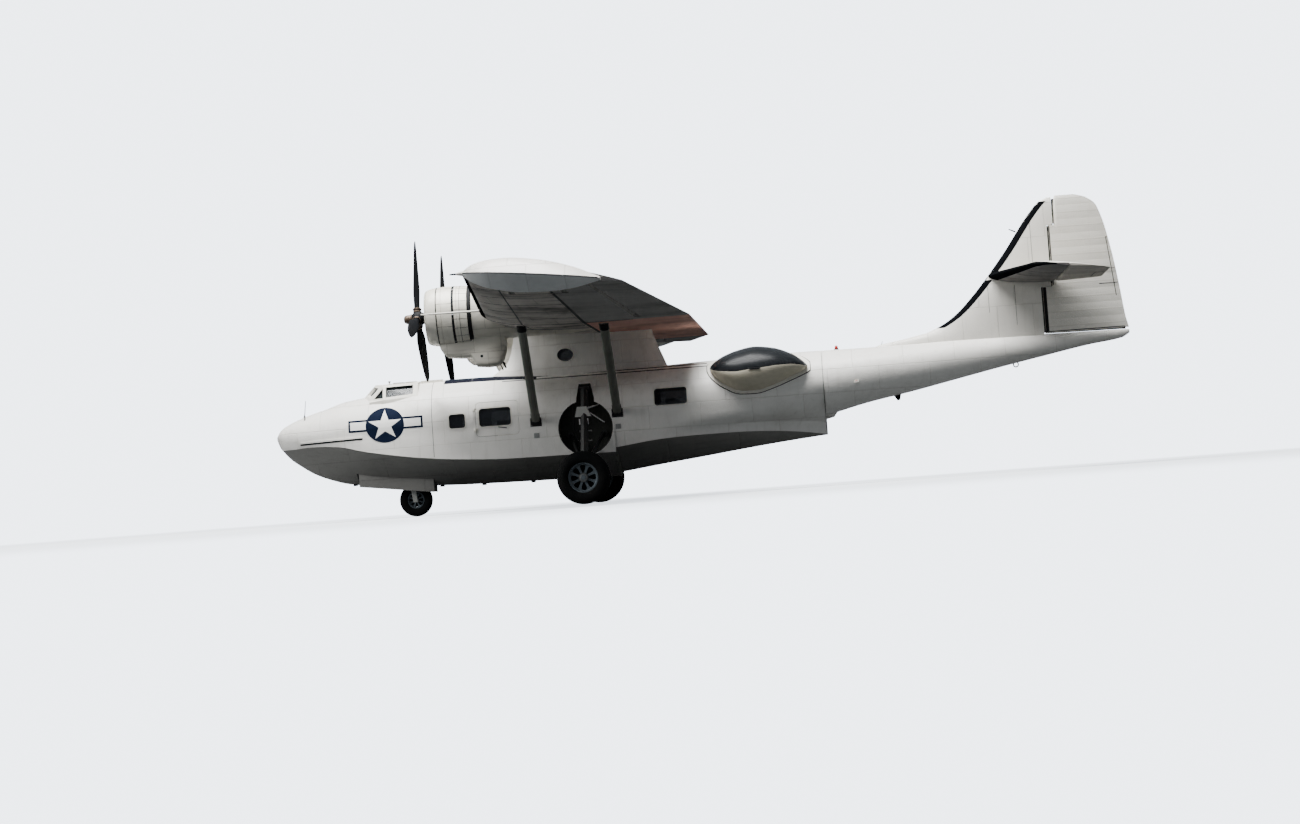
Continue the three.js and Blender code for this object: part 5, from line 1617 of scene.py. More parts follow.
@dataclass
class Wing:
    """The wing: a metal box ahead of a fabric trailing edge, with ailerons."""

    split: float = 0.5
    gap: float = 0.0001
    joint_y: float = 5.49
    end_y: float = 14.95
    aileron_y: Pair = (6.0, 14.5)
    hinge: float = 0.79

    def cove(self, span: float) -> float:
        """Returns the share of the chord where the fixed trailing edge ends ahead of the aileron."""
        half = WING.core(span, self.hinge)[1]
        row = WING.lines.at(span)
        return self.hinge - (half + RUNNING + 0.004) / (row.trail_x - row.lead_x)

    def box(self, name: str, spans: Sequence[float], signs: Sequence[int], cuts: Sequence[Piece]) -> None:
        """Builds one metal box."""
        shape = Shape()
        for sign in signs:
            WING.add(shape, spans, 0.0, self.split, 0.0, sign, boot=4)
        piece = shape.build(f"{name}_skin", Finish.WING_TOP, Finish.WING_UNDER, Finish.BOOT)
        fit(carve(piece, cuts) if cuts else piece, AIRFRAME, [name])

    def trail(self, name: str, sign: int) -> None:
        """Builds the fixed fabric trailing edge of one outer wing."""
        shape = Shape()
        start = self.joint_y + TOUCH
        WING.add(shape, spread(start, self.end_y, 20), self.split + self.gap, self.cove, 0.0, sign)
        piece = shape.build(f"{name}_fabric", Finish.WING_TOP, Finish.WING_FABRIC)
        ends = []
        for a, b in ((start, self.aileron_y[0]), (self.aileron_y[1], self.end_y)):
            end = Shape()
            WING.add(end, spread(a, b, 3), lambda span: self.cove(span) - 0.02, 1.0, 0.0, sign)
            ends.append(end.build("tool"))
        carve(piece, ends, Cut.JOIN)
        fit(carve(piece, FLOATS.grooves(sign)), AIRFRAME, [name])

    def aileron(self, name: str, sign: int) -> None:
        """Builds one aileron."""
        spans = spread(self.aileron_y[0] + RUNNING, self.aileron_y[1] - RUNNING, 12)
        shape = WING.flap(Shape(), spans, lambda span: self.hinge, sign)
        piece = shape.build(f"aileron_{name}_fabric", Finish.WING_TOP, Finish.WING_FABRIC)
        fit(piece, f"aileron_{name}", [f"aileron_{name}"])

    def build(self) -> None:
        """Builds the whole wing."""
        centre = spread(0.0, self.joint_y, 3)
        self.box("wing_centre", centre, (-1, 1), [])
        shape = Shape()
        for sign in SIDES.values():
            WING.add(shape, centre, self.split + self.gap, 1.0, 0.0, sign)
        piece = shape.build("trailing_edge_centre_fabric", Finish.WING_TOP, Finish.BROWN_FABRIC)
        fit(piece, AIRFRAME, ["trailing_edge_centre"])
        for name, sign in SIDES.items():
            spans = spread(self.joint_y + TOUCH, self.end_y, 20)
            self.box(f"wing_outer_{name}", spans, (sign,), FLOATS.grooves(sign))
            self.trail(f"trailing_edge_{name}", sign)
            self.aileron(name, sign)


@dataclass
class Floats:
    """The wing-tip floats and the channels that their folded legs lie in."""

    hinge_y: float = 12.75
    leg_x: Pair = (6.75, 7.75)
    leg_radius: float = 0.045
    deck_y: float = 14.965
    section: Pairs = (
        (0.00, 0.74), (0.05, 0.83), (0.14, 0.92), (0.24, 0.985), (0.36, 1.0), (0.50, 0.90), (0.68, 0.66),
        (0.85, 0.35), (1.00, 0.04)
    )
    keys: tuple[float, ...] = (6.03, 6.23, 6.60, 7.05, 7.50, 8.05, 8.59)
    halves: tuple[float, ...] = (0.025, 0.165, 0.275, 0.320, 0.300, 0.210, 0.030)
    depths: tuple[float, ...] = (0.18, 0.52, 0.78, 0.885, 0.87, 0.74, 0.33)

    def deck_z(self, x: float) -> float:
        """Returns the height of the float's middle at x, in line with the wing's tip."""
        tip = WING.lines.at(Wing.end_y)
        return mix(tip.lead_z, tip.trail_z, (x - tip.lead_x) / (tip.trail_x - tip.lead_x)) + 0.015

    def pin_ends(self, sign: int, spare: float) -> tuple[Vector, Vector]:
        """Returns the ends of the legs' hinge tube, with some spare length."""
        ends = []
        for x in (self.leg_x[0] - 0.07, self.leg_x[1] + 0.07):
            under = WING.point(self.hinge_y, WING.share_at(self.hinge_y, x), -1)
            ends.append(place(x, sign * self.hinge_y, under.z + self.leg_radius + 0.012))
        along = (ends[1] - ends[0]).normalized()
        return ends[0] - along * spare, ends[1] + along * spare

    def channel(self, start: Vector, end: Vector, sideways: Vector) -> Piece:
        """Makes the tool for one channel."""
        wide = self.leg_radius + 0.012
        up = (end - start).cross(sideways).normalized()
        up = -up if up.z < 0 else up
        corners = ((-wide, wide), (wide, wide), (wide, -0.4), (-wide, -0.4))
        rings = [[p + sideways * across + up * rise for across, rise in corners] for p in (start, end)]
        return Shape().loft(rings, 1, 1).build("tool")

    def leg_ends(self, sign: int) -> list[tuple[Vector, Vector]]:
        """Returns the two ends of each leg."""
        a, b = self.pin_ends(sign, 0.0)
        legs = []
        for x in self.leg_x:
            root = a.lerp(b, (x - HALF_LENGTH - a.x) / (b.x - a.x))
            under = WING.point(Wing.end_y, WING.share_at(Wing.end_y, x), -1)
            legs.append((root, place(x, sign * (self.deck_y + 0.06), under.z + self.leg_radius + 0.012)))
        return legs

    def grooves(self, sign: int) -> list[Piece]:
        """Makes the tools for one wing's channels."""
        tools = [self.channel(root, end, AFT) for root, end in self.leg_ends(sign)]
        a, b = self.pin_ends(sign, TOUCH)
        return [*tools, self.channel(a, b, STARBOARD)]

    def build(self) -> None:
        """Builds both floats."""
        half, depth = Line(self.keys, self.halves), Line(self.keys, self.depths)
        for name, sign in SIDES.items():
            rings = []
            for t in spread(0.0, 1.0, 40):
                x = mix(self.keys[0], self.keys[-1], (1 - math.cos(math.pi * t)) / 2)
                z = self.deck_z(x)
                side = [(sign * (self.deck_y + d * depth(x)), h * half(x)) for d, h in self.section]
                above = [place(x, y, z + h) for y, h in reversed(side)]
                rings.append([place(x, y, z - h) for y, h in side] + above)
            count = len(self.section)
            shape = Shape().loft(rings, lambda r, s: int(s < count), 0)
            piece = shape.build(f"float_{name}_skin", Finish.FLOAT, Finish.FLOAT_BELLY)
            fit(piece, f"float_{name}", [f"float_{name}"])


FLOATS = Floats()


@dataclass
class Tail:
    """Fin, rudder, tailplanes and elevators."""

    steps: Pairs = ((4.11, 17.55), (5.50, 17.78), (6.12, 17.92))
    foot: float = 2.9
    rudder_x: float = 18.02
    elevator_x: float = 17.95
    booted: Pairs = ((3.36, 4.36), (4.46, 6.04))

    def fin_parts(self, grow: float) -> list[Shape]:
        """Returns the fixed fin's steps."""
        parts = []
        for i, (top, x) in enumerate(self.steps):
            low = self.steps[i - 1][0] - 0.001 if i else self.foot
            spans = spread(low, top, 14 if i < 2 else 10)
            parts.append(FIN.add(Shape(), spans, 0.0, FIN.crossing(x), grow, 1, 2, self.booted))
        return parts

    def build_fin(self) -> None:
        """Builds the fin."""
        first, *rest = [
            part.build("fin_skin", Finish.TAIL, Finish.TAIL, Finish.BOOT) for part in self.fin_parts(0.0)
        ]
        carve(first, rest, Cut.JOIN)
        rings = [SHELL.boom_ring(x, -TOUCH) for x in spread(12.6, 19.4, 30)]
        carve(first, [Shape().loft(rings).build("tool")])
        fit(first, AIRFRAME, ["fin"])

    def build_rudder(self) -> None:
        """Builds the rudder."""
        low = FIN.add(Shape(), spread(3.065, 4.1, 10), FIN.crossing(17.585), 1.0)
        mid = FIN.add(Shape(), spread(4.098, 5.49, 10), FIN.crossing(17.815), 1.0)
        spans = [*spread(5.488, 5.87, 5), 5.95, 6.02, 6.07, 6.1, 6.125, 6.14, 6.15]
        top = FIN.flap(Shape(), spans, FIN.crossing(self.rudder_x))
        first, *rest = [part.build("rudder_fabric", Finish.RUDDER, Finish.RUDDER) for part in (low, mid, top)]
        fit(carve(first, rest, Cut.JOIN), "rudder", ["rudder"])

    def build_plane(self, name: str, sign: int) -> None:
        """Builds one tailplane and its elevator."""
        hinge = TAILPLANE.crossing(self.elevator_x)

        def cove(span: float) -> float:
            """Returns the share of the chord where the tailplane ends ahead of the elevator."""
            half = TAILPLANE.core(span, hinge(span), sign)[1]
            return TAILPLANE.share_at(span, self.elevator_x - half - RUNNING - 0.004)

        spans = [*spread(0.0, 4.2, 9), 4.35, 4.46, 4.54, 4.6, 4.63, 4.65]
        shape = TAILPLANE.add(Shape(), spans, 0.0, cove, 0.0, sign, boot=6)
        plane = shape.build(f"tailplane_{name}_skin", Finish.WING_TOP, Finish.TAIL_UNDER, Finish.BOOT)
        tools = [part.build("tool") for part in self.fin_parts(TOUCH)]
        tools.append(block((17.7, 19.6), (-0.19, 0.19), (3.9, 4.9)))
        fit(carve(plane, tools), AIRFRAME, [f"tailplane_{name}"])
        spans = [*spread(0.06, 4.2, 9), 4.35, 4.46, 4.54, 4.6, 4.64]
        flap = TAILPLANE.flap(Shape(), spans, hinge, sign).build(
            f"elevator_{name}_fabric", Finish.WING_TOP, Finish.ELEVATOR
        )
        vee = [(17.8, 0.0), (17.8, 0.2), (19.3, 0.64), (19.3, 0.0)]
        rings = [[place(x, sign * y, z) for x, y in vee] for z in (3.6, 4.9)]
        fit(
            carve(flap, [Shape().loft(rings).build("tool")]), f"elevator_{name}",
            [f"elevator_{name}"]
        )

    def build(self) -> None:
        """Builds the whole tail."""
        self.build_fin()
        self.build_rudder()
        for name, sign in SIDES.items():
            self.build_plane(name, sign)


SHELL = HullShell()


class PylonStation(NamedTuple):
    """One level of the pylon."""

    z: float
    nose: float
    tail: float
    half: float


@dataclass
class Pylon:
    """The pylon that carries the wing over the hull."""

    rows: tuple[PylonStation, ...] = (
        PylonStation(2.85, 4.90, 9.05, 0.520), PylonStation(3.01, 4.98, 9.00, 0.512),
        PylonStation(3.28, 5.35, 8.90, 0.495), PylonStation(3.54, 5.48, 8.80, 0.482),
        PylonStation(3.85, 5.55, 8.70, 0.472), PylonStation(4.15, 5.59, 8.65, 0.470)
    )
    plan_at: tuple[float, ...] = (0.0, 0.03, 0.12, 0.35, 0.65, 0.88, 1.0)
    plan: tuple[float, ...] = (0.08, 0.40, 0.75, 1.0, 0.88, 0.42, 0.04)
    window: tuple[float, float, float, float] = (6.74, 3.395, 0.185, 0.145)

    def solid(self, inset: float, mark: int) -> Piece:
        """Makes it as a solid, drawn in by inset."""
        lines, plan = Lines(self.rows), Line(self.plan_at, self.plan)
        heights = [2.85, 2.95, 3.01, 3.07, 3.13, 3.20, 3.28, 3.38, 3.54, 3.75, 3.95, 4.15]
        rings = []
        for level in heights:
            row = lines.at(level)
            last = level == heights[-1]
            side = []
            for t in spread(0.0, 1.0, 30):
                t = t**1.5
                x = mix(row.nose + inset, row.tail - 3 * inset, t)
                z = mix(4.254, 3.855, (x - 5.375) / 4.425) if last else level
                side.append((x, max(plan(t) * (row.half - inset), 0.006), z))
            rings.append(
                [place(x, y, z) for x, y, z in side] + [place(x, -y, z) for x, y, z in reversed(side)]
            )
        return Shape().loft(rings, mark, mark).build("pylon_skin", Finish.CREAM, Finish.INSIDE)

    def half_at(self, x: float, z: float) -> float:
        """Returns the pylon's half-breadth at a point of the side view."""
        row = Lines(self.rows).at(z)
        return Line(self.plan_at, self.plan)((x - row.nose) / (row.tail - row.nose)) * row.half

    def build(self) -> None:
        """Builds the pylon."""
        body = self.solid(0.0, 0)
        x, z, rx, rz = self.window
        oval = [(x + rx * math.cos(a), z + rz * math.sin(a)) for a in angles(40)]
        wing = WING.add(Shape(), (-1.0, 1.0), 0.0, 1.0, TOUCH)
        tools = [
            self.solid(0.04, 1), prism(oval, -0.9, 0.9), wing.build("tool"),
            HULL.solid(spread(4.5, STEP_X, 20), -TOUCH), HULL.solid(spread(7.789, 9.5, 14), -TOUCH, False)
        ]
        fit(carve(body, tools), AIRFRAME, ["pylon"])


@dataclass
class PowerUnit:
    """An engine in its ring cowl, with the nacelle and scoop behind and below it."""

    thrust_y: float = 2.6
    thrust_z: float = 4.35
    profile: Pairs = (
        (3.985, 0.560), (3.960, 0.528), (3.940, 0.508), (3.920, 0.520), (3.913, 0.545), (3.922, 0.570),
        (3.945, 0.592), (4.000, 0.616), (4.080, 0.636), (4.180, 0.649), (4.300, 0.655), (4.600, 0.655),
        (4.860, 0.640), (4.860, 0.615), (4.080, 0.615)
    )
    rows: Rows = (
        (4.95, 0.600, 0.600, 4.350), (5.30, 0.585, 0.585, 4.340), (5.70, 0.510, 0.530, 4.300),
        (6.30, 0.390, 0.420, 4.200), (7.00, 0.230, 0.330, 4.110), (7.60, 0.060, 0.200, 4.040)
    )
    scoop: Rows = (
        (4.14, 0.120, 3.740), (4.18, 0.170, 3.620), (4.24, 0.210, 3.520), (4.34, 0.240, 3.435),
        (4.60, 0.262, 3.400), (4.86, 0.270, 3.385), (4.90, 0.275, 3.290), (4.96, 0.280, 3.190),
        (5.20, 0.275, 3.162), (5.42, 0.262, 3.170), (5.50, 0.245, 3.230), (5.56, 0.220, 3.330),
        (5.62, 0.200, 3.500)
    )

    def axis(self, sign: int) -> Vector:
        """Returns the point of the thrust line at the bow's station."""
        return place(0.0, sign * self.thrust_y, self.thrust_z)

    def cowl(self, name: str, sign: int) -> None:
        """Builds the ring cowl."""
        shape = Shape().lathe(self.profile, self.axis(sign), AFT, 72)
        fit(shape.build(f"cowl_{name}_skin", Finish.COWL), AIRFRAME, [f"cowl_{name}"])

    def nacelle(self, name: str, sign: int) -> None:
        """Builds the nacelle and scoop."""
        y = sign * self.thrust_y
        keys, halves, rises, zs = (list(c) for c in zip(*self.rows))
        half, rise, middle = Line(keys, halves), Line(keys, rises), Line(keys, zs)
        rings = []
        for x in spread(keys[0], keys[-1], 24):
            wide, high, z = half(x), rise(x), middle(x)
            rings.append([place(x, y + wide * math.cos(a), z + high * math.sin(a)) for a in angles(48)])
        body = Shape().loft(rings).build(f"nacelle_{name}_skin", Finish.NACELLE)
        rings = []
        for x, wide, low in self.scoop:
            ring = []
            for i in range(17):
                a = math.pi * (1 + i / 16)
                out, down = math.cos(a), math.sin(a)
                across = wide * math.copysign(abs(out) ** 0.6, out)
                ring.append(place(x, y + across, low + 0.16 + 0.16 * -abs(down) ** 0.6))
            rings.append([place(x, y - wide, 3.85), *ring, place(x, y + wide, 3.85)])
        scoop = Shape().loft(rings).build("tool")
        carve(body, [scoop], Cut.JOIN)
        envelope = (
            (3.90, 0.0), (3.90, 0.60), (4.06, 0.64), (4.30, 0.656), (4.60, 0.656), (4.885, 0.65), (4.885, 0.0)
        )
        tools = [Shape().lathe(envelope, self.axis(sign), AFT, 72).build("tool")]
        wing = WING.add(Shape(), (1.5, 4.0), 0.0, 1.0, TOUCH, sign)
        carve(body, [*tools, wing.build("tool")])
        fit(body, AIRFRAME, [f"nacelle_{name}"])

    def engine(self, name: str, sign: int) -> None:
        """Builds the two-row engine."""
        case = (
            (3.862, 0.0), (3.862, 0.105), (3.90, 0.125), (3.96, 0.15), (4.02, 0.235), (4.05, 0.27),
            (4.56, 0.27), (4.70, 0.33), (4.9496, 0.33), (4.9496, 0.0)
        )
        shape = Shape().lathe(case, self.axis(sign), AFT, 40)
        courses = []
        for row, x in enumerate((4.18, 4.42)):
            for i in range(7):
                out = spoke((i + row / 2) / 7 * 2 * math.pi)
                root = place(x, sign * self.thrust_y, self.thrust_z)
                shape.rod(root + out * 0.22, root + out * 0.595, 0.07, sides=16)
                courses.append(Course([root + out * 0.3, root + out * 0.58]))
                if row == 0:
                    for side in (-1, 1):
                        shift = AFT.cross(out) * (0.035 * side)
                        start = root - AFT * 0.13 + out * 0.2 + shift * 0.6
                        shape.rod(start, root - AFT * 0.1 + out * 0.59 + shift, 0.012, sides=8)
        fit(shape.build(f"engine_{name}_core", Finish.IRON), AIRFRAME, [f"engine_{name}"])
        fins = repeat(
            f"engine_{name}_fins", Unit.DISC, courses, Finish.IRON, 0.094, Pitch=0.02, Depth=0.006, Sides=16
        )
        fit(fins)

    def build(self) -> None:
        """Builds both power units."""
        for name, sign in SIDES.items():
            self.cowl(name, sign)
            self.nacelle(name, sign)
            self.engine(name, sign)


class BladeStation(NamedTuple):
    """One station of a propeller blade."""

    r: float
    chord: float
    thick: float
    pitch: float


@dataclass
class Propeller:
    """A three-bladed propeller with its hub and dome."""

    x: float = 3.70
    turn: float = 17.0
    rows: tuple[BladeStation, ...] = (
        BladeStation(0.10, 0.130, 0.130, 45), BladeStation(0.33, 0.150, 0.110, 45),
        BladeStation(0.65, 0.265, 0.060, 38), BladeStation(1.15, 0.290, 0.034, 27),
        BladeStation(1.60, 0.240, 0.020, 21), BladeStation(1.79, 0.150, 0.014, 19),
        BladeStation(1.83, 0.050, 0.008, 19)
    )
    hub: Pairs = (
        (3.400, 0.0), (3.403, 0.040), (3.412, 0.062), (3.428, 0.080), (3.450, 0.092), (3.480, 0.098),
        (3.550, 0.100), (3.556, 0.112), (3.580, 0.114), (3.586, 0.100), (3.600, 0.120), (3.640, 0.150),
        (3.680, 0.162), (3.760, 0.162), (3.800, 0.145), (3.8615, 0.110), (3.8615, 0.0)
    )

    def build(self, name: str, sign: int) -> None:
        """Builds one propeller."""
        axis = place(0.0, sign * PowerUnit.thrust_y, PowerUnit.thrust_z)
        shape = Shape().lathe(self.hub, axis, AFT, 48, lambda r, s: 1 if r < 9 else 2)
        lines = Lines(self.rows)
        for i in range(3):
            out = spoke(math.radians(self.turn + 120 * i))
            side = AFT.cross(out)
            centre = place(self.x, sign * PowerUnit.thrust_y, PowerUnit.thrust_z)
            rings = []
            for r in [*spread(0.10, 1.60, 22), 1.68, 1.74, 1.79, 1.81, 1.822, 1.83]:
                row = lines.at(r)
                a = math.radians(row.pitch)
                wide = side * math.cos(a) + Vector((math.sin(a), 0, 0))
                deep = side * -math.sin(a) + Vector((math.cos(a), 0, 0))
                root, chord, thick = centre + out * r, row.chord / 2, row.thick / 2
                turns = [(chord * math.cos(t), thick * math.sin(t)) for t in angles(20)]
                rings.append([root + wide * along + deep * across for along, across in turns])
            shape.loft(rings)
            for start, end, radius in ((0.13, 0.20, 0.088), (0.20, 0.24, 0.098)):
                shape.rod(centre + out * start, centre + out * end, radius, sides=32, mark=1)
        piece = shape.build(f"propeller_{name}_blades", Finish.BLADE, Finish.BRONZE, Finish.FITTING)
        fit(piece, f"propeller_{name}", [f"propeller_{name}"])


@dataclass(frozen=True)
class WheelSize:
    """Sizes of one wheel."""

    x: float
    y: float
    radius: float
    width: float
    rim: float
    facets: int = 24

    @property
    def axle_z(self) -> float:
        """Height of the axle."""
        return self.radius * math.cos(math.pi / self.facets)


@dataclass
class Wheels:
    """Tyres and rims."""

    main: WheelSize = field(default_factory=lambda: WheelSize(7.10, 2.55, 0.595, 0.45, 0.33))
    nose: WheelSize = field(default_factory=lambda: WheelSize(3.07, 0.0, 0.38, 0.24, 0.19))

    def tyre(self, name: str, size: WheelSize, y: float, body: str) -> None:
        """Builds one tyre."""
        top = size.axle_z
        wall = top - size.rim
        half = [
            (0.34, 0.0), (0.40, 0.03), (0.45, 0.12), (0.485, 0.25), (0.5, 0.42), (0.49, 0.58), (0.455, 0.74),
            (0.40, 0.86), (0.33, 0.93), (0.30, 0.95), (0.295, 0.925), (0.275, 0.925), (0.27, 0.965),
            (0.16, 0.99), (0.155, 0.965), (0.135, 0.965), (0.13, 0.995), (0.02, 1.0), (0.015, 0.975)
        ]
        side = [(w * size.width, size.rim + t * wall) for w, t in half]
        profile = [(-w, r) for w, r in side] + list(reversed(side))
        shape = Shape().lathe(profile, place(size.x, y, top), STARBOARD, 96)
        fit(shape.build(f"{name}_rubber", Finish.TYRE, smooth=25.0), body, [name])

    def rim(self, name: str, size: WheelSize, outward: int, body: str) -> None:
        """Builds one rim with its eight spokes, hub and brake drum.

        Args:
            name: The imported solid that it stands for.
            size: The wheel's sizes.
            outward: 1 for the starboard wheel, -1 for the port one, 0 for the nose wheel.
            body: The body that it rides on.
        """
        axis, radius, width = STARBOARD, size.rim - TOUCH, size.width
        centre = place(size.x, outward * size.y, size.axle_z)
        half = [(0.33, 1.0), (0.33, 0.94), (0.27, 0.91), (0.23, 0.845)]
        ring = [(w * width, r * radius) for w, r in half]
        shape = Shape().lathe([(-w, r) for w, r in ring] + ring[::-1], centre, axis, 96)
        face, cap = 0.264 * width, 0.30 * width * outward
        hub = [
            (-face, 0.0), (-face, 0.27), (-0.2 * width, 0.33), (0.2 * width, 0.33), (face, 0.27), (face, 0.0)
        ]
        shape.lathe([(w, r * radius) for w, r in hub], centre, axis, 48, 2)
        drum = [(-0.24, 0.3), (-0.24, 0.835), (-0.08, 0.835), (-0.08, 0.3)]
        if outward:
            shape.rod(centre, centre + axis * cap, 0.2 * radius, sides=32, mark=2)
        else:
            drum = [(-0.02, 0.3), (-0.02, 0.835), (0.02, 0.835), (0.02, 0.3)]
        shape.lathe([(w * width * (outward or 1), r * radius) for w, r in drum], centre, axis, 96, 1)
        for turn in angles(8, 0.5):
            out = Vector((math.cos(turn), 0, math.sin(turn)))
            side = axis.cross(out)
            rings = []
            for r, wide in ((0.28, 0.09), (0.45, 0.075), (0.62, 0.08), (0.75, 0.11), (0.86, 0.21)):
                root = centre + out * (r * radius) + axis * (0.1 * width * outward)
                deep = axis * (0.06 * width)
                flank = side * (wide * radius)
                rings.append(
                    [root - flank - deep, root + flank - deep, root + flank + deep, root - flank + deep]
                )
            shape.loft(rings)
            bolt = centre + out * (0.2 * radius)
            shape.rod(
                bolt, bolt + axis * (0.285 * width * (outward or 0.95)), 0.022 * radius, sides=8, mark=2
            )
        piece = shape.build(f"{name}_spokes", Finish.RIM, Finish.FITTING, Finish.BARE)
        fit(piece, body, [name])

    def build(self) -> None:
        """Builds the tyres and rims."""
        for name, sign in SIDES.items():
            self.tyre(f"tyre_main_{name}", self.main, sign * self.main.y, f"main_wheel_{name}")
            self.rim(f"rim_main_{name}", self.main, sign, f"main_wheel_{name}")
        self.tyre("tyre_nose", self.nose, 0.0, "nose_wheel")
        self.rim("rim_nose", self.nose, 0, "nose_wheel")


@dataclass
class PackedPieces:
    """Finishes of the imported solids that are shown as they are."""

    plain: tuple[tuple[str, Finish], ...] = (
        ("cockpit_frame", Finish.FRAME), ("cockpit_glass", Finish.CLEAR), ("cockpit_interior", Finish.SEAT),
        ("strut_front_port", Finish.STRUT), ("strut_front_starboard", Finish.STRUT),
        ("strut_rear_port", Finish.STRUT), ("strut_rear_starboard", Finish.STRUT),
        ("main_leg_port", Finish.DARK_LEG), ("main_leg_starboard", Finish.DARK_LEG), ("nose_leg", Finish.LEG),
        ("nose_fork", Finish.LEG), ("nose_door_port", Finish.BOTTOM), ("nose_door_starboard", Finish.BOTTOM),
        ("pitot_boom", Finish.FRAME), ("float_legs_port", Finish.STRUT),
        ("float_legs_starboard", Finish.STRUT)
    )

    def build(self) -> None:
        """Dresses them."""
        for node, finish in self.plain:
            dress(node, finish)


# Markings, windows and fittings on the hull


def dense(outline: Outline, gap: float = 0.0471) -> list[Pair]:
    """Adds points to a closed outline so that none of its edges is longer than gap."""
    points = []
    for (x0, z0), (x1, z1) in zip(outline, [*outline[1:], outline[0]]):
        parts = max(1, math.ceil(math.hypot(x1 - x0, z1 - z0) / gap))
        points += [(mix(x0, x1, i / parts), mix(z0, z1, i / parts)) for i in range(parts)]
    return points


def ring_cells(inner: Outline, outer: Outline) -> Cells:
    """Divides the band between two outlines with matching points into facets."""
    count = len(inner)
    faces = [(i, (i + 1) % count, count + (i + 1) % count, count + i) for i in range(count)]
    return [*inner, *outer], faces


def side_strip(
    shape: Shape, path: Outline, sign: int, width: float, rise: float = 0.004, mark: int = 0
) -> Shape:
    """Adds a narrow strip on the hull's side.

    Args:
        shape: The shape to add to.
        path: Its middle line in the side view.
        sign: 1 for starboard, -1 for port.
        width: Its width.
        rise: How far it stands proud of the skin.
        mark: Finish number.

    Returns:
        The shape.
    """
    flat = []
    for i, (x, z) in enumerate(path):
        (x0, z0), (x1, z1) = path[max(i - 1, 0)], path[min(i + 1, len(path) - 1)]
        half = width / 2 / math.hypot(x1 - x0, z1 - z0)
        flat += [(x + (z1 - z0) * half, z - (x1 - x0) * half), (x - (z1 - z0) * half, z + (x1 - x0) * half)]
    faces = [(2 * i, 2 * i + 1, 2 * i + 3, 2 * i + 2) for i in range(len(path) - 1)]
    return side_plate(shape, flat, faces, sign, (-0.003, rise), mark)


def side_course(path: Outline, sign: int) -> Course:
    """Returns a line on the hull's side, with its outward directions."""
    points = [HULL.on_side(x, z, sign) for x, z in path]
    outward = [(HULL.on_side(x, z, sign, 0.01) - p) / 0.01 for (x, z), p in zip(path, points)]
    return Course(points, outward)


def foil_band(
    shape: Shape, form: FoilForm, spans: Sequence[float], fore: Limit, aft: Limit, face: int, sign: int = 1,
    cells: int = 1, rise: float = 0.004, mark: int = 0
) -> Shape:
    """Adds a thin band on a flying surface.

    Args:
        shape: The shape to add to.
        form: The surface.
        spans: Places along the span.
        fore: Share of the chord where it begins, or a function of the span.
        aft: Share where it ends, or a function of the span.
        face: 1 for the upper or starboard face, -1 for the other.
        sign: 1 for the starboard surface, -1 for the port one.
        cells: Facets along the chord.
        rise: How far it stands proud of the skin.
        mark: Finish number.

    Returns:
        The shape.
    """
    grid = [(s, u) for s in spans for u in spread(share_of(fore, s), share_of(aft, s), cells + 1)]
    tops = [form.point(s, u, face, rise, sign) for s, u in grid]
    unders = [form.point(s, u, face, -0.003, sign) for s, u in grid]
    row = cells + 1
    faces = [
        (i * row + j, i * row + j + 1, (i + 1) * row + j + 1, (i + 1) * row + j)
        for i in range(len(spans) - 1) for j in range(cells)
    ]
    return plate(shape, tops, unders, faces, mark)


@dataclass
class Insignia:
    """The white star and bars on dark blue, on each side of the bow."""

    centre: Pair = (2.64, 2.10)
    radius: float = 0.40
    lean: float = 0.88
    border: float = 0.045
    reach: Pair = (1.79, 3.51)
    layers: tuple[float, ...] = (0.0035, 0.0045, 0.0055, 0.0065)

    def outline(self, radii: Sequence[float], sides: int) -> list[Pair]:
        """Returns a closed outline whose points lie at the given radii in turn."""
        x, z = self.centre
        points = []
        for i, a in enumerate(angles(sides)):
            r = radii[i % len(radii)]
            points.append((x + r * math.sin(a), z + r * self.lean * math.cos(a)))
        return dense(points)

    def build(self) -> None:
        """Builds the markings of both sides."""
        shape = Shape()
        rise, edge = self.radius * self.lean, self.border
        low, high = self.centre[1] - 0.191 * rise, self.centre[1] + 0.309 * rise
        parts = (
            grid_cells(spread(*self.reach, 36), spread(low - edge, high + edge, 8)),
            grid_cells(spread(self.reach[0] + edge, self.reach[1] - edge, 36), spread(low, high, 6)),
            outline_cells(self.outline((self.radius + edge,), 64), 10),
            outline_cells(self.outline((self.radius, 0.382 * self.radius), 10), 10)
        )
        for sign in SIDES.values():
            for i, (flat, faces) in enumerate(parts):
                side_plate(shape, flat, faces, sign, (-0.003, self.layers[i]), i % 2)
        fit(shape.build("insignia", Finish.DISC, Finish.STAR))


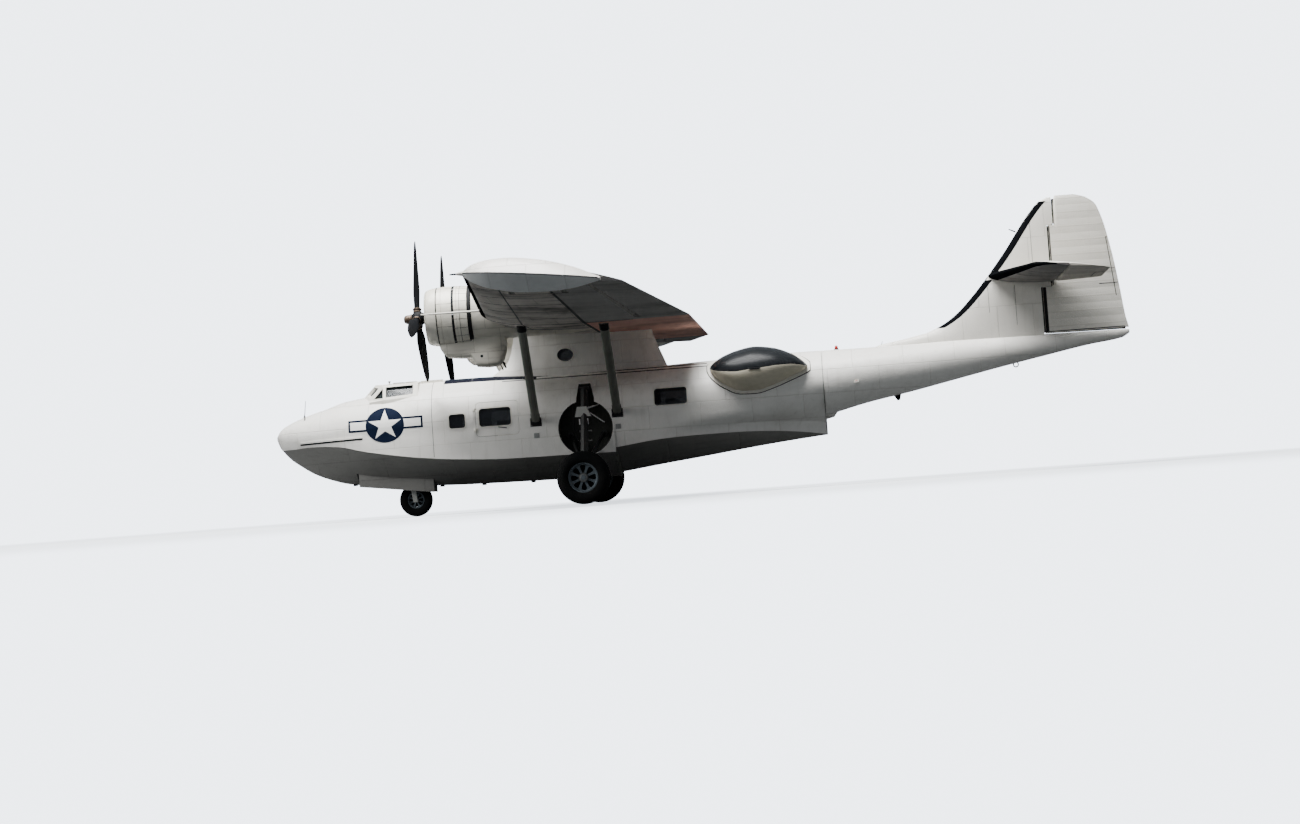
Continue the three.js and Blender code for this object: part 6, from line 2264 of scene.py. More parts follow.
@dataclass
class Windows:
    """Panes and frames of the windows, with the hatch's handle and hinges."""

    sunk: Pair = (-0.034, -0.026)
    proud: Pair = (-0.004, 0.007)
    edge: float = 0.022
    barrels: Pairs = ((1.79, 1.87), (2.23, 2.31))

    def one(self, name: str, window: Window, sign: int, body: str = AIRFRAME) -> None:
        """Builds one window's pane and frame."""
        pane = Shape()
        side_plate(pane, *outline_cells(dense(window.outline(0.012)), 8), sign, self.sunk)
        fit(pane.build(f"{window.name}_{name}_pane", Finish.GLASS), body)
        rim = Shape()
        around = ring_cells(dense(window.outline(-0.004)), dense(window.outline(self.edge)))
        side_plate(rim, *around, sign, self.proud)
        fit(rim.build(f"{window.name}_{name}_frame", Finish.FRAME), body)

    def oval(self, name: str, sign: int) -> None:
        """Builds the pylon's oval window on one side."""
        x, z, wide, high = Pylon.window
        turns = angles(48)
        rings = [
            [
                place(x + (wide + 0.012) * math.cos(a), sign * y, z + (high + 0.012) * math.sin(a))
                for a in turns
            ]
            for y in (0.452, 0.462)
        ]
        fit(Shape().loft(rings).build(f"pylon_window_{name}_pane", Finish.GLASS))
        edge = [(x + (wide + 0.008) * math.cos(a), z + (high + 0.008) * math.sin(a)) for a in turns]
        pylon = Pylon()
        course = Course([place(px, sign * pylon.half_at(px, pz), pz) for px, pz in edge], None, True)
        ring = repeat(f"pylon_window_{name}_frame", Unit.TUBE, [course], Finish.FRAME, 0.012, Sides=8)
        fit(ring)

    def hatch_fittings(self) -> None:
        """Builds the hatch's hinge barrels and handle."""
        x = HATCH.x[0]
        for body, way in (("side_hatch", 1), (AIRFRAME, -1)):
            shape = Shape()
            for low, high in self.barrels:
                middle = (low + high) / 2
                start, end = (middle + 0.0003, high) if way > 0 else (low, middle - 0.0003)
                shape.rod(place(x, -1.535, start), place(x, -1.535, end), 0.016)
                near, far = sorted((x, x + 0.045 * way))
                shape.box(place(near, -1.539, start), place(far, -1.48, end))
            if way > 0:
                grip = [HULL.on_side(px, pz, -1, 0.024) for px, pz in ((5.21, 1.86), (5.39, 1.83))]
                feet = [HULL.on_side(px, pz, -1, -0.003) for px, pz in ((5.21, 1.86), (5.39, 1.83))]
                shape.rod(*grip, 0.008, mark=1)
                for foot, end in zip(feet, grip):
                    shape.rod(foot, end, 0.009, mark=1)
            fit(shape.build(f"hatch_hinges_{body}", Finish.FRAME, Finish.FITTING), body)

    def build(self) -> None:
        """Builds all the windows."""
        for name, sign in SIDES.items():
            self.one(name, FORWARD_WINDOW, sign)
            self.one(name, WAIST_WINDOW, sign)
            self.one(name, HATCH_WINDOW, sign, AIRFRAME if sign > 0 else "side_hatch")
            self.oval(name, sign)
        self.hatch_fittings()


@dataclass
class Cabin:
    """Frames, floors and lockers seen through the windows and blisters."""

    fore: tuple[float, ...] = (3.95, 4.58, 5.78, 6.10, 6.45)
    aft: tuple[float, ...] = (7.95, 8.30, 8.62, 9.56, 9.86)
    inset: float = 0.075
    floors: Rows = (
        (3.79, 7.70, 0.88, 1.055, 1.075), (7.88, 9.70, 0.72, 1.355, 1.375), (9.90, 11.60, 0.50, 1.720, 1.745)
    )
    lockers: Rows = (
        (4.24, 4.34, 0.96, 1.10, 1.075, 1.975), (5.14, 5.56, 1.00, 1.12, 1.075, 2.010),
        (5.80, 6.40, 0.93, 1.25, 1.075, 1.500), (8.95, 9.18, 0.85, 1.10, 1.380, 2.215),
        (8.20, 8.62, 0.82, 1.10, 1.380, 1.700)
    )

    def build(self) -> None:
        """Builds the frames and stringers, then the floors and lockers."""
        courses = []
        for x in (*self.fore, *self.aft):
            ring = HULL.ring(x, self.inset, x < SHELL.step_x)
            courses.append(Course(ring[HULL.bottom_steps : len(ring) - HULL.bottom_steps + 1]))
        for sign in SIDES.values():
            for z in (2.56, 2.78):
                courses.append(
                    Course([HULL.on_side(x, z, sign, -self.inset) for x in spread(3.80, 6.50, 30)])
                )
                courses.append(
                    Course([HULL.on_side(x, z, sign, -self.inset) for x in spread(7.88, 9.70, 20)])
                )
        fit(repeat("hull_frames", Unit.TUBE, courses, Finish.INSIDE, 0.016, Sides=8))
        shape = Shape()
        for x0, x1, half, low, high in self.floors:
            shape.box(place(x0, -half, low), place(x1, half, high))
        for x0, x1, near, far, low, high in self.lockers:
            for sign in SIDES.values():
                shape.side_box(sign, (x0, x1), (near, far), (low, high), 1)
        fit(shape.build("cabin_floors", Finish.INSIDE, Finish.LINING))


@dataclass
class Cockpit:
    """Control wheels, dials and roof fittings of the cockpit."""

    dial_rows: tuple[float, ...] = (2.40, 2.50)
    roof: Pairs = ((2.80, 3.01), (3.09, 3.30))

    def build(self) -> None:
        """Builds them."""
        wheels = []
        along = (place(2.56, 0, 2.33) - place(2.40, 0, 2.40)).normalized()
        for sign in SIDES.values():
            middle = place(2.57, sign * 0.48, 2.33)
            wheels.append(Course(circle(middle, along, 0.14, 32), None, True))
            wheels.append(Course([middle + Vector((0, y, 0)) for y in (-0.14, 0.0, 0.14)]))
        fit(repeat("control_wheels", Unit.TUBE, wheels, Finish.FITTING, 0.011, Sides=10))
        shape = Shape()
        for z in self.dial_rows:
            for y in spread(-0.64, 0.64, 11):
                shape.rod(place(2.395, y, z), place(2.406, y, z), 0.040, sides=24)
                shape.rod(place(2.400, y, z), place(2.409, y, z), 0.032, sides=24, mark=1)
        for y in spread(-0.10, 0.10, 4):
            shape.rod(place(2.46, y, 2.56), place(2.50, y, 2.66), 0.007, sides=8, mark=2)
            shape.rod(place(2.495, y, 2.65), place(2.51, y, 2.68), 0.014, sides=12, mark=2)
        shape.box(place(2.36, -0.16, 2.50), place(2.52, 0.16, 2.57), 2)
        shape.box(place(2.66, -0.17, 2.93), place(3.02, 0.17, 2.985), 0)
        for i, y in enumerate(spread(-0.10, 0.10, 3)):
            shape.rod(place(2.80, y, 2.95), place(2.76 + 0.03 * i, y, 2.83), 0.009, sides=8, mark=2)
        for sign in SIDES.values():
            rings = []
            for z, wide, deep in (
                (2.15, 0.17, 0.045), (2.45, 0.20, 0.05), (2.68, 0.18, 0.045), (2.80, 0.12, 0.035),
                (2.84, 0.05, 0.02)
            ):
                lean = 0.25 * (z - 2.15)
                middle = place(3.08 + lean, sign * 0.50, z)
                rings.append(
                    [middle + Vector((deep * math.cos(a), wide * math.sin(a), 0)) for a in angles(24)]
                )
            shape.loft(rings, 3, 3)
        finishes = (Finish.FITTING, Finish.LINING, Finish.BOOT, Finish.SEAT)
        fit(shape.build("instrument_dials", *finishes))
        roof = Shape()
        for x in self.roof:
            for sign in SIDES.values():
                roof.side_box(sign, x, (0.10, 0.43), (3.030, 3.0615), 0)
                around = (x[0] - 0.02, x[1] + 0.02)
                roof.side_box(sign, around, (0.10 - 0.02, 0.43 + 0.02), (3.026, 3.0585), 1)
        roof.rod(place(2.65, 0.0, 3.04), place(2.65, 0.0, 3.10), 0.016, mark=1)
        roof.rod(place(2.65, 0.0, 3.09), place(2.65, 0.0, 3.12), 0.028, mark=2)
        for sign in SIDES.values():
            roof.side_box(sign, (3.43, 3.93), (0.47, 0.50), (2.99, 3.055), 1)
        fit(roof.build("cockpit_roof_fittings", Finish.GLASS, Finish.FRAME, Finish.FITTING))


@dataclass
class HullFittings:
    """Rails, masts, lights, lines and rivets on the outside of the hull and tail boom."""

    hoops: Pairs = (
        (0.90, 1.77), (1.42, 1.73), (1.92, 1.62), (3.68, 1.31), (3.76, 1.30), (4.60, 1.22), (5.76, 1.17),
        (6.44, 1.17), (7.84, 1.26), (8.40, 1.32), (9.58, 1.40), (12.46, 1.24)
    )
    low_hoops: tuple[float, ...] = (10.15, 10.80, 11.45, 12.10)
    rows: Rows = (
        (1.47, 3.80, 6.50), (2.55, 3.80, 6.90), (2.55, 7.50, 9.90), (1.80, 7.90, 12.40), (1.52, 7.90, 12.20)
    )
    boom_hoops: tuple[float, ...] = (12.56, 12.60, 13.50, 14.50, 15.50, 16.50, 17.50)

    def rivets(self) -> None:
        """Sets rows of rivets round the hull and boom and along their plates."""
        courses = []
        for sign in SIDES.values():
            for x, low in self.hoops:
                top = HULL.lines_at(x).top
                heights = [mix(low, top - 0.004, math.sin(t * math.pi / 2)) for t in spread(0.0, 1.0, 34)]
                courses.append(side_course([(x, z) for z in heights], sign))
            for x in self.low_hoops:
                courses.append(side_course([(x, z) for z in spread(1.40, 2.10, 20)], sign))
            for z, start, end in self.rows:
                courses.append(side_course([(x, z) for x in spread(start, end, 40)], sign))
        for x in self.boom_hoops:
            ring = SHELL.boom_ring(x, 0.0)
            middle = sum(ring, Vector()) / len(ring)
            courses.append(Course(ring, [(p - middle).normalized() for p in ring], True))
        studs = repeat(
            "hull_rivets", Unit.STUD, courses, Finish.CREAM, 0.006, Pitch=0.07, Depth=0.003, Sides=8
        )
        fit(studs)

    def strips(self) -> None:
        """Builds the bow rails with the painted shadow under them, the deck lines and the dark upright strips
        at 3.72 m and 12.50 m aft of the bow.
        """
        shape = Shape()
        for sign in SIDES.values():
            rail = [(x, mix(1.845, 1.865, (x - 0.61) / 1.5)) for x in spread(0.61, 2.11, 30)]
            side_strip(shape, rail, sign, 0.034, 0.022)
            # The dark strip just under each bow rail is painted shadow of the rail.
            side_strip(shape, [(x, z - 0.036) for x, z in rail], sign, 0.04, 0.003, 1)
            for z in (2.95, 2.885):
                side_strip(shape, [(x, z) for x in spread(5.30, 9.92, 60)], sign, 0.013, 0.004, 2)
            for x in (3.72, 12.50):
                top = HULL.lines_at(x).top - 0.02
                low = HULL.lines_at(x).chine_z + 0.03
                side_strip(shape, [(x, z) for z in spread(low, top, 40)], sign, 0.010, 0.003, 3)
        fit(
            shape.build("hull_strips", Finish.CREAM, Finish.FITTING, Finish.DECK_BLUE, Finish.WELL),
        )

    def masts(self) -> None:
        """Builds the masts, lights, tail ring and other small fittings."""
        shape = Shape()
        shape.rod(place(0.64, 0, 2.41), place(0.655, 0, 2.475), 0.035, 0.022)
        shape.rod(place(0.65, 0, 2.44), place(0.70, 0, 2.82), 0.010, 0.006, mark=1)
        shape.rod(place(0.72, -0.44, 2.22), place(0.72, -0.44, 2.48), 0.014, mark=1)
        shape.rod(place(12.85, 0, 3.04), place(12.85, 0, 3.085), 0.052, mark=1)
        shape.rod(place(12.85, 0, 3.08), place(12.85, 0, 3.15), 0.042, 0.030, mark=2)
        shape.rod(place(13.86, 0, 3.03), place(13.90, 0, 3.17), 0.010, 0.005, mark=1)
        for x in (1.66, 3.64, 4.60, 5.72):
            keel = HULL.lines_at(x).keel
            shape.box(place(x, -0.022, keel - 0.035), place(x + 0.10, 0.022, keel + 0.015), 1)
        low = BOOM.at(14.14).bottom
        blade = [(14.05, low + 0.02), (14.24, low + 0.04), (14.20, low - 0.11), (14.14, low - 0.12)]
        wedge = [(12.505, 1.60), (12.87, 1.77), (12.69, 1.54), (12.505, 1.50)]
        for outline, half, mark in ((blade, 0.012, 1), (wedge, 0.03, 0)):
            rings = [[place(x, y, z) for x, z in outline] for y in (-half, half)]
            shape.loft(rings, mark, mark)
        for sign in SIDES.values():
            shape.side_box(sign, (13.18, 13.30), (0.80, 0.848), (2.26, 2.32), 3)
            shape.rod(place(13.24, sign * 0.84, 2.29), place(13.24, sign * 0.862, 2.29), 0.022, mark=2)
        made = shape.build("hull_masts_and_lights", Finish.CREAM, Finish.FITTING, Finish.RED, Finish.FRAME)
        fit(made)
        eye = place(16.86, 0, BOOM.at(16.86).bottom - 0.03)
        course = Course(circle(eye, STARBOARD, 0.055, 24), None, True)
        fit(repeat("tail_ring", Unit.TUBE, [course], Finish.FITTING, 0.014, Sides=10))

    def build(self) -> None:
        """Builds them all."""
        self.rivets()
        self.strips()
        self.masts()


# Fittings on the wing, tail, engines and gear


@dataclass
class WingFittings:
    """Joint covers, walkways, filler caps and rivets on the wing, and the floats' edges."""

    seams: tuple[float, ...] = (1.30, 2.05, 3.15, 4.30, 7.00, 8.60, 10.25, 11.90, 13.50)
    split_spans: Pairs = ((0.50, 5.44), (5.54, 12.66), (12.84, 14.92))

    def covers(self) -> None:
        """Builds the strips over the wing's joints and its walkways."""
        shape = Shape()
        for sign in SIDES.values():
            for start, end in self.split_spans:
                for face in (1, -1):
                    foil_band(shape, WING, spread(start, end, 10), 0.494, 0.508, face, sign, mark=0)
            for span in self.seams:
                foil_band(shape, WING, (span - 0.011, span + 0.011), 0.07, 0.485, -1, sign, 16)
                foil_band(shape, WING, (span - 0.008, span + 0.008), 0.07, 0.485, 1, sign, 16, mark=1)
            for face in (1, -1):
                foil_band(
                    shape, WING, (5.46, 5.52), 0.035, 0.735, face, sign, 26, 0.006, 1 if face > 0 else 0
                )
            foil_band(shape, WING, (0.62, 0.98), 0.16, 0.47, 1, sign, 14, 0.004, 2)
            foil_band(shape, WING, (0.55, 5.40), 0.20, 0.207, -1, sign, 1, 0.004, 0)
            foil_band(shape, WING, spread(5.60, 14.80, 12), 0.20, 0.207, -1, sign, 1, 0.004, 0)
            for span, u in ((1.62, 0.30), (1.62, 0.42), (3.75, 0.30)):
                root, out = WING.point(span, u, 1, -0.004, sign), WING.point(span, u, 1, 0.012, sign)
                shape.rod(root, out, 0.07, sides=32, mark=1)
                shape.rod(root, out + (out - root) * 0.4, 0.03, sides=16, mark=2)
        made = shape.build("wing_joint_covers", Finish.FITTING, Finish.FRAME, Finish.BOOT)
        fit(made)

    def rivets(self) -> None:
        """Sets rivets beside the wing's seams."""
        courses = []
        for sign in SIDES.values():
            for span in (*self.seams, 5.49):
                for at in (span - 0.05, span + 0.05):
                    for face in (1, -1):
                        stops = spread(0.08, 0.48, 16)
                        points = [WING.point(at, u, face, 0.0, sign) for u in stops]
                        tips = [WING.point(at, u, face, 0.01, sign) for u in stops]
                        courses.append(Course(points, [(t - p).normalized() for p, t in zip(points, tips)]))
        studs = repeat(
            "wing_rivets", Unit.STUD, courses, Finish.WING_UNDER, 0.006, Pitch=0.10, Depth=0.003, Sides=6
        )
        fit(studs)

    def floats(self) -> None:
        """Builds each float's joint line, nose spike and light."""
        depth = Line(FLOATS.keys, FLOATS.depths)
        for name, sign in SIDES.items():
            points = []
            for x in spread(6.06, 8.56, 50):
                points.append(place(x, sign * (FLOATS.deck_y + depth(x) - 0.001), FLOATS.deck_z(x)))
            seam = repeat(f"float_{name}_seam", Unit.TUBE, [Course(points)], Finish.FITTING, 0.009, Sides=8)
            fit(seam, f"float_{name}")
            y, z = sign * (FLOATS.deck_y + 0.12), FLOATS.deck_z(6.06)
            shape = Shape().rod(place(5.81, y, z), place(5.96, y, z), 0.014, 0.020)
            shape.rod(place(5.92, y, z), place(6.14, y, z), 0.019, 0.064, mark=1)
            fit(
                shape.build(f"float_{name}_spike", Finish.FITTING, Finish.FLOAT),
                f"float_{name}"
            )

    def build(self) -> None:
        """Builds them all."""
        self.covers()
        self.rivets()
        self.floats()


@dataclass
class TailFittings:
    """Lines, tabs and small fittings of the tail."""

    def rudder(self) -> None:
        """Builds the painted shade in the gaps at the rudder's leading edge and foot, the tab outline and the
        horn.
        """
        shape, at = Shape(), FIN.crossing

        def tab(shift: float) -> Callable[[float], float]:
            """Returns the tab's slanting hinge line, moved aft by shift."""
            return lambda span: FIN.share_at(span, mix(19.22, 19.08, (span - 3.80) / 1.335) + shift)

        # Dark slats in the gap between the fin's steps and the rudder are painted shade of that gap.
        for start, end, low, high in (
            (17.556, 17.60, 3.075, 4.095), (17.786, 17.83, 4.115, 5.48), (17.926, 17.99, 5.52, 6.08)
        ):
            shape.box(place(start, -0.01, low), place(end, 0.01, high))
        # A dark sheet between the boom and the rudder's foot is painted shade of the gap under the rudder.
        rings = []
        for x in spread(17.575, 19.38, 20):
            low = BOOM.at(x).top + 0.006
            rings.append(
                [place(x, y, z) for y, z in ((-0.01, low), (0.01, low), (0.01, 3.09), (-0.01, 3.09))]
            )
        shape.loft(rings)
        for face in (1, -1):
            # The first two bands darken the rudder's leading edge and the third its foot, as painted shade of
            # the gaps; the other bands outline the tab.
            foil_band(shape, FIN, spread(3.08, 4.09, 10), at(17.587), at(17.66), face, rise=0.003)
            foil_band(shape, FIN, spread(4.13, 5.47, 10), at(17.818), at(17.84), face, rise=0.003)
            foil_band(shape, FIN, (3.082, 3.100), at(17.66), at(19.36), face, cells=14, rise=0.003)
            foil_band(shape, FIN, spread(3.80, 5.135, 10), tab(0.0), tab(0.016), face, rise=0.003)
            foil_band(shape, FIN, (4.083, 4.097), at(18.86), at(19.30), face, cells=5, rise=0.003)
            foil_band(shape, FIN, (5.128, 5.142), at(19.08), at(19.12), face, rise=0.003)
            foot, end = FIN.share_at(4.42, 19.06), FIN.share_at(4.42, 19.24)
            root, tip, bend = (FIN.point(4.42, foot, face, proud) for proud in (-0.004, 0.05, 0.045))
            shape.rod(root, tip, 0.010)
            shape.rod(bend, FIN.point(4.42, end, face, 0.03), 0.006)
        fit(shape.build("rudder_lines_and_gap_shade", Finish.FITTING), "rudder")

    def fixed(self) -> None:
        """Builds the fin's aerial and the strips on the fixed tail."""
        shape = Shape()
        shape.rod(place(17.08, 0, 5.40), place(16.93, 0, 5.47), 0.018, 0.012)
        at = FIN.crossing

        def wide(span: float) -> float:
            """Returns the boot's width as a share of the chord."""
            row = FIN.lines.at(span)
            return 0.17 / (row.trail_x - row.lead_x)

        for face in (1, -1):
            for low, high in Tail.booted:
                foil_band(shape, FIN, spread(low, high, 18), 0.0, wide, face, 1, 8, 0.003, 2)
            for x, low, high in ((16.35, 3.62, 4.20), (16.95, 3.30, 4.20), (17.40, 4.62, 5.60)):
                foil_band(shape, FIN, spread(low, high, 8), at(x), at(x + 0.008), face, rise=0.003, mark=1)
        for sign in SIDES.values():
            for span in (1.05, 2.10, 3.15):
                foil_band(shape, TAILPLANE, (span - 0.006, span + 0.006), 0.08, 0.50, 1, sign, 12, 0.003, 1)
                foil_band(shape, TAILPLANE, (span - 0.006, span + 0.006), 0.08, 0.50, -1, sign, 12, 0.003)
            shape.side_box(sign, (17.60, 17.86), (0.10, 0.20), (4.235, 4.30))
        fit(shape.build("tail_strips", Finish.FITTING, Finish.WELL, Finish.BOOT))

    def tabs(self, name: str, sign: int) -> None:
        """Builds one elevator's tab outline."""
        shape, at = Shape(), TAILPLANE.crossing
        for face in (1, -1):
            foil_band(shape, TAILPLANE, spread(1.10, 2.60, 6), at(18.60), at(18.612), face, sign, rise=0.003)
            for span in (1.10, 2.60):
                ends = at(18.60), at(18.80)
                foil_band(shape, TAILPLANE, (span - 0.006, span + 0.006), *ends, face, sign, 4, 0.003)
        fit(shape.build(f"elevator_{name}_lines", Finish.FITTING), f"elevator_{name}")

    def build(self) -> None:
        """Builds them all."""
        self.rudder()
        self.fixed()
        for name, sign in SIDES.items():
            self.tabs(name, sign)


@dataclass
class PowerTrim:
    """Bands, seams, exhausts and pipes of the power units."""

    bands: Pairs = ((4.183, 0.011), (4.548, 0.026), (4.70, 0.004))
    seams: int = 8
    flaps: int = 20

    def build(self) -> None:
        """Builds both sides."""
        unit = PowerUnit()
        skin = Line([x for x, _ in unit.profile[6:13]], [r for _, r in unit.profile[6:13]])
        for name, sign in SIDES.items():
            axis, y = unit.axis(sign), sign * unit.thrust_y
            shape = Shape()
            for x, half in self.bands:
                r = skin(x)
                ring = (
                    (x - half, r - 0.008), (x - half, r + 0.003), (x + half, r + 0.003), (x + half, r - 0.008)
                )
                shape.lathe(ring, axis, AFT, 72)
            collector = (
                (4.866, 0.56), (4.866, 0.615), (4.880, 0.628), (4.925, 0.628), (4.940, 0.61), (4.940, 0.56)
            )
            shape.lathe(collector, axis, AFT, 72)
            for count, stops in ((self.seams, (4.19, 4.53)), (self.flaps, (4.575, 4.855))):
                for turn in angles(count, 0.5):
                    ends = [axis + AFT * x + spoke(turn) * (skin(x) - 0.001) for x in stops]
                    shape.rod(*ends, 0.0045, sides=6)
            for turn in angles(6, 0.5):
                middle = axis + AFT * 4.548 + spoke(turn) * skin(4.548)
                shape.rod(middle - AFT * 0.03, middle + AFT * 0.03, 0.010, sides=8, mark=1)
            top = unit.thrust_z + 0.575
            for shift in (-0.30, 0.30):
                drop = 0.585 - math.sqrt(0.585**2 - shift**2)
                start = place(4.93, y + shift, top - drop)
                shape.rod(start, place(5.22, y + shift, top - drop - 0.02), 0.048, 0.042, mark=2)
            for edge in (-1, 1):
                root = place(5.087, y + edge * 0.272, 3.413)
                shape.rod(root, root + Vector((0, edge * 0.012, 0)), 0.030, mark=2)
            shape.rod(place(5.50, y, 3.30), place(5.58, y, 3.12), 0.020)
            shape.rod(place(5.44, y - sign * 0.12, 3.24), place(5.50, y - sign * 0.12, 3.08), 0.014)
            finishes = (Finish.FITTING, Finish.BARE, Finish.BOOT)
            fit(shape.build(f"power_trim_{name}", *finishes))
            hoops = ((3.985, 0.30), (4.06, 0.36))
            rings = [Course(circle(axis + AFT * x, AFT, r, 48), None, True) for x, r in hoops]
            fit(repeat(f"ignition_{name}", Unit.TUBE, rings, Finish.BARE, 0.014, Sides=8))


@dataclass
class StrutFittings:
    """Black sleeves and plates at the ends of the wing struts."""

    rows: Rows = ((6.16, 3.95, 6.05, 1.91), (7.93, 3.85, 7.88, 1.98))
    foot_y: float = 1.44
    top_y: float = 4.75

    def build(self) -> None:
        """Builds them on all four struts."""
        shape = Shape()
        for sign in SIDES.values():
            for head_x, head_z, foot_x, foot_z in self.rows:
                foot, head = place(
                    foot_x, sign * self.foot_y, foot_z
                ), place(head_x, sign * self.top_y, head_z)
                along = (head - foot).normalized()
                chord = (AFT - along * along.x).normalized()
                thick = along.cross(chord)
                length = (head - foot).length
                for start, end in ((0.04, 0.30), (length - 0.26, length - 0.01), (0.30, 0.33)):
                    rings = []
                    for stop in (start, end):
                        turns = [(0.104 * math.cos(a), 0.047 * math.sin(a)) for a in angles(32)]
                        middle = foot + along * stop
                        rings.append([middle + chord * wide + thick * deep for wide, deep in turns])
                    shape.loft(rings)
                cells = grid_cells(
                    spread(foot_x - 0.125, foot_x + 0.125, 8), spread(foot_z - 0.10, foot_z + 0.09, 8)
                )
                side_plate(shape, *cells, sign, (-0.003, 0.010))
                for x in (-0.105, 0.105):
                    for z in (-0.08, 0.07):
                        bolt = [HULL.on_side(foot_x + x, foot_z + z, sign, proud) for proud in (0.0, 0.022)]
                        shape.rod(*bolt, 0.014, sides=6, mark=1)
                cells = grid_cells(
                    spread(foot_x - 0.06, foot_x + 0.06, 4), spread(foot_z - 0.36, foot_z - 0.25, 4)
                )
                side_plate(shape, *cells, sign, (-0.003, 0.006), 1)
        fit(shape.build("strut_fittings", Finish.FITTING, Finish.BARE))


@dataclass
class GearFittings:
    """Castings, rods and pipes round the main gear legs."""

    casting: Pairs = ((6.94, 1.945), (7.30, 1.945), (7.21, 2.17), (7.00, 2.17))

    def build(self) -> None:
        """Builds both sides."""
        shape = Shape()
        for sign in SIDES.values():
            rings = [[place(x, sign * y, z) for x, z in self.casting] for y in (1.50, 1.69)]
            shape.loft(rings)
            for i in range(5):
                x = 7.03 + 0.045 * i
                shape.side_box(sign, (x, x + 0.026), (1.60, 1.72), (1.77, 1.90), 1)
            shape.rod(place(7.28, sign * 1.64, 2.02), place(7.58, sign * 1.50, 1.79), 0.015, mark=1)
            shape.rod(place(7.20, sign * 1.66, 2.12), place(7.46, sign * 1.30, 2.20), 0.018, mark=1)
            shape.rod(place(6.90, sign * 1.46, 1.68), place(6.90, sign * 1.46, 2.25), 0.013, mark=2)
            shape.rod(place(6.90, sign * 1.46, 1.70), place(6.98, sign * 1.75, 1.42), 0.011, mark=2)
            for z in (1.40, 1.62):
                y = sign * mix(1.33, 2.25, (2.56 - z) / 1.97)
                shape.rod(place(7.03, y, z), place(7.30, y, z), 0.026, mark=3)
        finishes = (Finish.LEG, Finish.STAR, Finish.FITTING, Finish.BARE)
        fit(shape.build("main_gear_fittings", *finishes))


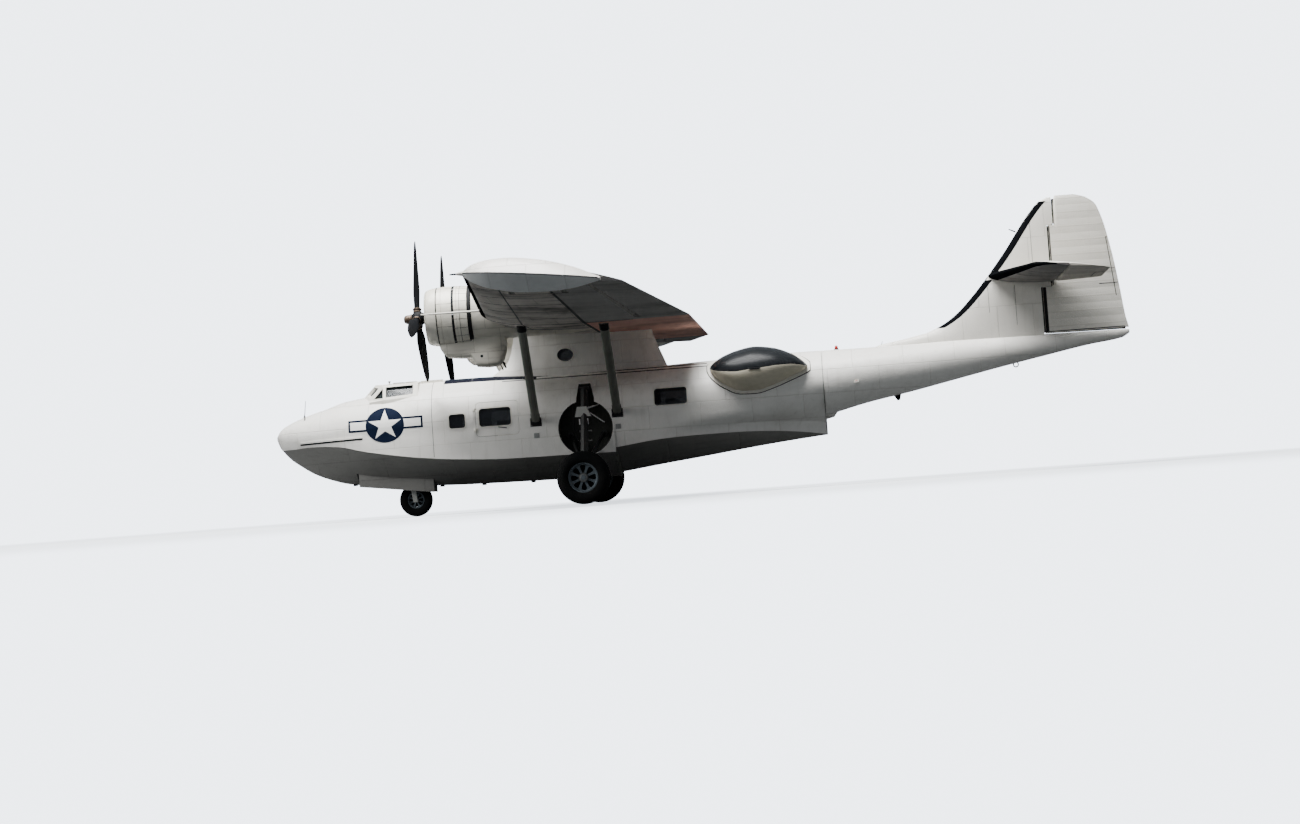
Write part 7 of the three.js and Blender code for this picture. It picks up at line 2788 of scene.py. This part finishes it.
@dataclass
class Studio:
    """Floor, backdrop, lamps and camera."""

    distance: float = 80.0
    azimuth: float = 3.0
    height: float = 0.25
    aim: tuple[float, float, float] = (-1.20, 0.0, 1.97)
    roll: float = -4.3
    lens_share: float = 1.22
    sky: tuple[float, float, float, float] = (0.86, 0.92, 1.0, 1.0)
    sky_fill: float = 0.34
    sky_glow: float = 4.4
    floor_glow: float = 1.8
    fade: Pair = (10.0, 42.0)

    def floor(self) -> None:
        """Lays the floor."""
        reach, low = 260.0, CAD_BOX[0][2] - 0.001
        corners = [
            Vector((x, y, low))
            for x, y in ((-reach, -reach), (reach, -reach), (reach, reach), (-reach, reach))
        ]
        shape = Shape()
        shape.points = corners
        shape.face((0, 1, 2, 3))
        shape.build("floor", Finish.FLOOR)
        nodes = Nodes(Finish.FLOOR.material().node_tree)
        shader = nodes.tree.nodes["Principled BSDF"]
        seen = nodes.add("ShaderNodeLightPath").outputs["Is Camera Ray"]
        away = nodes.add("ShaderNodeVectorMath", {0: nodes.spot()}, operation="LENGTH").outputs["Value"]
        far = nodes.step(away, *self.fade)
        near = nodes.blend(seen, colour("484a4b"), shader.inputs["Base Color"].links[0].from_socket)
        glow = nodes.math("MULTIPLY", far, self.sky_fill + self.sky_glow - self.floor_glow)
        glow = nodes.math("MULTIPLY", seen, nodes.math("ADD", glow, self.floor_glow))
        surface = {
            "Base Color": nodes.blend(far, near, (0.0, 0.0, 0.0, 1.0)), "Emission Color": self.sky,
            "Emission Strength": glow, "Specular IOR Level": 0.0
        }
        nodes.feed(shader, surface)

    def world(self) -> None:
        """Makes the pale sky, brighter to the camera than to what it lights."""
        world = bpy.data.worlds.new("pale_sky")
        world.use_nodes = True
        nodes = Nodes(world.node_tree)
        shade = world.node_tree.nodes["Background"]
        seen = nodes.add("ShaderNodeLightPath").outputs["Is Camera Ray"]
        power = nodes.math("ADD", nodes.math("MULTIPLY", seen, self.sky_glow), self.sky_fill)
        nodes.feed(shade, {"Color": self.sky, "Strength": power})
        bpy.context.scene.world = world

    def lamp(self, name: str, spot: tuple, target: tuple, size: float, power: float) -> None:
        """Hangs one soft lamp."""
        light = bpy.data.lights.new(name, "AREA")
        light.shape, light.size, light.energy = "DISK", size, power
        lamp = bpy.data.objects.new(name, light)
        lamp.location = spot
        lamp.rotation_euler = (Vector(target) - Vector(spot)).to_track_quat("-Z", "Y").to_euler()
        bpy.context.scene.collection.objects.link(lamp)

    def camera(self) -> None:
        """Sets the camera near the floor, square to the port side."""
        target = Vector(self.aim)
        rise = math.asin((self.height - target.z) / self.distance)
        turn = math.radians(self.azimuth)
        back = Vector((math.sin(turn) * math.cos(rise), -math.cos(turn) * math.cos(rise), math.sin(rise)))
        lens = bpy.data.cameras.new("view")
        lens.sensor_width, lens.lens = 36.0, self.lens_share * self.distance
        lens.clip_start, lens.clip_end = 1.0, 900.0
        camera = bpy.data.objects.new("view", lens)
        aimed = (-back).to_track_quat("-Z", "Y").to_matrix().to_4x4()
        tilt = Matrix.Rotation(math.radians(self.roll), 4, "Z")
        camera.matrix_world = Matrix.Translation(target + back * self.distance) @ aimed @ tilt
        bpy.context.scene.collection.objects.link(camera)
        bpy.context.scene.camera = camera

    def build(self) -> None:
        """Sets the studio up."""
        self.floor()
        self.world()
        self.lamp("overhead", (-4.0, -6.0, 30.0), (0.0, 0.0, 2.0), 26.0, 45000.0)
        self.lamp("front_side", (-34.0, -18.0, 16.0), (0.0, 0.0, 2.5), 16.0, 5500.0)
        self.camera()


def main() -> None:
    logging.basicConfig(level=logging.INFO, format="%(message)s")
    builders = (
        SHELL, BlisterGlazing(), Wing(), FLOATS, Tail(), Pylon(), PowerUnit(), Wheels(), Insignia(),
        Windows(), Cabin(), Cockpit(), HullFittings(), WingFittings(), TailFittings(), PowerTrim(),
        StrutFittings(), GearFittings(), PackedPieces(), Studio()
    )
    for builder in builders:
        builder.build()
        LOG.info("%s done", type(builder).__name__)
    for name, sign in SIDES.items():
        Propeller().build(name, sign)
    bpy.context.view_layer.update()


if __name__ == "__main__":
    main()
